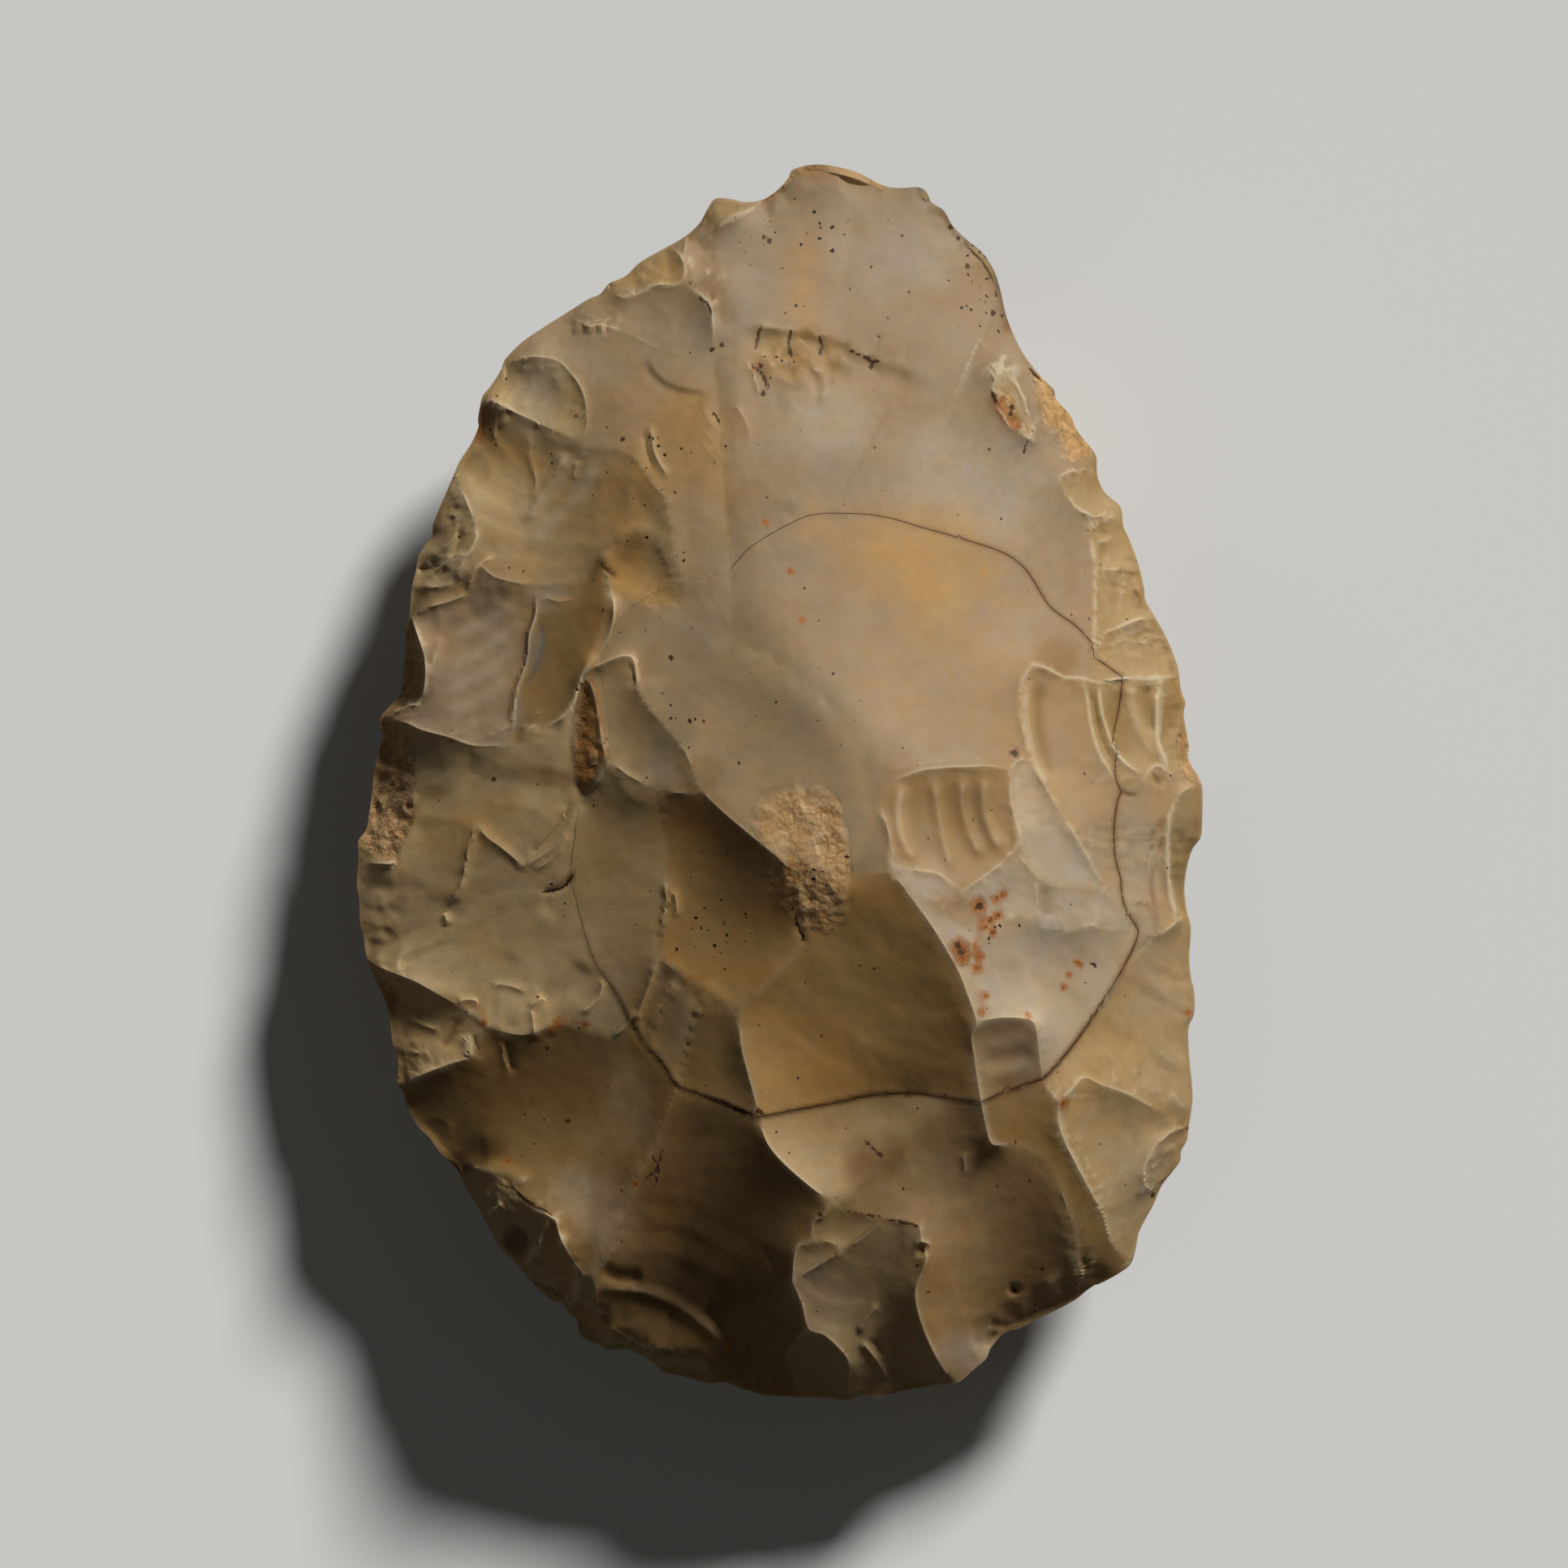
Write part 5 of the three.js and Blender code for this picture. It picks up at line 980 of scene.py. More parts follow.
SLIT = [(664, 762), (669, 780), (669, 797), (660, 825), (642, 851)]
DOUBLE_LIP = [(722, 985), (690, 1035), (675, 1050), (650, 1065), (636, 1070)]
RIB_BY_EDGE = [(1427, 840), (1424, 900), (1429, 925), (1440, 952)]
EDGE_CREST = [(1448, 985), (1440, 1010), (1437, 1040), (1441, 1100), (1455, 1134)]
EDGE_SCAR = [(1440, 998), (1421, 1022), (1418, 1045), (1414, 1065), (1416, 1084)]
TERRACE_CREST = [(747, 712), (757, 745), (754, 775), (740, 803), (721, 828), (708, 864), (695, 884),
    (680, 893), (662, 901)]
TERRACE_LIP = [(661, 722), (661, 756), (653, 782), (650, 815), (640, 843), (635, 866), (633, 917)]
FADING_RIDGE = [(588, 1013), (578, 1050), (568, 1095), (550, 1118)]

PALE_BAND = [(1100, 1066), (1160, 1088), (1200, 1092), (1247, 1058), (1290, 1094), (1365, 1105),
    (1398, 1140), (1320, 1144), (1250, 1130), (1200, 1165), (1150, 1125)]

# Fine ribs and, below zero, grooves on the worked face: height and width in millimetres, and the lines
FINE_RIBS = [
    # Tip and old surface
    (0.25, 0.5, [(880, 283), (905, 270), (912, 262)], [(918, 445), (927, 460), (937, 490)]),
    (0.1, 0.4, [(870, 515), (900, 560)], [(868, 530), (895, 575)], [(865, 545), (890, 580)], [(862, 500),
      (880, 522), (905, 548)], [(905, 500), (918, 520), (925, 545)]),
    (0.3, 0.4, [(1240, 462), (1252, 478), (1262, 500), (1266, 520)]),
    (-0.15, 0.35, [(1082, 412), (1083, 422)]),
    # Upper left
    (0.2, 0.45, [(766, 367), (800, 352), (835, 352), (843, 330)]),
    (0.12, 0.4, [(795, 322), (812, 337), (832, 344)], [(782, 334), (803, 346), (820, 349)]),
    (-0.2, 0.4, *([(x, 396), (x, 416)] for x in (705, 718, 735, 748))),
    (0.15, 0.4, *([(x, 398), (x, 412)] for x in (711, 726, 742))),
    (0.2, 0.4, [(702, 459), (715, 475), (722, 500), (723, 525), (716, 552)]),
    (0.3, 0.5, [(803, 522), (806, 555), (815, 575), (828, 593)]),
    (-0.2, 0.6, [(795, 528), (798, 560), (808, 585)]),
    (0.25, 0.5, [(650, 555), (658, 580), (661, 600), (655, 620)], [(712, 568), (709, 580), (707, 592)],
      [(700, 555), (690, 575), (672, 600), (660, 625), (648, 645)]),
    (0.3, 1.8, [(815, 600), (825, 620), (828, 650), (832, 690), (842, 744)]),
    (0.12, 0.8, [(745, 575), (742, 610), (728, 650)], [(775, 580), (778, 620), (770, 650)]),
    (0.22, 1.2, [(738, 562), (714, 610), (674, 650), (640, 674)], [(702, 556), (690, 590), (668, 620),
      (638, 642)]),
    (0.15, 1.0, [(750, 680), (765, 662), (790, 655), (810, 665), (825, 690), (835, 715)]),
    (-0.3, 0.5, [(743, 698), (752, 708), (762, 712)]),
    (0.15, 0.4, [(800, 742), (803, 728), (805, 715)]),
    # Left edge
    (0.3, 0.45, [(545, 633), (556, 634), (564, 640), (563, 656), (552, 672), (540, 684)], [(582, 646),
      (588, 660), (585, 672), (576, 684), (562, 684), (552, 692), (528, 712)], [(520, 720), (535, 724),
      (550, 723), (560, 719)], [(577, 729), (563, 738), (545, 744), (525, 746)]),
    (-0.25, 0.6, [(567, 650), (567, 665), (562, 678), (553, 688)], [(552, 700), (545, 708), (538, 714)]),
    (0.25, 0.4, [(612, 684), (588, 699), (577, 729)]),
    (0.14, 0.9, [(645, 735), (605, 765), (550, 792)], [(648, 762), (600, 800), (545, 828)], [(640, 795),
      (595, 832), (540, 858)], [(632, 832), (590, 862), (545, 882)], [(600, 735), (570, 755),
      (530, 770)]),
    (0.3, 0.7, [(546, 784), (537, 808), (528, 838)]),
    (0.3, 0.45, [(525, 812), (525, 840), (520, 862)], [(485, 880), (500, 872), (520, 866)]),
    (0.4, 0.6, TERRACE_CREST),
    (0.16, 0.4, TERRACE_LIP, [(662, 742), (675, 738), (690, 742), (705, 739), (716, 733)]),
    (-0.1, 0.45, SLIT),
    (0.14, 0.4, [(650, 893), (646, 905), (640, 912)], [(655, 888), (660, 880), (668, 878)]),
    (0.12, 0.5, FLAP_EDGE, [(728, 832), (735, 860), (747, 935)]),
    (-0.15, 0.35, [(777, 816), (780, 832), (783, 850)]),
    (-0.35, 3.5, [(560, 945), (610, 955), (690, 965)]),
    (0.2, 0.5, [(550, 907), (570, 903), (590, 888)], [(600, 910), (620, 900), (628, 888)]),
    (0.28, 0.6, DOUBLE_LIP, [(587, 1012), (600, 1030), (620, 1045), (640, 1062), (652, 1075)]),
    (-0.3, 0.6, [(706, 983), (698, 1002), (668, 1040), (648, 1052)]),
    (0.25, 0.5, [(655, 1073), (675, 1063), (690, 1048), (704, 1024)]),
    (0.4, 0.6, FADING_RIDGE, [(548, 1124), (553, 1140)]),
    (-0.25, 0.45, [(707, 1078), (700, 1088), (690, 1095), (665, 1100)]),
    (0.12, 1.0, [(458, 1158), (480, 1165), (502, 1178)], [(460, 1178), (480, 1188), (500, 1198)]),
    (0.2, 1.2, [(682, 1118), (650, 1150), (628, 1188)]),
    (0.12, 1.0, [(456, 1075), (470, 1080), (490, 1078)], [(448, 1100), (470, 1112), (492, 1112)]),
    (-0.12, 1.2, [(500, 1090), (540, 1115), (575, 1130)]),
    # Middle
    (0.25, 0.5, [(1000, 1028), (1004, 1042), (1008, 1058)]),
    (-0.15, 0.5, [(982, 1136), (987, 1150), (992, 1164)]),
    (0.15, 0.8, [(988, 1168), (952, 1203), (922, 1236)], [(815, 1183), (860, 1210), (905, 1235)]),
    (0.3, 0.5, [(818, 1080), (822, 1110), (815, 1145)], [(829, 1092), (834, 1110), (835, 1130)]),
    (0.3, 0.45, [(812, 1175), (800, 1213), (783, 1262)], [(835, 1203), (820, 1230), (797, 1264)],
      [(755, 1277), (770, 1265), (781, 1250), (790, 1256)]),
    (0.15, 0.4, [(838, 1212), (822, 1240), (801, 1272)], [(858, 1236), (862, 1243), (866, 1250)]),
    (0.25, 0.5, [(1083, 996), (1095, 1030), (1100, 1062)]),
    (0.1, 0.6, [(1085, 950), (1160, 938), (1205, 936)]),
    # Right half
    (0.55, 0.85, [(1148, 952), (1160, 1030), (1176, 1078)], [(1186, 950), (1184, 985), (1192, 1022),
      (1212, 1062)], [(1213, 950), (1210, 985), (1218, 1022), (1236, 1052)], [(1112, 962), (1106, 1000),
      (1112, 1035), (1130, 1064)]),
    (0.06, 0.3, *([(x, 944), (x + 14, 960)] for x in (1196, 1203, 1210, 1217))),
    (-0.3, 1.2, [(1284, 1090), (1286, 1110), (1287, 1132)]),
    (0.2, 0.4, [(1273, 1085), (1276, 1110), (1276, 1134)]),
    (0.45, 0.85, [(1268, 832), (1262, 862), (1264, 900), (1273, 938), (1290, 972), (1312, 1002)],
      [(1391, 834), (1392, 860), (1397, 885), (1406, 906), (1430, 940)]),
    (-0.45, 0.85, [(1280, 836), (1277, 862), (1279, 900), (1286, 935), (1300, 965)], [(1375, 846),
      (1376, 880), (1385, 915), (1400, 938)], [(1409, 842), (1412, 870), (1419, 905)]),
    (0.6, 0.6, [(1354, 838), (1353, 860), (1357, 885), (1371, 922), (1386, 942), (1411, 957)],
      RIB_BY_EDGE),
    (-0.35, 0.6, [(1343, 846), (1352, 900), (1363, 928), (1373, 944)]),
    (0.2, 1.2, [(1312, 840), (1308, 890), (1322, 950)]),
    (0.4, 0.5, EDGE_CREST),
    (-0.3, 1.0, [(1430, 1004), (1426, 1040), (1428, 1080), (1434, 1115)]),
    (0.2, 0.5, EDGE_SCAR, [(1395, 1115), (1405, 1112), (1418, 1115), (1423, 1132), (1427, 1152)]),
    (-0.25, 0.45, [(1378, 975), (1389, 980), (1398, 978)], [(1416, 955), (1424, 962), (1430, 972)]),
    (0.2, 0.6, [(1343, 640), (1344, 665), (1345, 695)], [(1405, 845), (1430, 842), (1448, 840)]),
    (-0.2, 0.45, [(1370, 703), (1385, 705), (1402, 707)], [(1380, 1190), (1400, 1170), (1415, 1160)]),
    (0.25, 0.45, [(1394, 720), (1405, 735), (1402, 752)], [(1360, 800), (1385, 790), (1420, 795)]),
    (-0.15, 0.9, [(1204, 1305), (1240, 1302), (1274, 1294)]),
    (0.15, 0.9, [(1203, 1322), (1240, 1319), (1277, 1311)], [(1203, 1288), (1240, 1285), (1272, 1278)]),
    (0.12, 0.9, [(1215, 1190), (1230, 1215), (1240, 1245)], [(1240, 1160), (1262, 1200), (1275, 1245)],
      [(1300, 1160), (1325, 1200), (1330, 1240)]),
    (0.07, 0.35, *([(1306 + k, 1352), (1328 + 2 * k, 1330 + k)] for k in (0, 6, 12, 18))),
    (0.25, 0.5, [(1415, 1445), (1435, 1420), (1452, 1408)], [(1405, 1300), (1398, 1318), (1395, 1332)]),
    # Lower left
    (0.2, 0.9, [(498, 1207), (535, 1218), (575, 1228)], [(497, 1336), (520, 1324), (553, 1312),
      (590, 1303)]),
    (0.35, 0.45, [(564, 1236), (575, 1231), (592, 1233)], [(745, 1203), (740, 1225), (730, 1238),
      (716, 1249)]),
    (0.22, 1.8, [(608, 1236), (628, 1240), (648, 1252)], [(690, 1236), (710, 1244), (735, 1258)]),
    (0.25, 0.5, [(603, 1211), (628, 1214), (652, 1223)]),
    (0.25, 0.4, [(652, 1241), (660, 1234), (674, 1228)], [(655, 1240), (658, 1260), (660, 1282)]),
    (-0.35, 1.5, [(724, 1185), (702, 1213), (662, 1230)]),
    (-0.2, 0.9, [(567, 1252), (558, 1275), (543, 1292)]),
    (0.5, 1.0, [(573, 1274), (578, 1288), (579, 1304)]),
    (-0.3, 0.6, [(582, 1272), (588, 1290), (589, 1306)], [(626, 1281), (628, 1305), (635, 1324)]),
    (0.2, 0.4, [(620, 1283), (622, 1305), (629, 1322)]),
    (-0.35, 2.6, [(545, 1402), (575, 1422), (604, 1424)]),
    (0.5, 1.0, [(572, 1441), (603, 1441), (642, 1452), (652, 1467)]),
    (-0.2, 0.35, [(636, 1465), (650, 1478), (680, 1495)]),
    (0.3, 0.5, [(678, 1500), (657, 1545), (645, 1562)], [(620, 1480), (606, 1492), (600, 1500)]),
    (0.25, 0.5, [(500, 1250), (520, 1262), (545, 1270)], [(485, 1290), (505, 1296), (530, 1296)]),
    (-0.3, 0.7, [(480, 1225), (505, 1240), (530, 1245)]),
    # Butt
    (-0.5, 1.0, [(738, 1560), (765, 1574), (794, 1572)], [(868, 1608), (885, 1628), (906, 1652)]),
    (0.45, 0.8, [(731, 1586), (760, 1586), (795, 1591), (825, 1603), (862, 1627), (900, 1660)]),
    (-0.3, 0.6, [(748, 1634), (775, 1648), (800, 1663), (836, 1664), (858, 1672), (876, 1692)],
      [(941, 1533), (955, 1555), (969, 1577)], [(1218, 1629), (1228, 1632), (1242, 1636)]),
    (0.35, 0.9, [(743, 1647), (760, 1652), (778, 1662)]),
    (0.4, 0.6, [(1082, 1603), (1070, 1620), (1056, 1642)], [(1058, 1648), (1080, 1675), (1096, 1702)]),
    (-0.4, 0.6, [(1072, 1648), (1080, 1658), (1088, 1670)]),
    (0.2, 0.4, [(1126, 1533), (1136, 1527), (1146, 1533)], [(1185, 1418), (1187, 1432), (1188, 1447)]),
]


def shape_worked_face():
    """Hangs the worked face between its ridges and adds the fine relief."""
    face = Face(COLUMNS, ROWS)
    face.lock_ends(FACE_RIDGES.values())
    for drawn in FACE_RIDGES.values():
        face.trace(drawn)
    face.loops = {"cracked_lens": face.trace(CRACK, closed=True, height=False)}
    for name, (_, _, _, outline) in INCLUSIONS.items():
        face.loops[name] = face.trace(outline, closed=True, height=False)
    face.trace(FLAP_EDGE, height=False)
    for _, width, *lines in FINE_RIBS:
        for drawn in lines if width < 0.8 else []:
            face.trace(drawn, height=False)
    face.even_out()
    face.unfold()
    face.split()
    face.settle(FACE_HOLLOWS, 1)
    face.measure_inset()
    face.waver = noise(face.x, face.y, 5, 1)
    face.soften(5, 220, FACE_RIDGES["plateau_w"][1:])
    face.soften(3.5, 120, FACE_RIDGES["soft_top"], FACE_RIDGES["small_low"][1:])
    face.soften(1.4, 14, FACE_RIDGES["scoop"])
    face.soften(2, 30, FACE_RIDGES["centre_e"][:5])
    face.soften(1.2, 10, *(FACE_RIDGES[name] for name in ("centre_s", "centre_e", "triangle_e", "grey_e",
        "centre_w", "left_mid_s", "left_mid_ridge", "crack_sw")) )
    face.z += 0.12 * noise(face.x, face.y, 14, 4, 2) * face.ramp

    for height, width, *lines in FINE_RIBS:
        face.rib(RIB_SHARE * height, width, *lines)
    shape_tip(face)
    shape_left_shoulder(face)
    shape_left_edge(face)
    shape_middle(face)
    shape_right(face)
    shape_lower_left(face)
    shape_butt(face)

    # Skin of the stone, crystals and wear
    for name, (_, kind, _, outline) in INCLUSIONS.items():
        height = {"rind": 0.22, "stain": 0.2, "crystal": 0.13, "iron": 0.1, "fossil": 0.15}[kind]
        face.roughen(outline, height, 1.3, 40 + len(name))
    face.trim_edge(240, 3.2, 0.34, 60)
    face.z += 0.03 * noise(face.x, face.y, 4, 2) * face.ramp
    face.z += 0.015 * noise(face.x, face.y, 1.2, 3) * face.ramp

    paint_worked_face(face)
    face.find_hollows()
    face.z += EDGE_LEVEL + edge_wave(face.x, face.y)
    return face


def shape_tip(face):
    """The old surface: a broken-off shelf with pits and crumbly breaks under it, and a small step below the
    white scar
    """
    face.step(0.7, 8, PLATEAU_STEP, soft=1.2)
    face.step(0.35, 4, [(800, 440), (812, 462), (835, 476), (875, 482)], soft=0.5)
    face.rib(-0.16, 0.8, *SHELF_PITS)
    face.crumble(0.2, 3.0, [(915, 425), (985, 435), (1050, 455)], [(940, 460), (1000, 475), (1030, 490)])


def shape_left_shoulder(face):
    """Upper left: ripples in the scar below the half-round scar, and crumbly breaks along the edge"""
    face.ripples((650, 620), (700, 470), 2.8, 0.02, near=8, far=30)
    face.crumble(0.2, 1.0, [(606, 470), (640, 432), (668, 410)], [(600, 540), (596, 500), (604, 478)])


def shape_left_edge(face):
    """Left edge: steps along the terrace lip and the flap's edge, crumbly breaks by the flap, the terrace and
    the cutting edge, and ripples in the left middle scar
    """
    face.step(0.25, 2.5, TERRACE_LIP, soft=0.12)
    face.step(0.35, 4, FLAP_EDGE, soft=0.3)
    face.crumble(0.12, 0.8, [(745, 925), (770, 948), (800, 960)], [(700, 885), (680, 895), (655, 900)])
    face.ripples((560, 960), (500, 870), 3.2, 0.02, near=9, far=26)
    face.crumble(0.12, 1.6, [(460, 1090), (480, 1130), (470, 1175)])


def shape_middle(face):
    """A crumbly stretch beside the main ridge, and ripples in the shaded scar below it"""
    face.crumble(0.3, 0.9, [(1093, 1055), (1104, 1072), (1118, 1090)])
    face.ripples((1060, 1220), (1180, 1050), 5.0, 0.02, near=8, far=40)


def shape_right(face):
    """Right half: the ribbed scar, the crumbly bands, the hinge scar and the scars along the edge"""
    rim = [(1247, 940), (1247, 990), (1253, 1040), (1230, 1065), (1200, 1088), (1182, 1098)]
    face.crumble(0.12, 1.0, rim, FACE_RIDGES["pale_s"], FACE_RIDGES["hinge_w"][4:11])
    face.crumble(0.12, 2.2, [(1125, 1085), (1180, 1120), (1245, 1110)])
    face.chip(0.35, (0.9, 1.4), 0, (1359, 655))
    face.chip(0.35, (0.8, 1.3), 0, (1358, 681))
    face.chip(0.35, (0.9, 2.6), 0, (1371, 738))
    face.chip(0.3, (1.6, 1.1), 20, (1440, 800))
    face.chip(0.5, (1.1, 2.4), 0, (1443, 878))
    face.chip(0.25, (0.5, 1.6), -12, (1427, 1046))
    face.step(0.3, 1.5, [(1340, 838), (1375, 838), (1400, 834), (1436, 834), (1450, 836)], soft=0.15)
    face.roughen(PALE_BAND, 0.05, 0.9, 77)
    face.ripples((1370, 1430), (1303, 1358), 2.8, 0.025, near=3, far=30)
    face.chip(0.4, (0.9, 1.4), 0, (1333, 1560))


def shape_lower_left(face):
    """Lower left: crumbly breaks along the ledge and along the ridge at the left of the butt"""
    face.crumble(0.15, 1.2, [(566, 1242), (600, 1258), (650, 1272), (700, 1262)])
    face.crumble(0.25, 1.2, [(684, 1500), (692, 1525), (700, 1545), (717, 1563)])


def shape_butt(face):
    """The butt: ripples in the banded scar and in two scars right of it, deep chips, small pits and crumbly
    breaks along the edge
    """
    face.ripples((850, 1500), (790, 1680), 3.4, 0.025, near=9, far=22, fade=4)
    face.chip(0.4, (2.4, 1.3), -20, (675, 1560))
    face.chip(0.5, (1.2, 1.6), 0, (695, 1587))
    face.chip(0.4, (1.5, 2.0), 0, (716, 1620))
    face.chip(0.35, (1.0, 1.2), 0, (1222, 1650))
    face.pits(0.35, 0.7, (1136, 1538), (1249, 1588), (678, 1590))
    face.ripples((1220, 1520), (1160, 1390), 4.5, 0.02, near=6, far=40)
    face.ripples((1070, 1610), (1040, 1530), 3.5, 0.03, near=3, far=30)
    face.crumble(0.2, 1.6, [(820, 1690), (900, 1704), (990, 1715)], [(660, 1575), (700, 1600), (740, 1645)])
    face.crumble(0.2, 1.2, [(1200, 1680), (1250, 1632), (1330, 1590)])


def paint_worked_face(face):
    """Patina: each scar's own tone, with the shaded brown painted as shade on the scars that lie in shade,
    clouds of honey, grey and brown, a few of them painted shadow, and then the small marks
    """
    face.start_colours(BUFF)
    face.tint_scar(CREAM, (950, 880), (560, 960), (1340, 1000))
    face.tint_scar(OLD_CREAM, (1050, 600), (800, 400), (580, 820))
    face.tint_scar(PALE, (1290, 1210), (1250, 1095), (1270, 1040))
    face.tint_scar(LIGHT_BUFF, (520, 1110), (640, 1150), (800, 1230), (520, 1270), (670, 490), (575, 655),
        (548, 665))
    face.tint_scar(HONEY, (790, 700), (890, 1100), (1060, 1220))
    face.tint_scar(WARM_BROWN, (1170, 1010), (1220, 1520))
    # Painted shade: the scars that lie in shade take the shaded brown
    face.tint_scar(SHADED_BROWN, (850, 1500), (885, 1260), (1290, 1400), (690, 1380), (695, 800))
    face.tint_scar(GREY_BROWN, (1240, 1300))

    shades = {"rind": "#bf9a6c", "stain": "#b8844a", "crystal": "#cdaa7c", "iron": RUST,
              "fossil": "#7d6446"}
    for _, kind, _, outline in INCLUSIONS.values():
        inner = inside(place(outline)[:, :2], face.x, face.y).astype(float)
        well_inside = np.clip(2 * face.blurred(inner, 14) - 1 + 0.3 * face.waver * inner, 0, 1)
        face.grown = np.maximum(face.grown, well_inside)
        face.mix(shades[kind], well_inside**0.5 if kind == "crystal" else face.blurred(inner, 1))

    # Tip and old surface
    face.patch(HONEY, 0.4, (992, 335), (2.6, 8))
    face.patch(HONEY, 0.5, (850, 560), (5, 9))
    face.patch(HONEY, 0.6, (1150, 640), (6, 3.5))
    face.patch(DEEP_HONEY, 0.5, (1140, 700), (7, 9), -25)
    face.patch(HONEY, 0.85, (1110, 690), (15, 7), -15)
    face.patch(HONEY, 0.45, (1180, 850), (20, 16))
    face.patch(DEEP_HONEY, 0.75, (965, 440), (7, 3.5))
    face.patch(DEEP_HONEY, 0.5, (1020, 440), (3, 3))
    face.patch(GREY_WHITE, 0.7, (1200, 590), (10, 9))
    face.patch(GREY_WHITE, 0.6, (1025, 515), (6, 5))
    face.patch(GREY_BLUE, 0.35, (920, 350), (4, 8))
    face.patch(GREY_BLUE, 0.4, (862, 400), (2, 5))
    face.patch(GREY_WHITE, 0.5, (1100, 300), (10, 7))
    face.patch(GREY_BLUE, 0.4, (1000, 880), (9, 8))
    face.patch(GREY_BLUE, 0.25, (900, 800), (6, 8))
    face.patch("#8f6a3e", 0.6, (1292, 816), (4.5, 3.5), 30)
    face.patch(GREY_BROWN, 0.6, (1000, 780), (6, 7))
    face.patch(GREY_BLUE, 0.4, (830, 900), (3, 5))
    face.patch(HONEY, 0.5, (1165, 700), (4, 8))

    # Left side
    face.patch(HONEY, 0.5, (835, 535), (4, 8))
    face.patch(HONEY, 0.8, (765, 615), (5, 6))
    face.patch(LIGHT_BUFF, 0.8, (625, 600), (6, 7))
    # Painted shade in the shaded brown, inside the scoop
    face.patch(SHADED_BROWN, 0.7, (775, 683), (1.6, 3), -25)
    face.patch(DEEP_HONEY, 0.5, (640, 560), (8, 2), -25)
    face.patch(BROWN, 0.5, (680, 958), (5, 1.3), -8)
    face.patch(CREAM, 0.6, (800, 1230), (2, 4))
    face.patch(BUFF, 0.8, (775, 1370), (3, 6))
    face.patch(HONEY, 0.6, (817, 335), (3, 2))
    face.patch(HONEY, 0.5, (738, 770), (2, 4))
    face.patch(HONEY, 0.5, (640, 755), (2, 4))
    face.patch(GREY_WHITE, 0.6, (682, 735), (3, 2))
    face.patch(HONEY, 0.6, (695, 741), (2.2, 0.7))
    face.patch(GREY_BLUE, 0.4, (640, 875), (1.2, 3))
    face.patch(LIGHT_BUFF, 0.7, (760, 850), (2.5, 3.5))
    face.patch(LIGHT_BUFF, 0.6, (808, 690), (2, 4))
    # Painted shade in the shaded brown, by the west end of the main ridge
    face.patch(SHADED_BROWN, 0.5, (868, 958), (4, 3))
    face.patch(HONEY, 0.6, (622, 992), (3, 2))
    face.patch(GREY_BLUE, 0.35, (612, 962), (2.5, 2))
    face.patch(HONEY, 0.5, (560, 1030), (7, 3), 10)
    face.patch(HONEY, 0.35, (640, 1150), (7, 4))
    face.patch(GREY_WHITE, 0.6, (1400, 1050), (3, 9))
    face.patch(DEEP_HONEY, 0.5, (900, 1190), (6, 3))
    face.patch(HONEY, 0.6, (790, 1250), (3, 4))
    face.patch(GREY_WHITE, 0.5, (735, 1490), (5, 7), 30)
    face.patch(WARM_BROWN, 0.6, (730, 1400), (5, 3))
    # Painted shadow: dark brown in the shaded hollow above the crest at the lower left
    face.patch(DARK_BROWN, 0.7, (578, 1424), (4.5, 2.2), 15)
    face.patch(DARK_BROWN, 0.4, (860, 1385), (3.5, 3.5))
    face.patch(GREY_WHITE, 0.4, (830, 955), (4, 2))

    # Right side and butt
    face.patch(CREAM, 0.5, (1110, 1000), (1.8, 5))
    face.patch(GREY_WHITE, 0.5, (660, 485), (4, 4))
    face.patch(CREAM, 0.7, (1425, 1190), (4, 6))
    face.patch(HONEY, 0.4, (1200, 1020), (5, 5))
    face.patch(GREY_WHITE, 0.6, (1340, 1140), (9, 5))
    face.patch(GREY_BLUE, 0.35, (1262, 1310), (2, 4))
    face.patch(OLIVE, 0.45, (1286, 1110), (1.4, 2.2))
    face.patch(HONEY, 0.4, (1170, 680), (6, 8))
    face.patch(BROWN, 0.25, (1060, 1140), (6, 3))
    face.patch(WARM_BROWN, 0.8, (1175, 1120), (4.5, 2.5))
    face.patch(PALE, 0.7, (1190, 1665), (5, 3))
    # Painted shadow: brown along the foot of the main ridge, where its shadow falls
    face.patch(BROWN, 0.4, (900, 1025), (9, 3), -38)
    # Painted shade: dark brown at the foot of the banded scar
    face.patch(DARK_BROWN, 0.5, (830, 1585), (10, 4.5))
    face.patch(BROWN, 0.3, (870, 1470), (9, 12), 30)
    face.patch(GREY_WHITE, 0.5, (1010, 1600), (4, 5))
    face.patch(BROWN, 0.6, (1084, 1425), (4.5, 3), 30)
    face.patch(BROWN, 0.5, (1245, 1332), (4, 1.5))
    face.patch(HONEY, 0.3, (1240, 1560), (9, 6))
    face.patch(GREY_WHITE, 0.4, (1400, 1430), (5, 5))

    paint_lines(face)
    paint_marks(face)


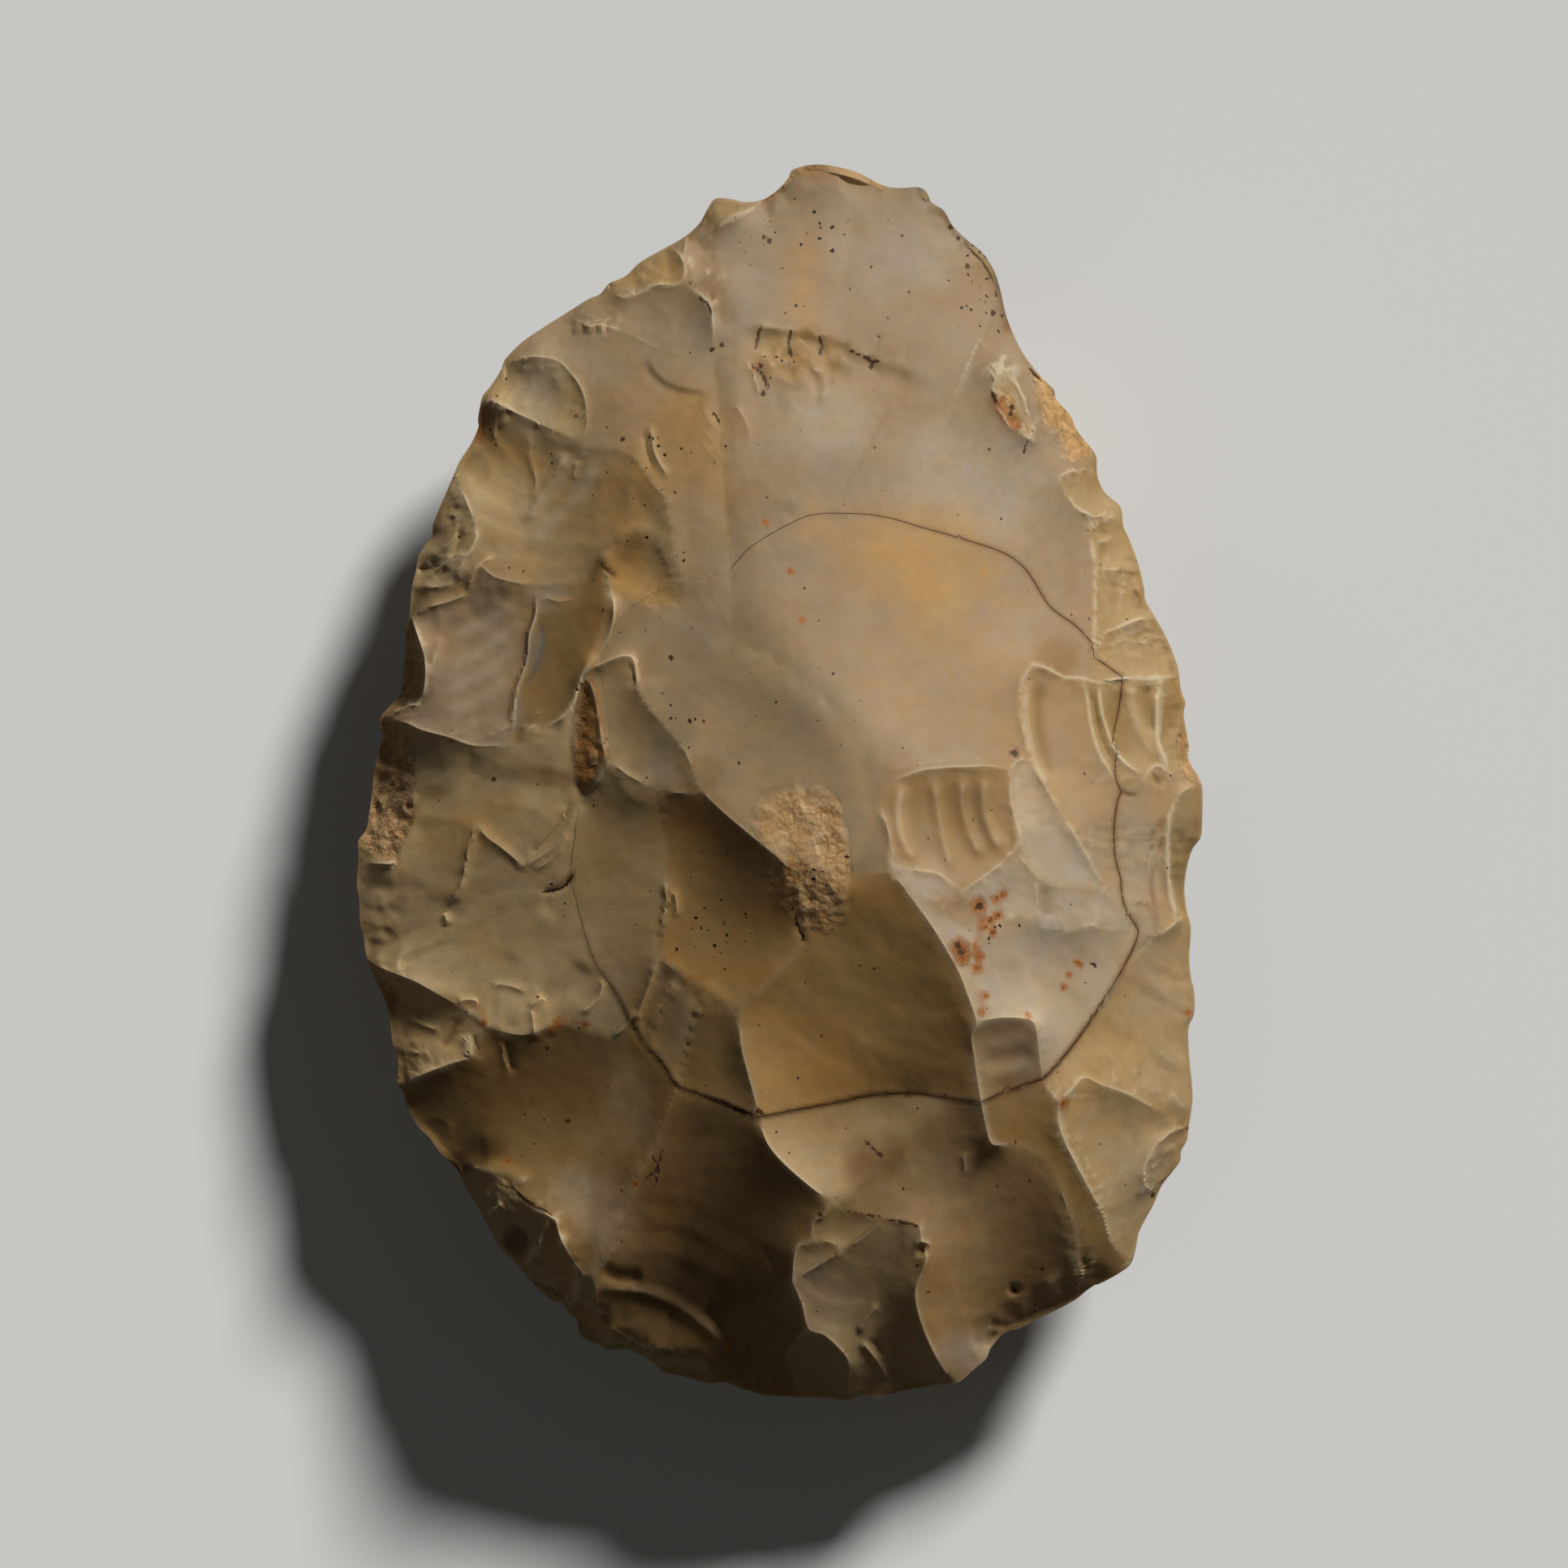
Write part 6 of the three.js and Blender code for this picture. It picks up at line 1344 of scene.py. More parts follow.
def paint_lines(face):
    """Stains along creases and edges, pale crests that are partly painted highlight, olive rib valleys that
    are partly painted shade, two walls in shade painted lighter, the brown hairline of the crack, and
    blue-black veins
    """
    face.streak(BROWN, 0.7, 0.3, CRACK[:HEALED_FROM - 2])
    face.streak(DARK_BROWN, 0.6, 0.3, CRACK[30:HEALED_FROM - 4])
    face.streak(OLIVE, 0.6, 0.7, *SHELF_PITS)
    # Olive in the valleys between the ribs and beside the edge crest: partly stain, partly painted shade
    face.streak(OLIVE, 0.5, 0.8, [(1279, 836), (1277, 862), (1280, 905), (1289, 945)], [(1364, 846),
        (1367, 880), (1376, 915), (1395, 940)], [(1409, 840), (1412, 870), (1424, 905)], [(1343, 842),
        (1347, 865), (1356, 900)], [(1380, 962), (1395, 968), (1405, 960)], [(1448, 1010), (1447, 1050),
        (1452, 1100)])
    face.streak("#a07c48", 0.6, 0.8, [(1437, 865), (1435, 885), (1441, 900)])
    # Painted highlight along crests that catch the light, partly also pale wear
    face.streak(WEAR_AND_HIGHLIGHT, 0.7, 0.2, FACE_RIDGES["ribs_w"][:7], [(1354, 838), (1353, 860), (1357, 885),
        (1371, 922), (1386, 942), (1402, 953)], RIB_BY_EDGE, EDGE_CREST, TERRACE_CREST, TERRACE_LIP,
        FACE_RIDGES["hinge_n"], [(577, 729), (588, 699), (612, 684)], [(582, 646), (588, 660), (576, 684),
        (552, 692), (540, 702)], [(545, 633), (564, 640), (563, 656)])
    # A pale stripe down the terrace wall: paler flint there, and painted light where the wall lies in shade
    face.streak("#e0bb84", 0.85, 0.6, [(748, 722), (751, 745), (748, 772), (737, 800), (722, 826)])
    face.streak(BROWN, 0.5, 0.3, EDGE_SCAR, [(1426, 1058), (1419, 1075), (1418, 1095), (1427, 1150)],
        [(1395, 1115), (1405, 1112), (1418, 1114)], [(1378, 971), (1390, 979), (1401, 974)], [(1418, 950),
        (1424, 958), (1430, 965)])
    face.streak(PALE, 0.5, 0.9, [(738, 562), (714, 610), (674, 650), (640, 674)], [(702, 556), (690, 590),
        (668, 620), (638, 642)], [(645, 735), (605, 765), (550, 792)], [(648, 762), (600, 800),
        (545, 828)], [(640, 795), (595, 832), (540, 858)], [(632, 832), (590, 862), (545, 882)])
    face.line(face.dark, 0.22, *SHELF_PITS[::2])
    face.streak(ORANGE, 0.5, 0.4, [(605, 688), (590, 697), (583, 710), (578, 728)], [(728, 830),
        (735, 860), (742, 900)], [(566, 1238), (590, 1240), (600, 1258)], [(688, 1255), (720, 1262)],
        [(1208, 1115), (1202, 1170), (1208, 1200)], [(1204, 1215), (1209, 1240), (1207, 1256)],
        [(845, 1201), (875, 1205)], [(825, 1174), (835, 1178)])
    face.streak(BROWN, 0.6, 0.3, [(659, 722), (658, 757), (650, 782), (647, 815), (631, 866), (631, 910)],
        [(713, 1064), (701, 1082), (683, 1095), (665, 1100)], [(583, 1275), (588, 1290), (589, 1302)],
        [(565, 1255), (558, 1275), (545, 1290)], [(1372, 703), (1400, 707)], [(940, 247), (955, 238),
        (972, 228)], [(543, 612), (541, 630), (545, 650)], [(748, 700), (760, 712)], [(1396, 724),
        (1404, 740), (1398, 752)], [(555, 1102), (568, 1112)], [(590, 1302), (560, 1312)], [(1086, 1500),
        (1043, 1536), (976, 1576)], [(1038, 1490), (1080, 1499), (1132, 1510)], [(740, 1562), (765, 1575),
        (790, 1572)], [(1448, 1396), (1462, 1390)], [(750, 1635), (800, 1663), (858, 1672)], [(655, 1580),
        (680, 1590), (690, 1600)])
    face.streak(BROWN, 0.7, 0.9, [(1220, 330), (1238, 365), (1246, 418)], [(1222, 482), (1232, 502),
        (1262, 538)])
    face.streak(ORANGE, 0.6, 0.8, [(590, 550), (594, 520), (598, 492)], [(1226, 484), (1236, 512),
        (1262, 536)])
    face.streak(ORANGE, 0.35, 1.2, [(484, 1212), (486, 1235), (480, 1250)], [(978, 212), (1030, 212),
        (1080, 228)])
    # Olive in the valleys of the ribbed scar: partly stain, partly painted shade
    face.streak(OLIVE, 0.4, 1.1, *([(x, 958), (x - 4, 990), (x + 6, 1030),
        (x + 22, 1066)] for x in (1130, 1168, 1200)))
    face.streak("#6a6462", 0.8, 0.28, SLIT)
    face.streak(GREY_BLUE, 0.5, 1.2, [(663, 775), (661, 800), (652, 828)])
    # Bright orange on the gash's east wall: iron stain, painted lighter as painted light on a wall in shade
    face.streak("#d09a5c", 0.7, 0.8, [(728, 845), (733, 870), (738, 900), (740, 925), (738, 950)])
    face.streak(GREY_BLUE, 0.7, 0.5, [(858, 365), (872, 375), (877, 390), (880, 400)])
    face.line(face.dark, 0.16, [(858, 366), (872, 376), (878, 392)], [(1267, 453), (1275, 462),
        (1282, 469)], [(636, 1465), (650, 1478), (680, 1495)], [(620, 1460), (637, 1465), (650, 1480),
        (675, 1492)], [(1043, 1489), (1086, 1498), (1132, 1509)], [(1265, 545), (1262, 552), (1260, 560)],
        [(880, 512), (886, 520), (890, 530)], [(1340, 1190), (1345, 1186), (1348, 1192)], [(1084, 1420),
        (1074, 1412), (1063, 1400)], [(802, 1418), (812, 1440), (806, 1462)], [(818, 1412), (808, 1440),
        (790, 1455)], [(975, 1115), (984, 1140), (993, 1162)], [(707, 1078), (700, 1088), (690, 1095),
        (668, 1100)], [(1045, 432), (1062, 440), (1090, 450)])
    face.line(face.dark, 0.3, [(866, 1348), (900, 1360), (926, 1371)], [(930, 1366), (941, 1369)],
        [(1221, 484), (1228, 500)])


def paint_marks(face):
    """Brown flecks and iron spots, and a scatter of faint ones all over"""
    face.dot(face.dark, 0.2, (950, 273), (1011, 282), (1045, 272), (1094, 273), (1111, 291), (1073, 330),
        (1047, 358), (924, 328), (880, 432), (1120, 361), (981, 378), (1008, 382), (906, 320), (968, 388),
        (1083, 416), (985, 532), (935, 549), (832, 609), (840, 555), (963, 609), (1086, 605), (945, 615),
        (1218, 555), (978, 447), (896, 552), (624, 467), (711, 514), (605, 529), (812, 541), (817, 605),
        (567, 662), (527, 688), (744, 752), (813, 760), (818, 859), (797, 778), (714, 784), (787, 885),
        (632, 1168), (463, 1165), (828, 885), (845, 935), (868, 890), (1037, 918), (1054, 888),
        (1101, 1143), (853, 1143), (893, 1137), (868, 1118), (893, 1193), (849, 1045), (895, 1050),
        (950, 1060), (1000, 1058), (1022, 1090), (884, 1245), (850, 1285), (1012, 1275), (1090, 1263),
        (983, 1327), (993, 1208), (575, 1358), (647, 1372), (672, 1379), (659, 1408), (743, 1421),
        (636, 1322), (590, 1290), (1340, 763), (1410, 785), (1255, 1062), (1340, 1040), (1219, 998),
        (1142, 1033), (1345, 965), (1353, 1408), (1285, 1376), (1275, 1615), (1143, 1590), (1228, 1460),
        (1248, 1475), (1250, 1405), (887, 1663), (921, 1613), (1083, 1453), (1112, 1463), (1095, 1418),
        (957, 1392), (1042, 1388))
    face.dot(face.dark, 0.34, (941, 293), (948, 297), (1235, 390), (1181, 293), (1171, 280), (1192, 328),
        (1220, 340), (1227, 362), (1223, 386), (1246, 503), (1244, 511), (877, 433), (890, 427),
        (940, 487), (768, 543), (610, 960), (675, 1290), (1084, 1421), (1136, 1538), (1249, 1588),
        (935, 1366), (1225, 1143), (1010, 1494), (700, 1380), (1462, 1390), (1420, 1472), (828, 811),
        (938, 452))
    face.dot(face.rusty, 0.4, (932, 455), (943, 645), (974, 705), (989, 765), (1204, 1179), (1265, 1250),
        (1328, 1187), (1309, 1215), (596, 1260), (688, 1259), (722, 1262), (627, 1431), (1200, 1165),
        (1213, 1225), (1207, 1245), (1325, 1185), (1315, 1200), (784, 1456), (895, 1658), (1463, 1248),
        (680, 1268))
    face.dot(face.rusty, 0.85, (1179, 1164), (1184, 1177), (1204, 1115))
    face.dot(face.rusty, 0.55, (1225, 1107), (1234, 1101), (1210, 1139), (1218, 1133), (1227, 1127),
        (688, 1259), (1205, 1176), (1202, 1192), (1221, 1147), (1308, 1357))
    face.dot(face.dark, 0.5, (1183, 1172), (1178, 1162), (1205, 1115), (1248, 928))
    face.dot(face.dark, 0.15, (1233, 1104), (1227, 1130), (1221, 1134), (1214, 1139), (1219, 1128),
        (1226, 1143), (1230, 1125), (1208, 1142), (1192, 1160), (1184, 1184))
    for share, centre, radii, turn in (
        (0.75, (1195, 350), (3.5, 6), -25), (0.5, (1230, 380), (1.2, 5), -15), (0.4, (975, 440), (7, 3), 0),
        (0.3, (1010, 1075), (4, 3), 0), (0.35, (1000, 300), (9, 6), 0), (0.2, (800, 600), (8, 9), 0),
        (0.2, (880, 900), (12, 5), 35), (0.2, (900, 1160), (8, 10), 0), (0.25, (1220, 1150), (6, 3), 0),
    ):
        face.flecked = np.maximum(face.flecked, share * face.cloud(centre, radii, turn))


def shape_reverse_face():
    """The reverse face, which the photograph doesn't show: broad scars round a flat rest"""
    face = Face(REVERSE_COLUMNS, REVERSE_ROWS)
    face.lock_ends(REVERSE_RIDGES.values())
    for drawn in REVERSE_RIDGES.values():
        face.trace(drawn)
    face.even_out()
    face.unfold()
    face.split()
    face.settle(REVERSE_HOLLOWS, -1)
    face.measure_inset()
    face.waver = noise(face.x, face.y, 5, 11)
    face.z = -face.z
    for scar, blow, spacing, height in REVERSE_RIPPLES:
        face.ripples(scar, blow, spacing, height, near=9, far=45, fade=6)
    face.trim_edge(110, 4.5, 0.6, 61)
    face.trim_edge(24, 8, 0.7, 62)
    face.crumble(0.35, 1.2, REVERSE_RIDGES["left"][1:], REVERSE_RIDGES["right_upper"][1:])
    face.step(0.5, 5, *REVERSE_STEPS, soft=0.3)
    above_rest = np.clip((EDGE_LEVEL - 0.6 - face.z) / 1.5, 0, 1)
    face.z += 0.06 * noise(face.x, face.y, 4, 12) * face.ramp * above_rest
    face.z = -np.minimum(face.z, EDGE_LEVEL)
    face.start_colours(BUFF)
    face.tint_scar(CREAM, (1000, 740), (840, 860), (1280, 1120), (700, 600), (860, 1640))
    face.tint_scar(OLD_CREAM, (1070, 480), (650, 900), (1060, 1000))
    face.tint_scar(LIGHT_BUFF, (1330, 560), (520, 1300), (1150, 1400))
    face.tint_scar(WARM_BROWN, (1270, 870), (680, 1250))
    face.tint_scar(SHADED_BROWN, (880, 1350), (500, 900))
    face.patch(CREAM, 0.7, (900, 800), (30, 40))
    face.patch(HONEY, 0.6, (1200, 1200), (20, 25))
    face.patch(GREY_WHITE, 0.7, (700, 1000), (14, 9), 30)
    face.patch(DEEP_HONEY, 0.6, (1000, 420), (12, 8), 20)
    face.patch(GREY_BLUE, 0.5, (1330, 1000), (8, 12))
    face.patch(BROWN, 0.35, (800, 1500), (14, 6), -25)
    face.streak(WARM_BROWN, 0.5, 1.6, *REVERSE_STEPS)
    face.dot(face.dark, 0.4, (905, 700), (1150, 930), (700, 1180), (1010, 470), (1230, 1190), (880, 1060))
    face.dot(face.rusty, 0.8, (1120, 905), (735, 900), (985, 1500))
    for share, centre, radii in (
        (0.5, (1120, 760), (14, 9)), (0.4, (760, 1420), (12, 9)), (0.3, (960, 520), (9, 14)),
    ):
        face.flecked = np.maximum(face.flecked, share * face.cloud(centre, radii))
    face.z = -face.z
    face.find_hollows()
    face.hollow *= 0.45 + 0.35 * np.clip(face.waver, -1, 1)
    face.z = -face.z
    face.z += EDGE_LEVEL + edge_wave(face.x, face.y)
    return face


# Putting the pieces together

MARKS = ("hollow", "dark", "rusty", "flecked", "grown")


class Shell:
    """The mesh of one piece as it grows"""

    def __init__(self):
        self.points, self.tints, self.marks, self.faces = [], [], [], []
        self.count = 0

    def layer(self, face, nodes, xyz):
        """Adds a copy of some nodes of a face, and returns where each node of the face is in the mesh."""
        where = np.full(len(face.x), -1)
        where[nodes] = self.count + np.arange(len(nodes))
        self.points.append(xyz)
        self.tints.append(face.tint[nodes])
        self.marks.append(np.stack([marks[nodes] for marks in (
            face.hollow, face.dark, face.rusty, face.flecked, face.grown)], axis=1))
        self.count += len(nodes)
        return where

    def skin(self, triangles):
        whole = (triangles[:, 0] != triangles[:, 1]) & (triangles[:, 1] != triangles[:, 2])
        whole &= triangles[:, 2] != triangles[:, 0]
        self.faces.append(triangles[whole])

    def wall(self, start, end, upper, lower):
        """Joins the border of a surface, whose edges run from start to end, to its copy lower down."""
        self.skin(np.stack([upper[end], upper[start], lower[start]], axis=1))
        self.skin(np.stack([upper[end], lower[start], lower[end]], axis=1))


class Stone:
    """Both faces and the seams that divide them into pieces"""

    def __init__(self, face, reverse):
        self.face, self.reverse = face, reverse
        self.names = ["flint_body", "cracked_lens", *INCLUSIONS]
        corners = face.triangles
        middle_x, middle_y = face.x[corners].mean(axis=1), face.y[corners].mean(axis=1)
        self.region = np.zeros(len(corners), int)
        for number, name in enumerate(self.names[1:], 1):
            chain = face.loops[name]
            loop = np.stack([face.x[chain], face.y[chain]], axis=1)
            self.region[inside(loop, middle_x, middle_y)] = number
        start = corners.ravel()
        end = corners[:, [1, 2, 0]].ravel()
        size = len(face.x)
        keys = start * size + end
        order = np.argsort(keys)
        back = end * size + start
        found = np.clip(np.searchsorted(keys[order], back), 0, len(keys) - 1)
        paired = keys[order][found] == back
        mates = np.where(paired, order[found], np.arange(len(keys))) // 3
        self.join_slivers(mates.reshape(-1, 3))
        region = np.repeat(self.region, 3)
        other = np.where(paired, self.region[mates], -1)
        seam = paired & (other != region)
        self.start, self.end, self.own, self.other = start[seam], end[seam], region[seam], other[seam]
        self.shifts = [self.shift(number) for number in range(len(self.names))]

    def join_slivers(self, mates):
        """Gives a triangle that juts into another piece by two of its sides to that piece."""
        for _ in range(3):
            for one, two in ((0, 1), (1, 2), (2, 0)):
                beyond = self.region[mates]
                juts = (beyond[:, one] == beyond[:, two]) & (beyond[:, one] != self.region)
                self.region = np.where(juts, beyond[:, one], self.region)

    def shift(self, number):
        """How far the border nodes of a piece move in, to leave the seam open"""
        face = self.face
        here = self.own == number
        start, end, other = self.start[here], self.end[here], self.other[here]
        gap = np.where((number < 2) & (other < 2), CRACK_GAP, SEAM_GAP)
        healed, _, _, _ = face.beside([*CRACK[HEALED_FROM - 2:], CRACK[0]], 1.0)
        gap[np.isin(start, healed)] = SEAM_GAP
        dx, dy = face.x[end] - face.x[start], face.y[end] - face.y[start]
        length = np.maximum(np.hypot(dx, dy), 1e-6)
        total = np.zeros((len(face.x), 2))
        edges = np.zeros(len(face.x))
        width = np.zeros(len(face.x))
        for nodes in (start, end):
            np.add.at(total, nodes, np.stack([-dy / length, dx / length], axis=1))
            np.add.at(edges, nodes, 1)
            np.add.at(width, nodes, gap / 2)
        size = np.maximum(np.hypot(*total.T), 0.5)
        far = width / np.maximum(edges, 1) * np.minimum(edges / size, 1.6)
        return total / size[:, None] * far[:, None]

    def border(self, number, other):
        here = (self.own == number) & (self.other == other)
        return self.start[here], self.end[here]

    def triangles(self, number):
        return self.face.triangles[self.region == number]

    def positions(self, nodes, number, drop=0):
        face = self.face
        xy = np.stack([face.x[nodes], face.y[nodes]], axis=1) + self.shifts[number][nodes]
        return np.concatenate([xy, (face.z[nodes] - drop)[:, None]], axis=1)

    def sunk(self, nodes, depth):
        """How far the bed of an inclusion lies below the surface: nothing at the cutting edge"""
        return np.minimum(depth, 0.4 * self.face.inset[nodes])

    def host(self, number):
        """The upper surface of the body or the lens, with the beds of its inclusions"""
        face, shell = self.face, Shell()
        hosted = [k for k, name in enumerate(self.names) if k > 1
                  and self.names.index(INCLUSIONS[name][0]) == number]
        nodes = set(np.unique(self.triangles(number)))
        for k in hosted:
            bed = np.unique(self.triangles(k))
            nodes |= set(bed[self.sunk(bed, LENS_DEPTH) < THINNEST])
        nodes = np.array(sorted(nodes))
        top = shell.layer(face, nodes, self.positions(nodes, number))
        shell.skin(top[self.triangles(number)])
        for k in hosted:
            depth = INCLUSIONS[self.names[k]][2] + SEAM_GAP
            bed = np.unique(self.triangles(k))
            bed = bed[self.sunk(bed, depth) >= THINNEST]
            low = shell.layer(face, bed, self.positions(bed, number, self.sunk(bed, depth)))
            low = np.where(low < 0, top, low)
            shell.skin(low[self.triangles(k)])
            start, end = self.border(number, k)
            shell.wall(start, end, top, low)
        return shell, top

    def bowl(self, shell, top, number, deeper):
        """The wall of the crack and the curved break under the lens"""
        face = self.face
        start, end = self.border(number, 1 - number)
        nodes = np.unique(np.concatenate([start, end]))
        rim = self.positions(nodes, number)
        middle = place([CRACK_MIDDLE])[0][:2]
        foot = rim[:, 2] - CRACK_WALL - deeper
        floor = foot.min() - LENS_DEPTH + CRACK_WALL
        upper = top
        rings = [(1, rim[:, 2] - 0.5), (1, foot)]
        for turn in np.linspace(0, math.pi / 2, 6)[1:]:
            spread = 0.25 + 0.75 * math.cos(turn)
            rings.append((spread, foot + (floor - foot) * math.sin(turn)))
        for spread, level in rings:
            xyz = np.concatenate([middle + (rim[:, :2] - middle) * spread, level[:, None]], axis=1)
            lower = shell.layer(face, nodes, xyz)
            shell.wall(start, end, upper, lower)
            upper = lower
        centre = shell.layer(face, nodes[:1], np.array([[*middle, floor]]))[nodes[0]]
        shell.skin(np.stack([upper[end], upper[start], np.full(len(start), centre)], axis=1))

    def inclusion(self, number):
        face, shell = self.face, Shell()
        depth = INCLUSIONS[self.names[number]][2]
        nodes = np.unique(self.triangles(number))
        top = shell.layer(face, nodes, self.positions(nodes, number))
        inner = nodes[self.sunk(nodes, depth) >= THINNEST]
        low = shell.layer(face, inner, self.positions(inner, number, self.sunk(inner, depth)))
        low = np.where(low < 0, top, low)
        triangles = self.triangles(number)
        shell.skin(top[triangles])
        shell.skin(low[triangles][:, ::-1])
        here = self.own == number
        shell.wall(self.start[here], self.end[here], top, low)
        return shell

    def add_reverse(self, shell, top):
        """The lower side of the body, joined to the rim of the upper side node by node"""
        reverse = self.reverse
        columns, rows = reverse.shape
        inner = np.flatnonzero(~reverse.rim)
        xyz = np.stack([reverse.x, reverse.y, reverse.z], axis=1)[inner]
        where = shell.layer(reverse, inner, xyz)
        rim = np.flatnonzero(reverse.rim)
        where[rim] = top[rim // rows * 2 * ROWS + rim % rows * 2]
        around = [(i, 0) for i in range(columns - 1)] + [(columns - 1, j) for j in range(rows - 1)]
        around += [(i, rows - 1) for i in range(columns - 1, 0, -1)]
        around += [(0, j) for j in range(rows - 1, 0, -1)]
        halfway = {}
        for (i, j), (k, m) in zip(around, around[1:] + around[:1]):
            ends = frozenset((int(where[i * rows + j]), int(where[k * rows + m])))
            halfway[ends] = int(top[(i + k) * ROWS + j + m])
        done, waiting = [], [tuple(t) for t in where[reverse.triangles[:, ::-1]].tolist()]
        while waiting:
            three = waiting.pop()
            for k in range(3):
                a, b, c = three[k], three[(k + 1) % 3], three[(k + 2) % 3]
                between = halfway.get(frozenset((a, b)))
                if between is not None:
                    waiting += [(a, between, c), (between, b, c)]
                    break
            else:
                done.append(three)
        shell.skin(np.array(done))


def add_piece(name, shell, material):
    """Makes the mesh of one piece, puts it in the place of its solid and gives it its finish."""
    mesh = bpy.data.meshes.new(name)
    points = np.concatenate(shell.points) * MM
    faces = np.concatenate(shell.faces)
    mesh.from_pydata(points.tolist(), [], faces.tolist())
    tint = mesh.attributes.new("tint", "FLOAT_COLOR", "POINT")
    colours = np.concatenate(shell.tints)
    tint.data.foreach_set("color", np.concatenate([colours, np.ones((len(colours), 1))], axis=1).ravel())
    marks = np.concatenate(shell.marks)
    for column, mark in enumerate(MARKS):
        layer = mesh.attributes.new(mark, "FLOAT", "POINT")
        layer.data.foreach_set("value", marks[:, column].copy())
    mesh.materials.append(material)
    piece = bpy.data.objects.new(name + "_surface", mesh)
    bpy.context.scene.collection.objects.link(piece)
    bpy.ops.object.select_all(action="DESELECT")
    piece.select_set(True)
    bpy.context.view_layer.objects.active = piece
    bpy.ops.object.shade_smooth_by_angle(angle=math.radians(24))
    piece.select_set(False)
    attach(piece, "root")
    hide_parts(name)
    return piece


# Finishes


def add_node(material, kind, settings=None, **links):
    """Adds a node. A link's name is the input's, with _ for a space, and its value a socket or a value."""
    tree = material.node_tree
    node = tree.nodes.new(kind)
    for key, value in (settings or {}).items():
        setattr(node, key, value)
    for key, value in links.items():
        socket = node.inputs[int(key[1:]) if key[1:].isdigit() else key.replace("_", " ")]
        if isinstance(value, bpy.types.NodeSocket):
            tree.links.new(value, socket)
        else:
            socket.default_value = value
    return node


def rgba(colour):
    return (*linear(colour), 1)


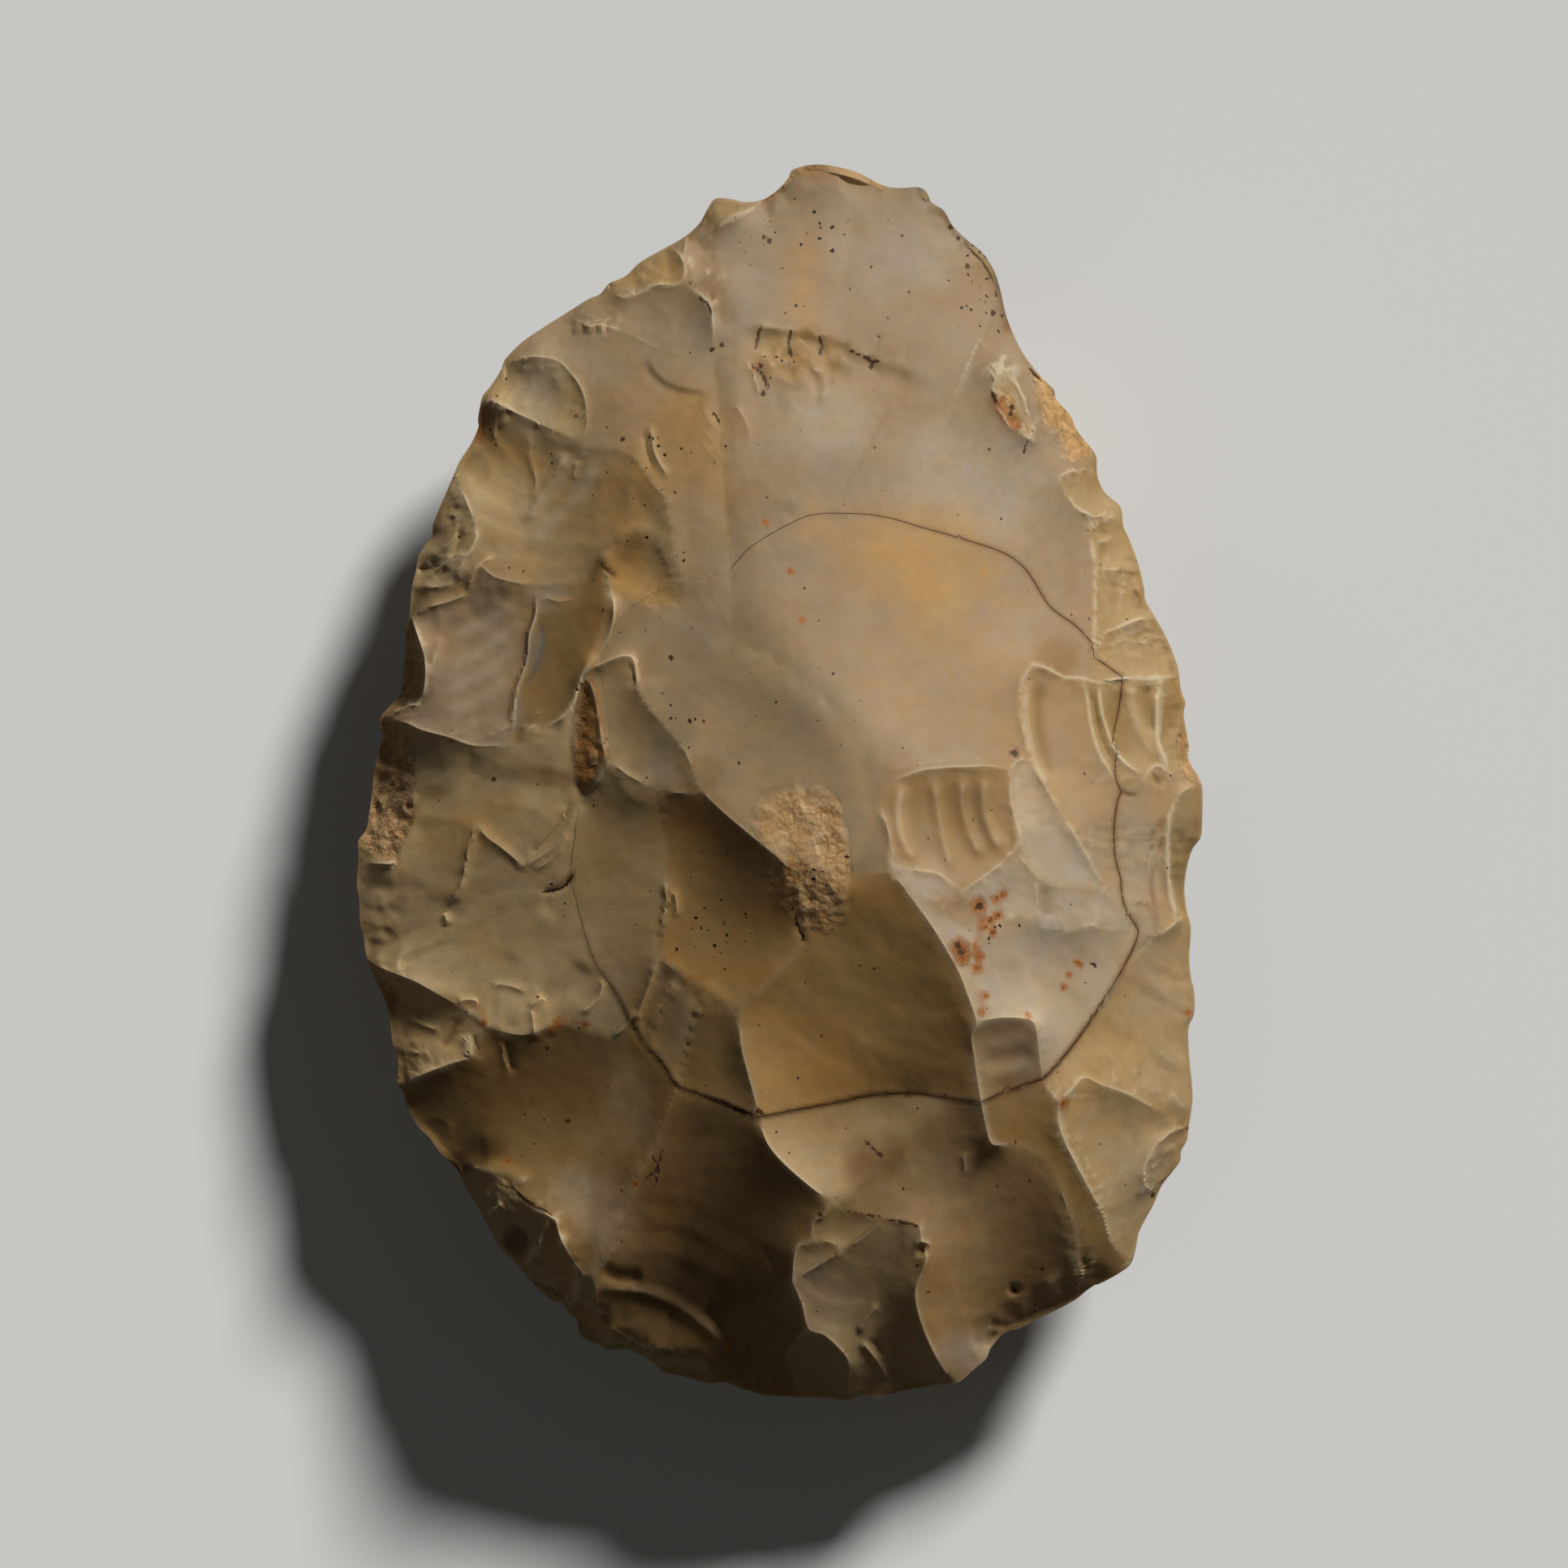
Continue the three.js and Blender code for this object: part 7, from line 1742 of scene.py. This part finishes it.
def stone_finish(name, roughness, ior, depth_mm, grain_mm, grain, pit_mm, bump_mm, vein_mm=0):
    """Patinated flint and what grew in it: the painted tint, mottled and grained, brown in its hollows and
    pale on its ridges, partly as wear and partly as painted highlight.

    Light goes in to the depth and comes out warmer, as it does in flint."""
    material = bpy.data.materials.new(name)
    material.use_nodes = True
    tree = material.node_tree
    shader = tree.nodes["Principled BSDF"]
    shader.inputs["IOR"].default_value = ior
    shader.inputs["Specular IOR Level"].default_value = 0.25
    shader.inputs["Subsurface Weight"].default_value = 0.5 if depth_mm else 0
    shader.inputs["Subsurface Radius"].default_value = (1, 0.6, 0.35)
    shader.inputs["Subsurface Scale"].default_value = depth_mm * MM
    where = add_node(material, "ShaderNodeTexCoord").outputs["Object"]
    painted = {}
    for mark in ("tint", *MARKS):
        found = add_node(material, "ShaderNodeAttribute", {"attribute_name": mark})
        painted[mark] = found.outputs["Color" if mark == "tint" else "Fac"]
    colour = painted["tint"]

    # Clouds of cool grey and honey, and smaller ones inside them: size, where they start, strength, shade
    for size_mm, low, high, most, shade in (
        (13, 0.62, 0.38, 1.0, "#f0f3f8"), (11, 0.42, 0.66, 1.0, "#fff7e6"), (4, 0.4, 0.65, 0.6, "#fff5e2"),
        (1.8, 0.5, 0.7, 0.35, "#f8eed8"),
    ):
        lumps = add_node(material, "ShaderNodeTexNoise", Vector=where, Scale=1000 / size_mm, Detail=5.0,
                         Roughness=0.6)
        share = add_node(material, "ShaderNodeMapRange", Value=lumps.outputs["Fac"], i1=low, i2=high, i3=0.0,
                         i4=most)
        colour = add_node(material, "ShaderNodeMix", {"data_type": "RGBA", "blend_type": "MULTIPLY"},
                          i0=share.outputs[0], i6=colour, i7=rgba(shade)).outputs[2]
    fine = add_node(material, "ShaderNodeTexNoise", Vector=where, Scale=1000 / grain_mm, Detail=6.0,
                    Roughness=0.65).outputs["Fac"]
    shade = add_node(material, "ShaderNodeMapRange", Value=fine, i1=0.3, i2=0.7, i3=1 - grain, i4=1 + grain)
    colour = add_node(material, "ShaderNodeMix", {"data_type": "RGBA", "blend_type": "MULTIPLY"}, i0=1.0,
                      i6=colour, i7=shade.outputs[0]).outputs[2]

    # Brown in the hollows; pale on the ridges, partly wear and partly painted highlight
    for low, high, most, shade in ((0.15, 0.9, 0.5, "#8e6a3c"), (-0.2, -0.8, 0.4, WEAR_AND_HIGHLIGHT)):
        share = add_node(material, "ShaderNodeMapRange", Value=painted["hollow"], i1=low, i2=high, i3=0.0,
                         i4=most)
        colour = add_node(material, "ShaderNodeMix", {"data_type": "RGBA"}, i0=share.outputs[0], i6=colour,
                          i7=rgba(shade)).outputs[2]

    # Brown veins between the crystals
    height = add_node(material, "ShaderNodeTexNoise", Vector=where, Scale=1000 / pit_mm,
                      Detail=5.0).outputs[0]
    wander = add_node(material, "ShaderNodeTexNoise", Vector=where, Scale=1000 / 0.8, Detail=3.0)
    crooked = add_node(material, "ShaderNodeVectorMath", {"operation": "MULTIPLY_ADD"},
                       i0=wander.outputs["Color"], i1=(0.7 * MM,) * 3, i2=where).outputs[0]
    if vein_mm:
        cells = add_node(material, "ShaderNodeTexVoronoi", {"feature": "DISTANCE_TO_EDGE"}, Vector=crooked,
                         Scale=1000 / vein_mm).outputs["Distance"]
        share = add_node(material, "ShaderNodeMapRange", Value=cells, i1=0.0, i2=0.16, i3=0.9, i4=0.0)
        patchy = add_node(material, "ShaderNodeTexNoise", Vector=where, Scale=1000 / 3.0, Detail=3.0)
        some = add_node(material, "ShaderNodeMapRange", Value=patchy.outputs["Fac"], i1=0.42, i2=0.6, i3=0.15,
                        i4=1.0)
        some = add_node(material, "ShaderNodeMath", {"operation": "MULTIPLY"}, i0=some.outputs[0],
                        i1=painted["grown"])
        share = add_node(material, "ShaderNodeMath", {"operation": "MULTIPLY"}, i0=share.outputs[0],
                         i1=some.outputs[0])
        colour = add_node(material, "ShaderNodeMix", {"data_type": "RGBA"}, i0=share.outputs[0], i6=colour,
                          i7=rgba("#a96f2a")).outputs[2]
        height = add_node(material, "ShaderNodeMath", {"operation": "ADD"}, i0=cells, i1=height).outputs[0]
        height = add_node(material, "ShaderNodeMath", {"operation": "MULTIPLY"}, i0=height,
                          i1=painted["grown"]).outputs[0]

    # Small flecks. One sits in each cell and shows where the surface cuts through it.
    for cell_mm, largest, dense, shades in (
        (1.7, 0.14, 0.4, (BROWN, DARK_BROWN)), (0.75, 0.36, 0.0, (DARK_BROWN, "#1c130d")),
    ):
        cell = add_node(material, "ShaderNodeTexVoronoi", Vector=crooked, Scale=1000 / cell_mm)
        chance = add_node(material, "ShaderNodeSeparateColor", Color=cell.outputs["Color"])
        rare = add_node(material, "ShaderNodeMath", {"operation": "SUBTRACT"}, i0=1 - dense,
                        i1=painted["flecked"])
        radius = add_node(material, "ShaderNodeMapRange", Value=chance.outputs[0], i1=rare.outputs[0], i2=1.0,
                          i3=0.0, i4=largest)
        within = add_node(material, "ShaderNodeMath", {"operation": "SUBTRACT"}, i0=radius.outputs[0],
                          i1=cell.outputs["Distance"])
        share = add_node(material, "ShaderNodeMapRange", Value=within.outputs[0], i1=0.0, i2=0.04, i3=0.0,
                         i4=1.0)
        inner = add_node(material, "ShaderNodeMix", {"data_type": "RGBA"}, i0=chance.outputs[1],
                         i6=rgba(shades[0]), i7=rgba(shades[1]))
        colour = add_node(material, "ShaderNodeMix", {"data_type": "RGBA"}, i0=share.outputs[0], i6=colour,
                          i7=inner.outputs[2]).outputs[2]

    # The painted marks, turned crisp and ragged
    torn = add_node(material, "ShaderNodeTexNoise", Vector=where, Scale=1000 / 0.7, Detail=5.0,
                    Roughness=0.7)
    torn = add_node(material, "ShaderNodeMapRange", Value=torn.outputs["Fac"], i1=0.3, i2=0.7, i3=-0.25,
                    i4=0.25)
    for mark, low, high, shades in (
        ("rusty", 0.15, 0.7, (ORANGE, RUST)), ("dark", 0.44, 0.56, ("#5a3c20", DARK_BROWN)),
    ):
        level = add_node(material, "ShaderNodeMath", {"operation": "ADD"}, i0=painted[mark],
                         i1=torn.outputs[0]).outputs[0]
        deep = add_node(material, "ShaderNodeMapRange", Value=level, i1=high, i2=high + 0.3, i3=0.0, i4=1.0)
        inner = add_node(material, "ShaderNodeMix", {"data_type": "RGBA"}, i0=deep.outputs[0],
                         i6=rgba(shades[0]), i7=rgba(shades[1]))
        share = add_node(material, "ShaderNodeMapRange", Value=level, i1=low, i2=high, i3=0.0, i4=0.95)
        colour = add_node(material, "ShaderNodeMix", {"data_type": "RGBA"}, i0=share.outputs[0], i6=colour,
                          i7=inner.outputs[2]).outputs[2]
    tree.links.new(colour, shader.inputs["Base Color"])

    rough = add_node(material, "ShaderNodeMapRange", Value=fine, i1=0.3, i2=0.7, i3=roughness - 0.06,
                     i4=roughness + 0.06)
    tree.links.new(rough.outputs[0], shader.inputs["Roughness"])
    bump = add_node(material, "ShaderNodeBump", Height=height, Distance=bump_mm * MM, Strength=1.0)
    tree.links.new(bump.outputs[0], shader.inputs["Normal"])
    return material


def floor_finish():
    """A matt pale board. The camera sees it paler than the stone does, so it throws little light back."""
    material = bpy.data.materials.new("matt_board")
    material.use_nodes = True
    tree = material.node_tree
    shader = tree.nodes["Principled BSDF"]
    shader.inputs["Roughness"].default_value = 0.9
    shader.inputs["Specular IOR Level"].default_value = 0.1
    seen = add_node(material, "ShaderNodeLightPath").outputs["Is Camera Ray"]
    mixed = add_node(material, "ShaderNodeMix", {"data_type": "RGBA"},
                     i0=seen, i6=rgba("#6a6865"), i7=rgba("#f4f3f0"))
    tree.links.new(mixed.outputs[2], shader.inputs["Base Color"])
    return material


# Roughness, IOR, how far light goes in, grain size and strength, pit size, height of the pits
FINISHES = {
    # Flint whose skin the ground has leached and whitened: waxy, softly mottled, with a low sheen
    "flint": stone_finish("patinated_flint", 0.62, 1.54, 0.7, 1.6, 0.07, 0.35, 0.02),
    # The same flint inside the crack, a little clearer, so light goes deeper and it is a touch glossier
    "lens": stone_finish("honey_flint", 0.6, 1.54, 0.8, 1.8, 0.06, 0.35, 0.02),
    # What is left of the chalk the nodule grew in: porous, so it is matt, rough and freckled brown
    "rind": stone_finish("chalky_rind", 0.85, 1.5, 0, 0.8, 0.45, 0.3, 0.16),
    # Earth and iron washed into a crease, dried: matt and crumbly
    "stain": stone_finish("iron_stained_filling", 0.8, 1.5, 0, 0.6, 0.25, 0.3, 0.1),
    # Quartz grown in a pocket: a sugary crust of small grains with brown veins between them
    "crystal": stone_finish("sugary_quartz", 0.5, 1.54, 0.6, 0.8, 0.12, 0.5, 0.13, 1.2),
    # Pyrite turned to rust: dull, dark red-brown and grainy
    "iron": stone_finish("iron_oxide", 0.6, 1.6, 0, 0.5, 0.4, 0.25, 0.1),
    # A shell turned to silica: darker than the flint and finely grained
    "fossil": stone_finish("silicified_fossil", 0.5, 1.54, 0.5, 0.4, 0.2, 0.25, 0.08),
}

worked_face = shape_worked_face()
stone = Stone(worked_face, shape_reverse_face())

body, body_top = stone.host(0)
stone.bowl(body, body_top, 0, CRACK_GAP)
stone.add_reverse(body, body_top)
add_piece("flint_body", body, FINISHES["flint"])

lens, lens_top = stone.host(1)
stone.bowl(lens, lens_top, 1, 0)
add_piece("cracked_lens", lens, FINISHES["lens"])

for number, name in enumerate(INCLUSIONS, 2):
    kind = INCLUSIONS[name][1]
    add_piece(name, stone.inclusion(number), FINISHES[kind])

# Floor, light and camera

bpy.ops.mesh.primitive_plane_add(size=30, location=(0, 0, 0))
board = bpy.context.active_object
board.name = "board"
board.data.materials.append(floor_finish())


def add_sun(name, direction, strength, spread):
    """A far lamp that shines from a direction. Its spread in degrees softens the shadows."""
    lamp = bpy.data.lights.new(name, "SUN")
    lamp.energy = strength
    lamp.angle = math.radians(spread)
    holder = bpy.data.objects.new(name, lamp)
    holder.rotation_euler = Vector(direction).to_track_quat("Z", "Y").to_euler()
    bpy.context.scene.collection.objects.link(holder)


add_sun("key", (0.467, 0.719, 0.515), 3.6, 12)
add_sun("fill", (-0.6, -0.3, 0.7), 0.07, 60)

world = bpy.data.worlds.new("studio")
bpy.context.scene.world = world
world.use_nodes = True
world.node_tree.nodes["Background"].inputs["Color"].default_value = (1, 0.92, 0.84, 1)
world.node_tree.nodes["Background"].inputs["Strength"].default_value = 0.025

CAMERA_HEIGHT = 3.0         # metres above the cutting edge
SENSOR_MM = 36.0
camera_data = bpy.data.cameras.new("camera")
camera_data.sensor_width = SENSOR_MM
camera_data.lens = SENSOR_MM * CAMERA_HEIGHT / (PHOTO_SIDE * PX * MM)
camera = bpy.data.objects.new("camera", camera_data)
photo_middle = ((PHOTO_SIDE / 2 - MIDDLE_PX[0]) * PX * MM, (MIDDLE_PX[1] - PHOTO_SIDE / 2) * PX * MM)
camera.location = (*photo_middle, CAMERA_HEIGHT + EDGE_LEVEL * MM)
bpy.context.scene.collection.objects.link(camera)
bpy.context.scene.camera = camera
bpy.context.scene.view_settings.view_transform = "Standard"
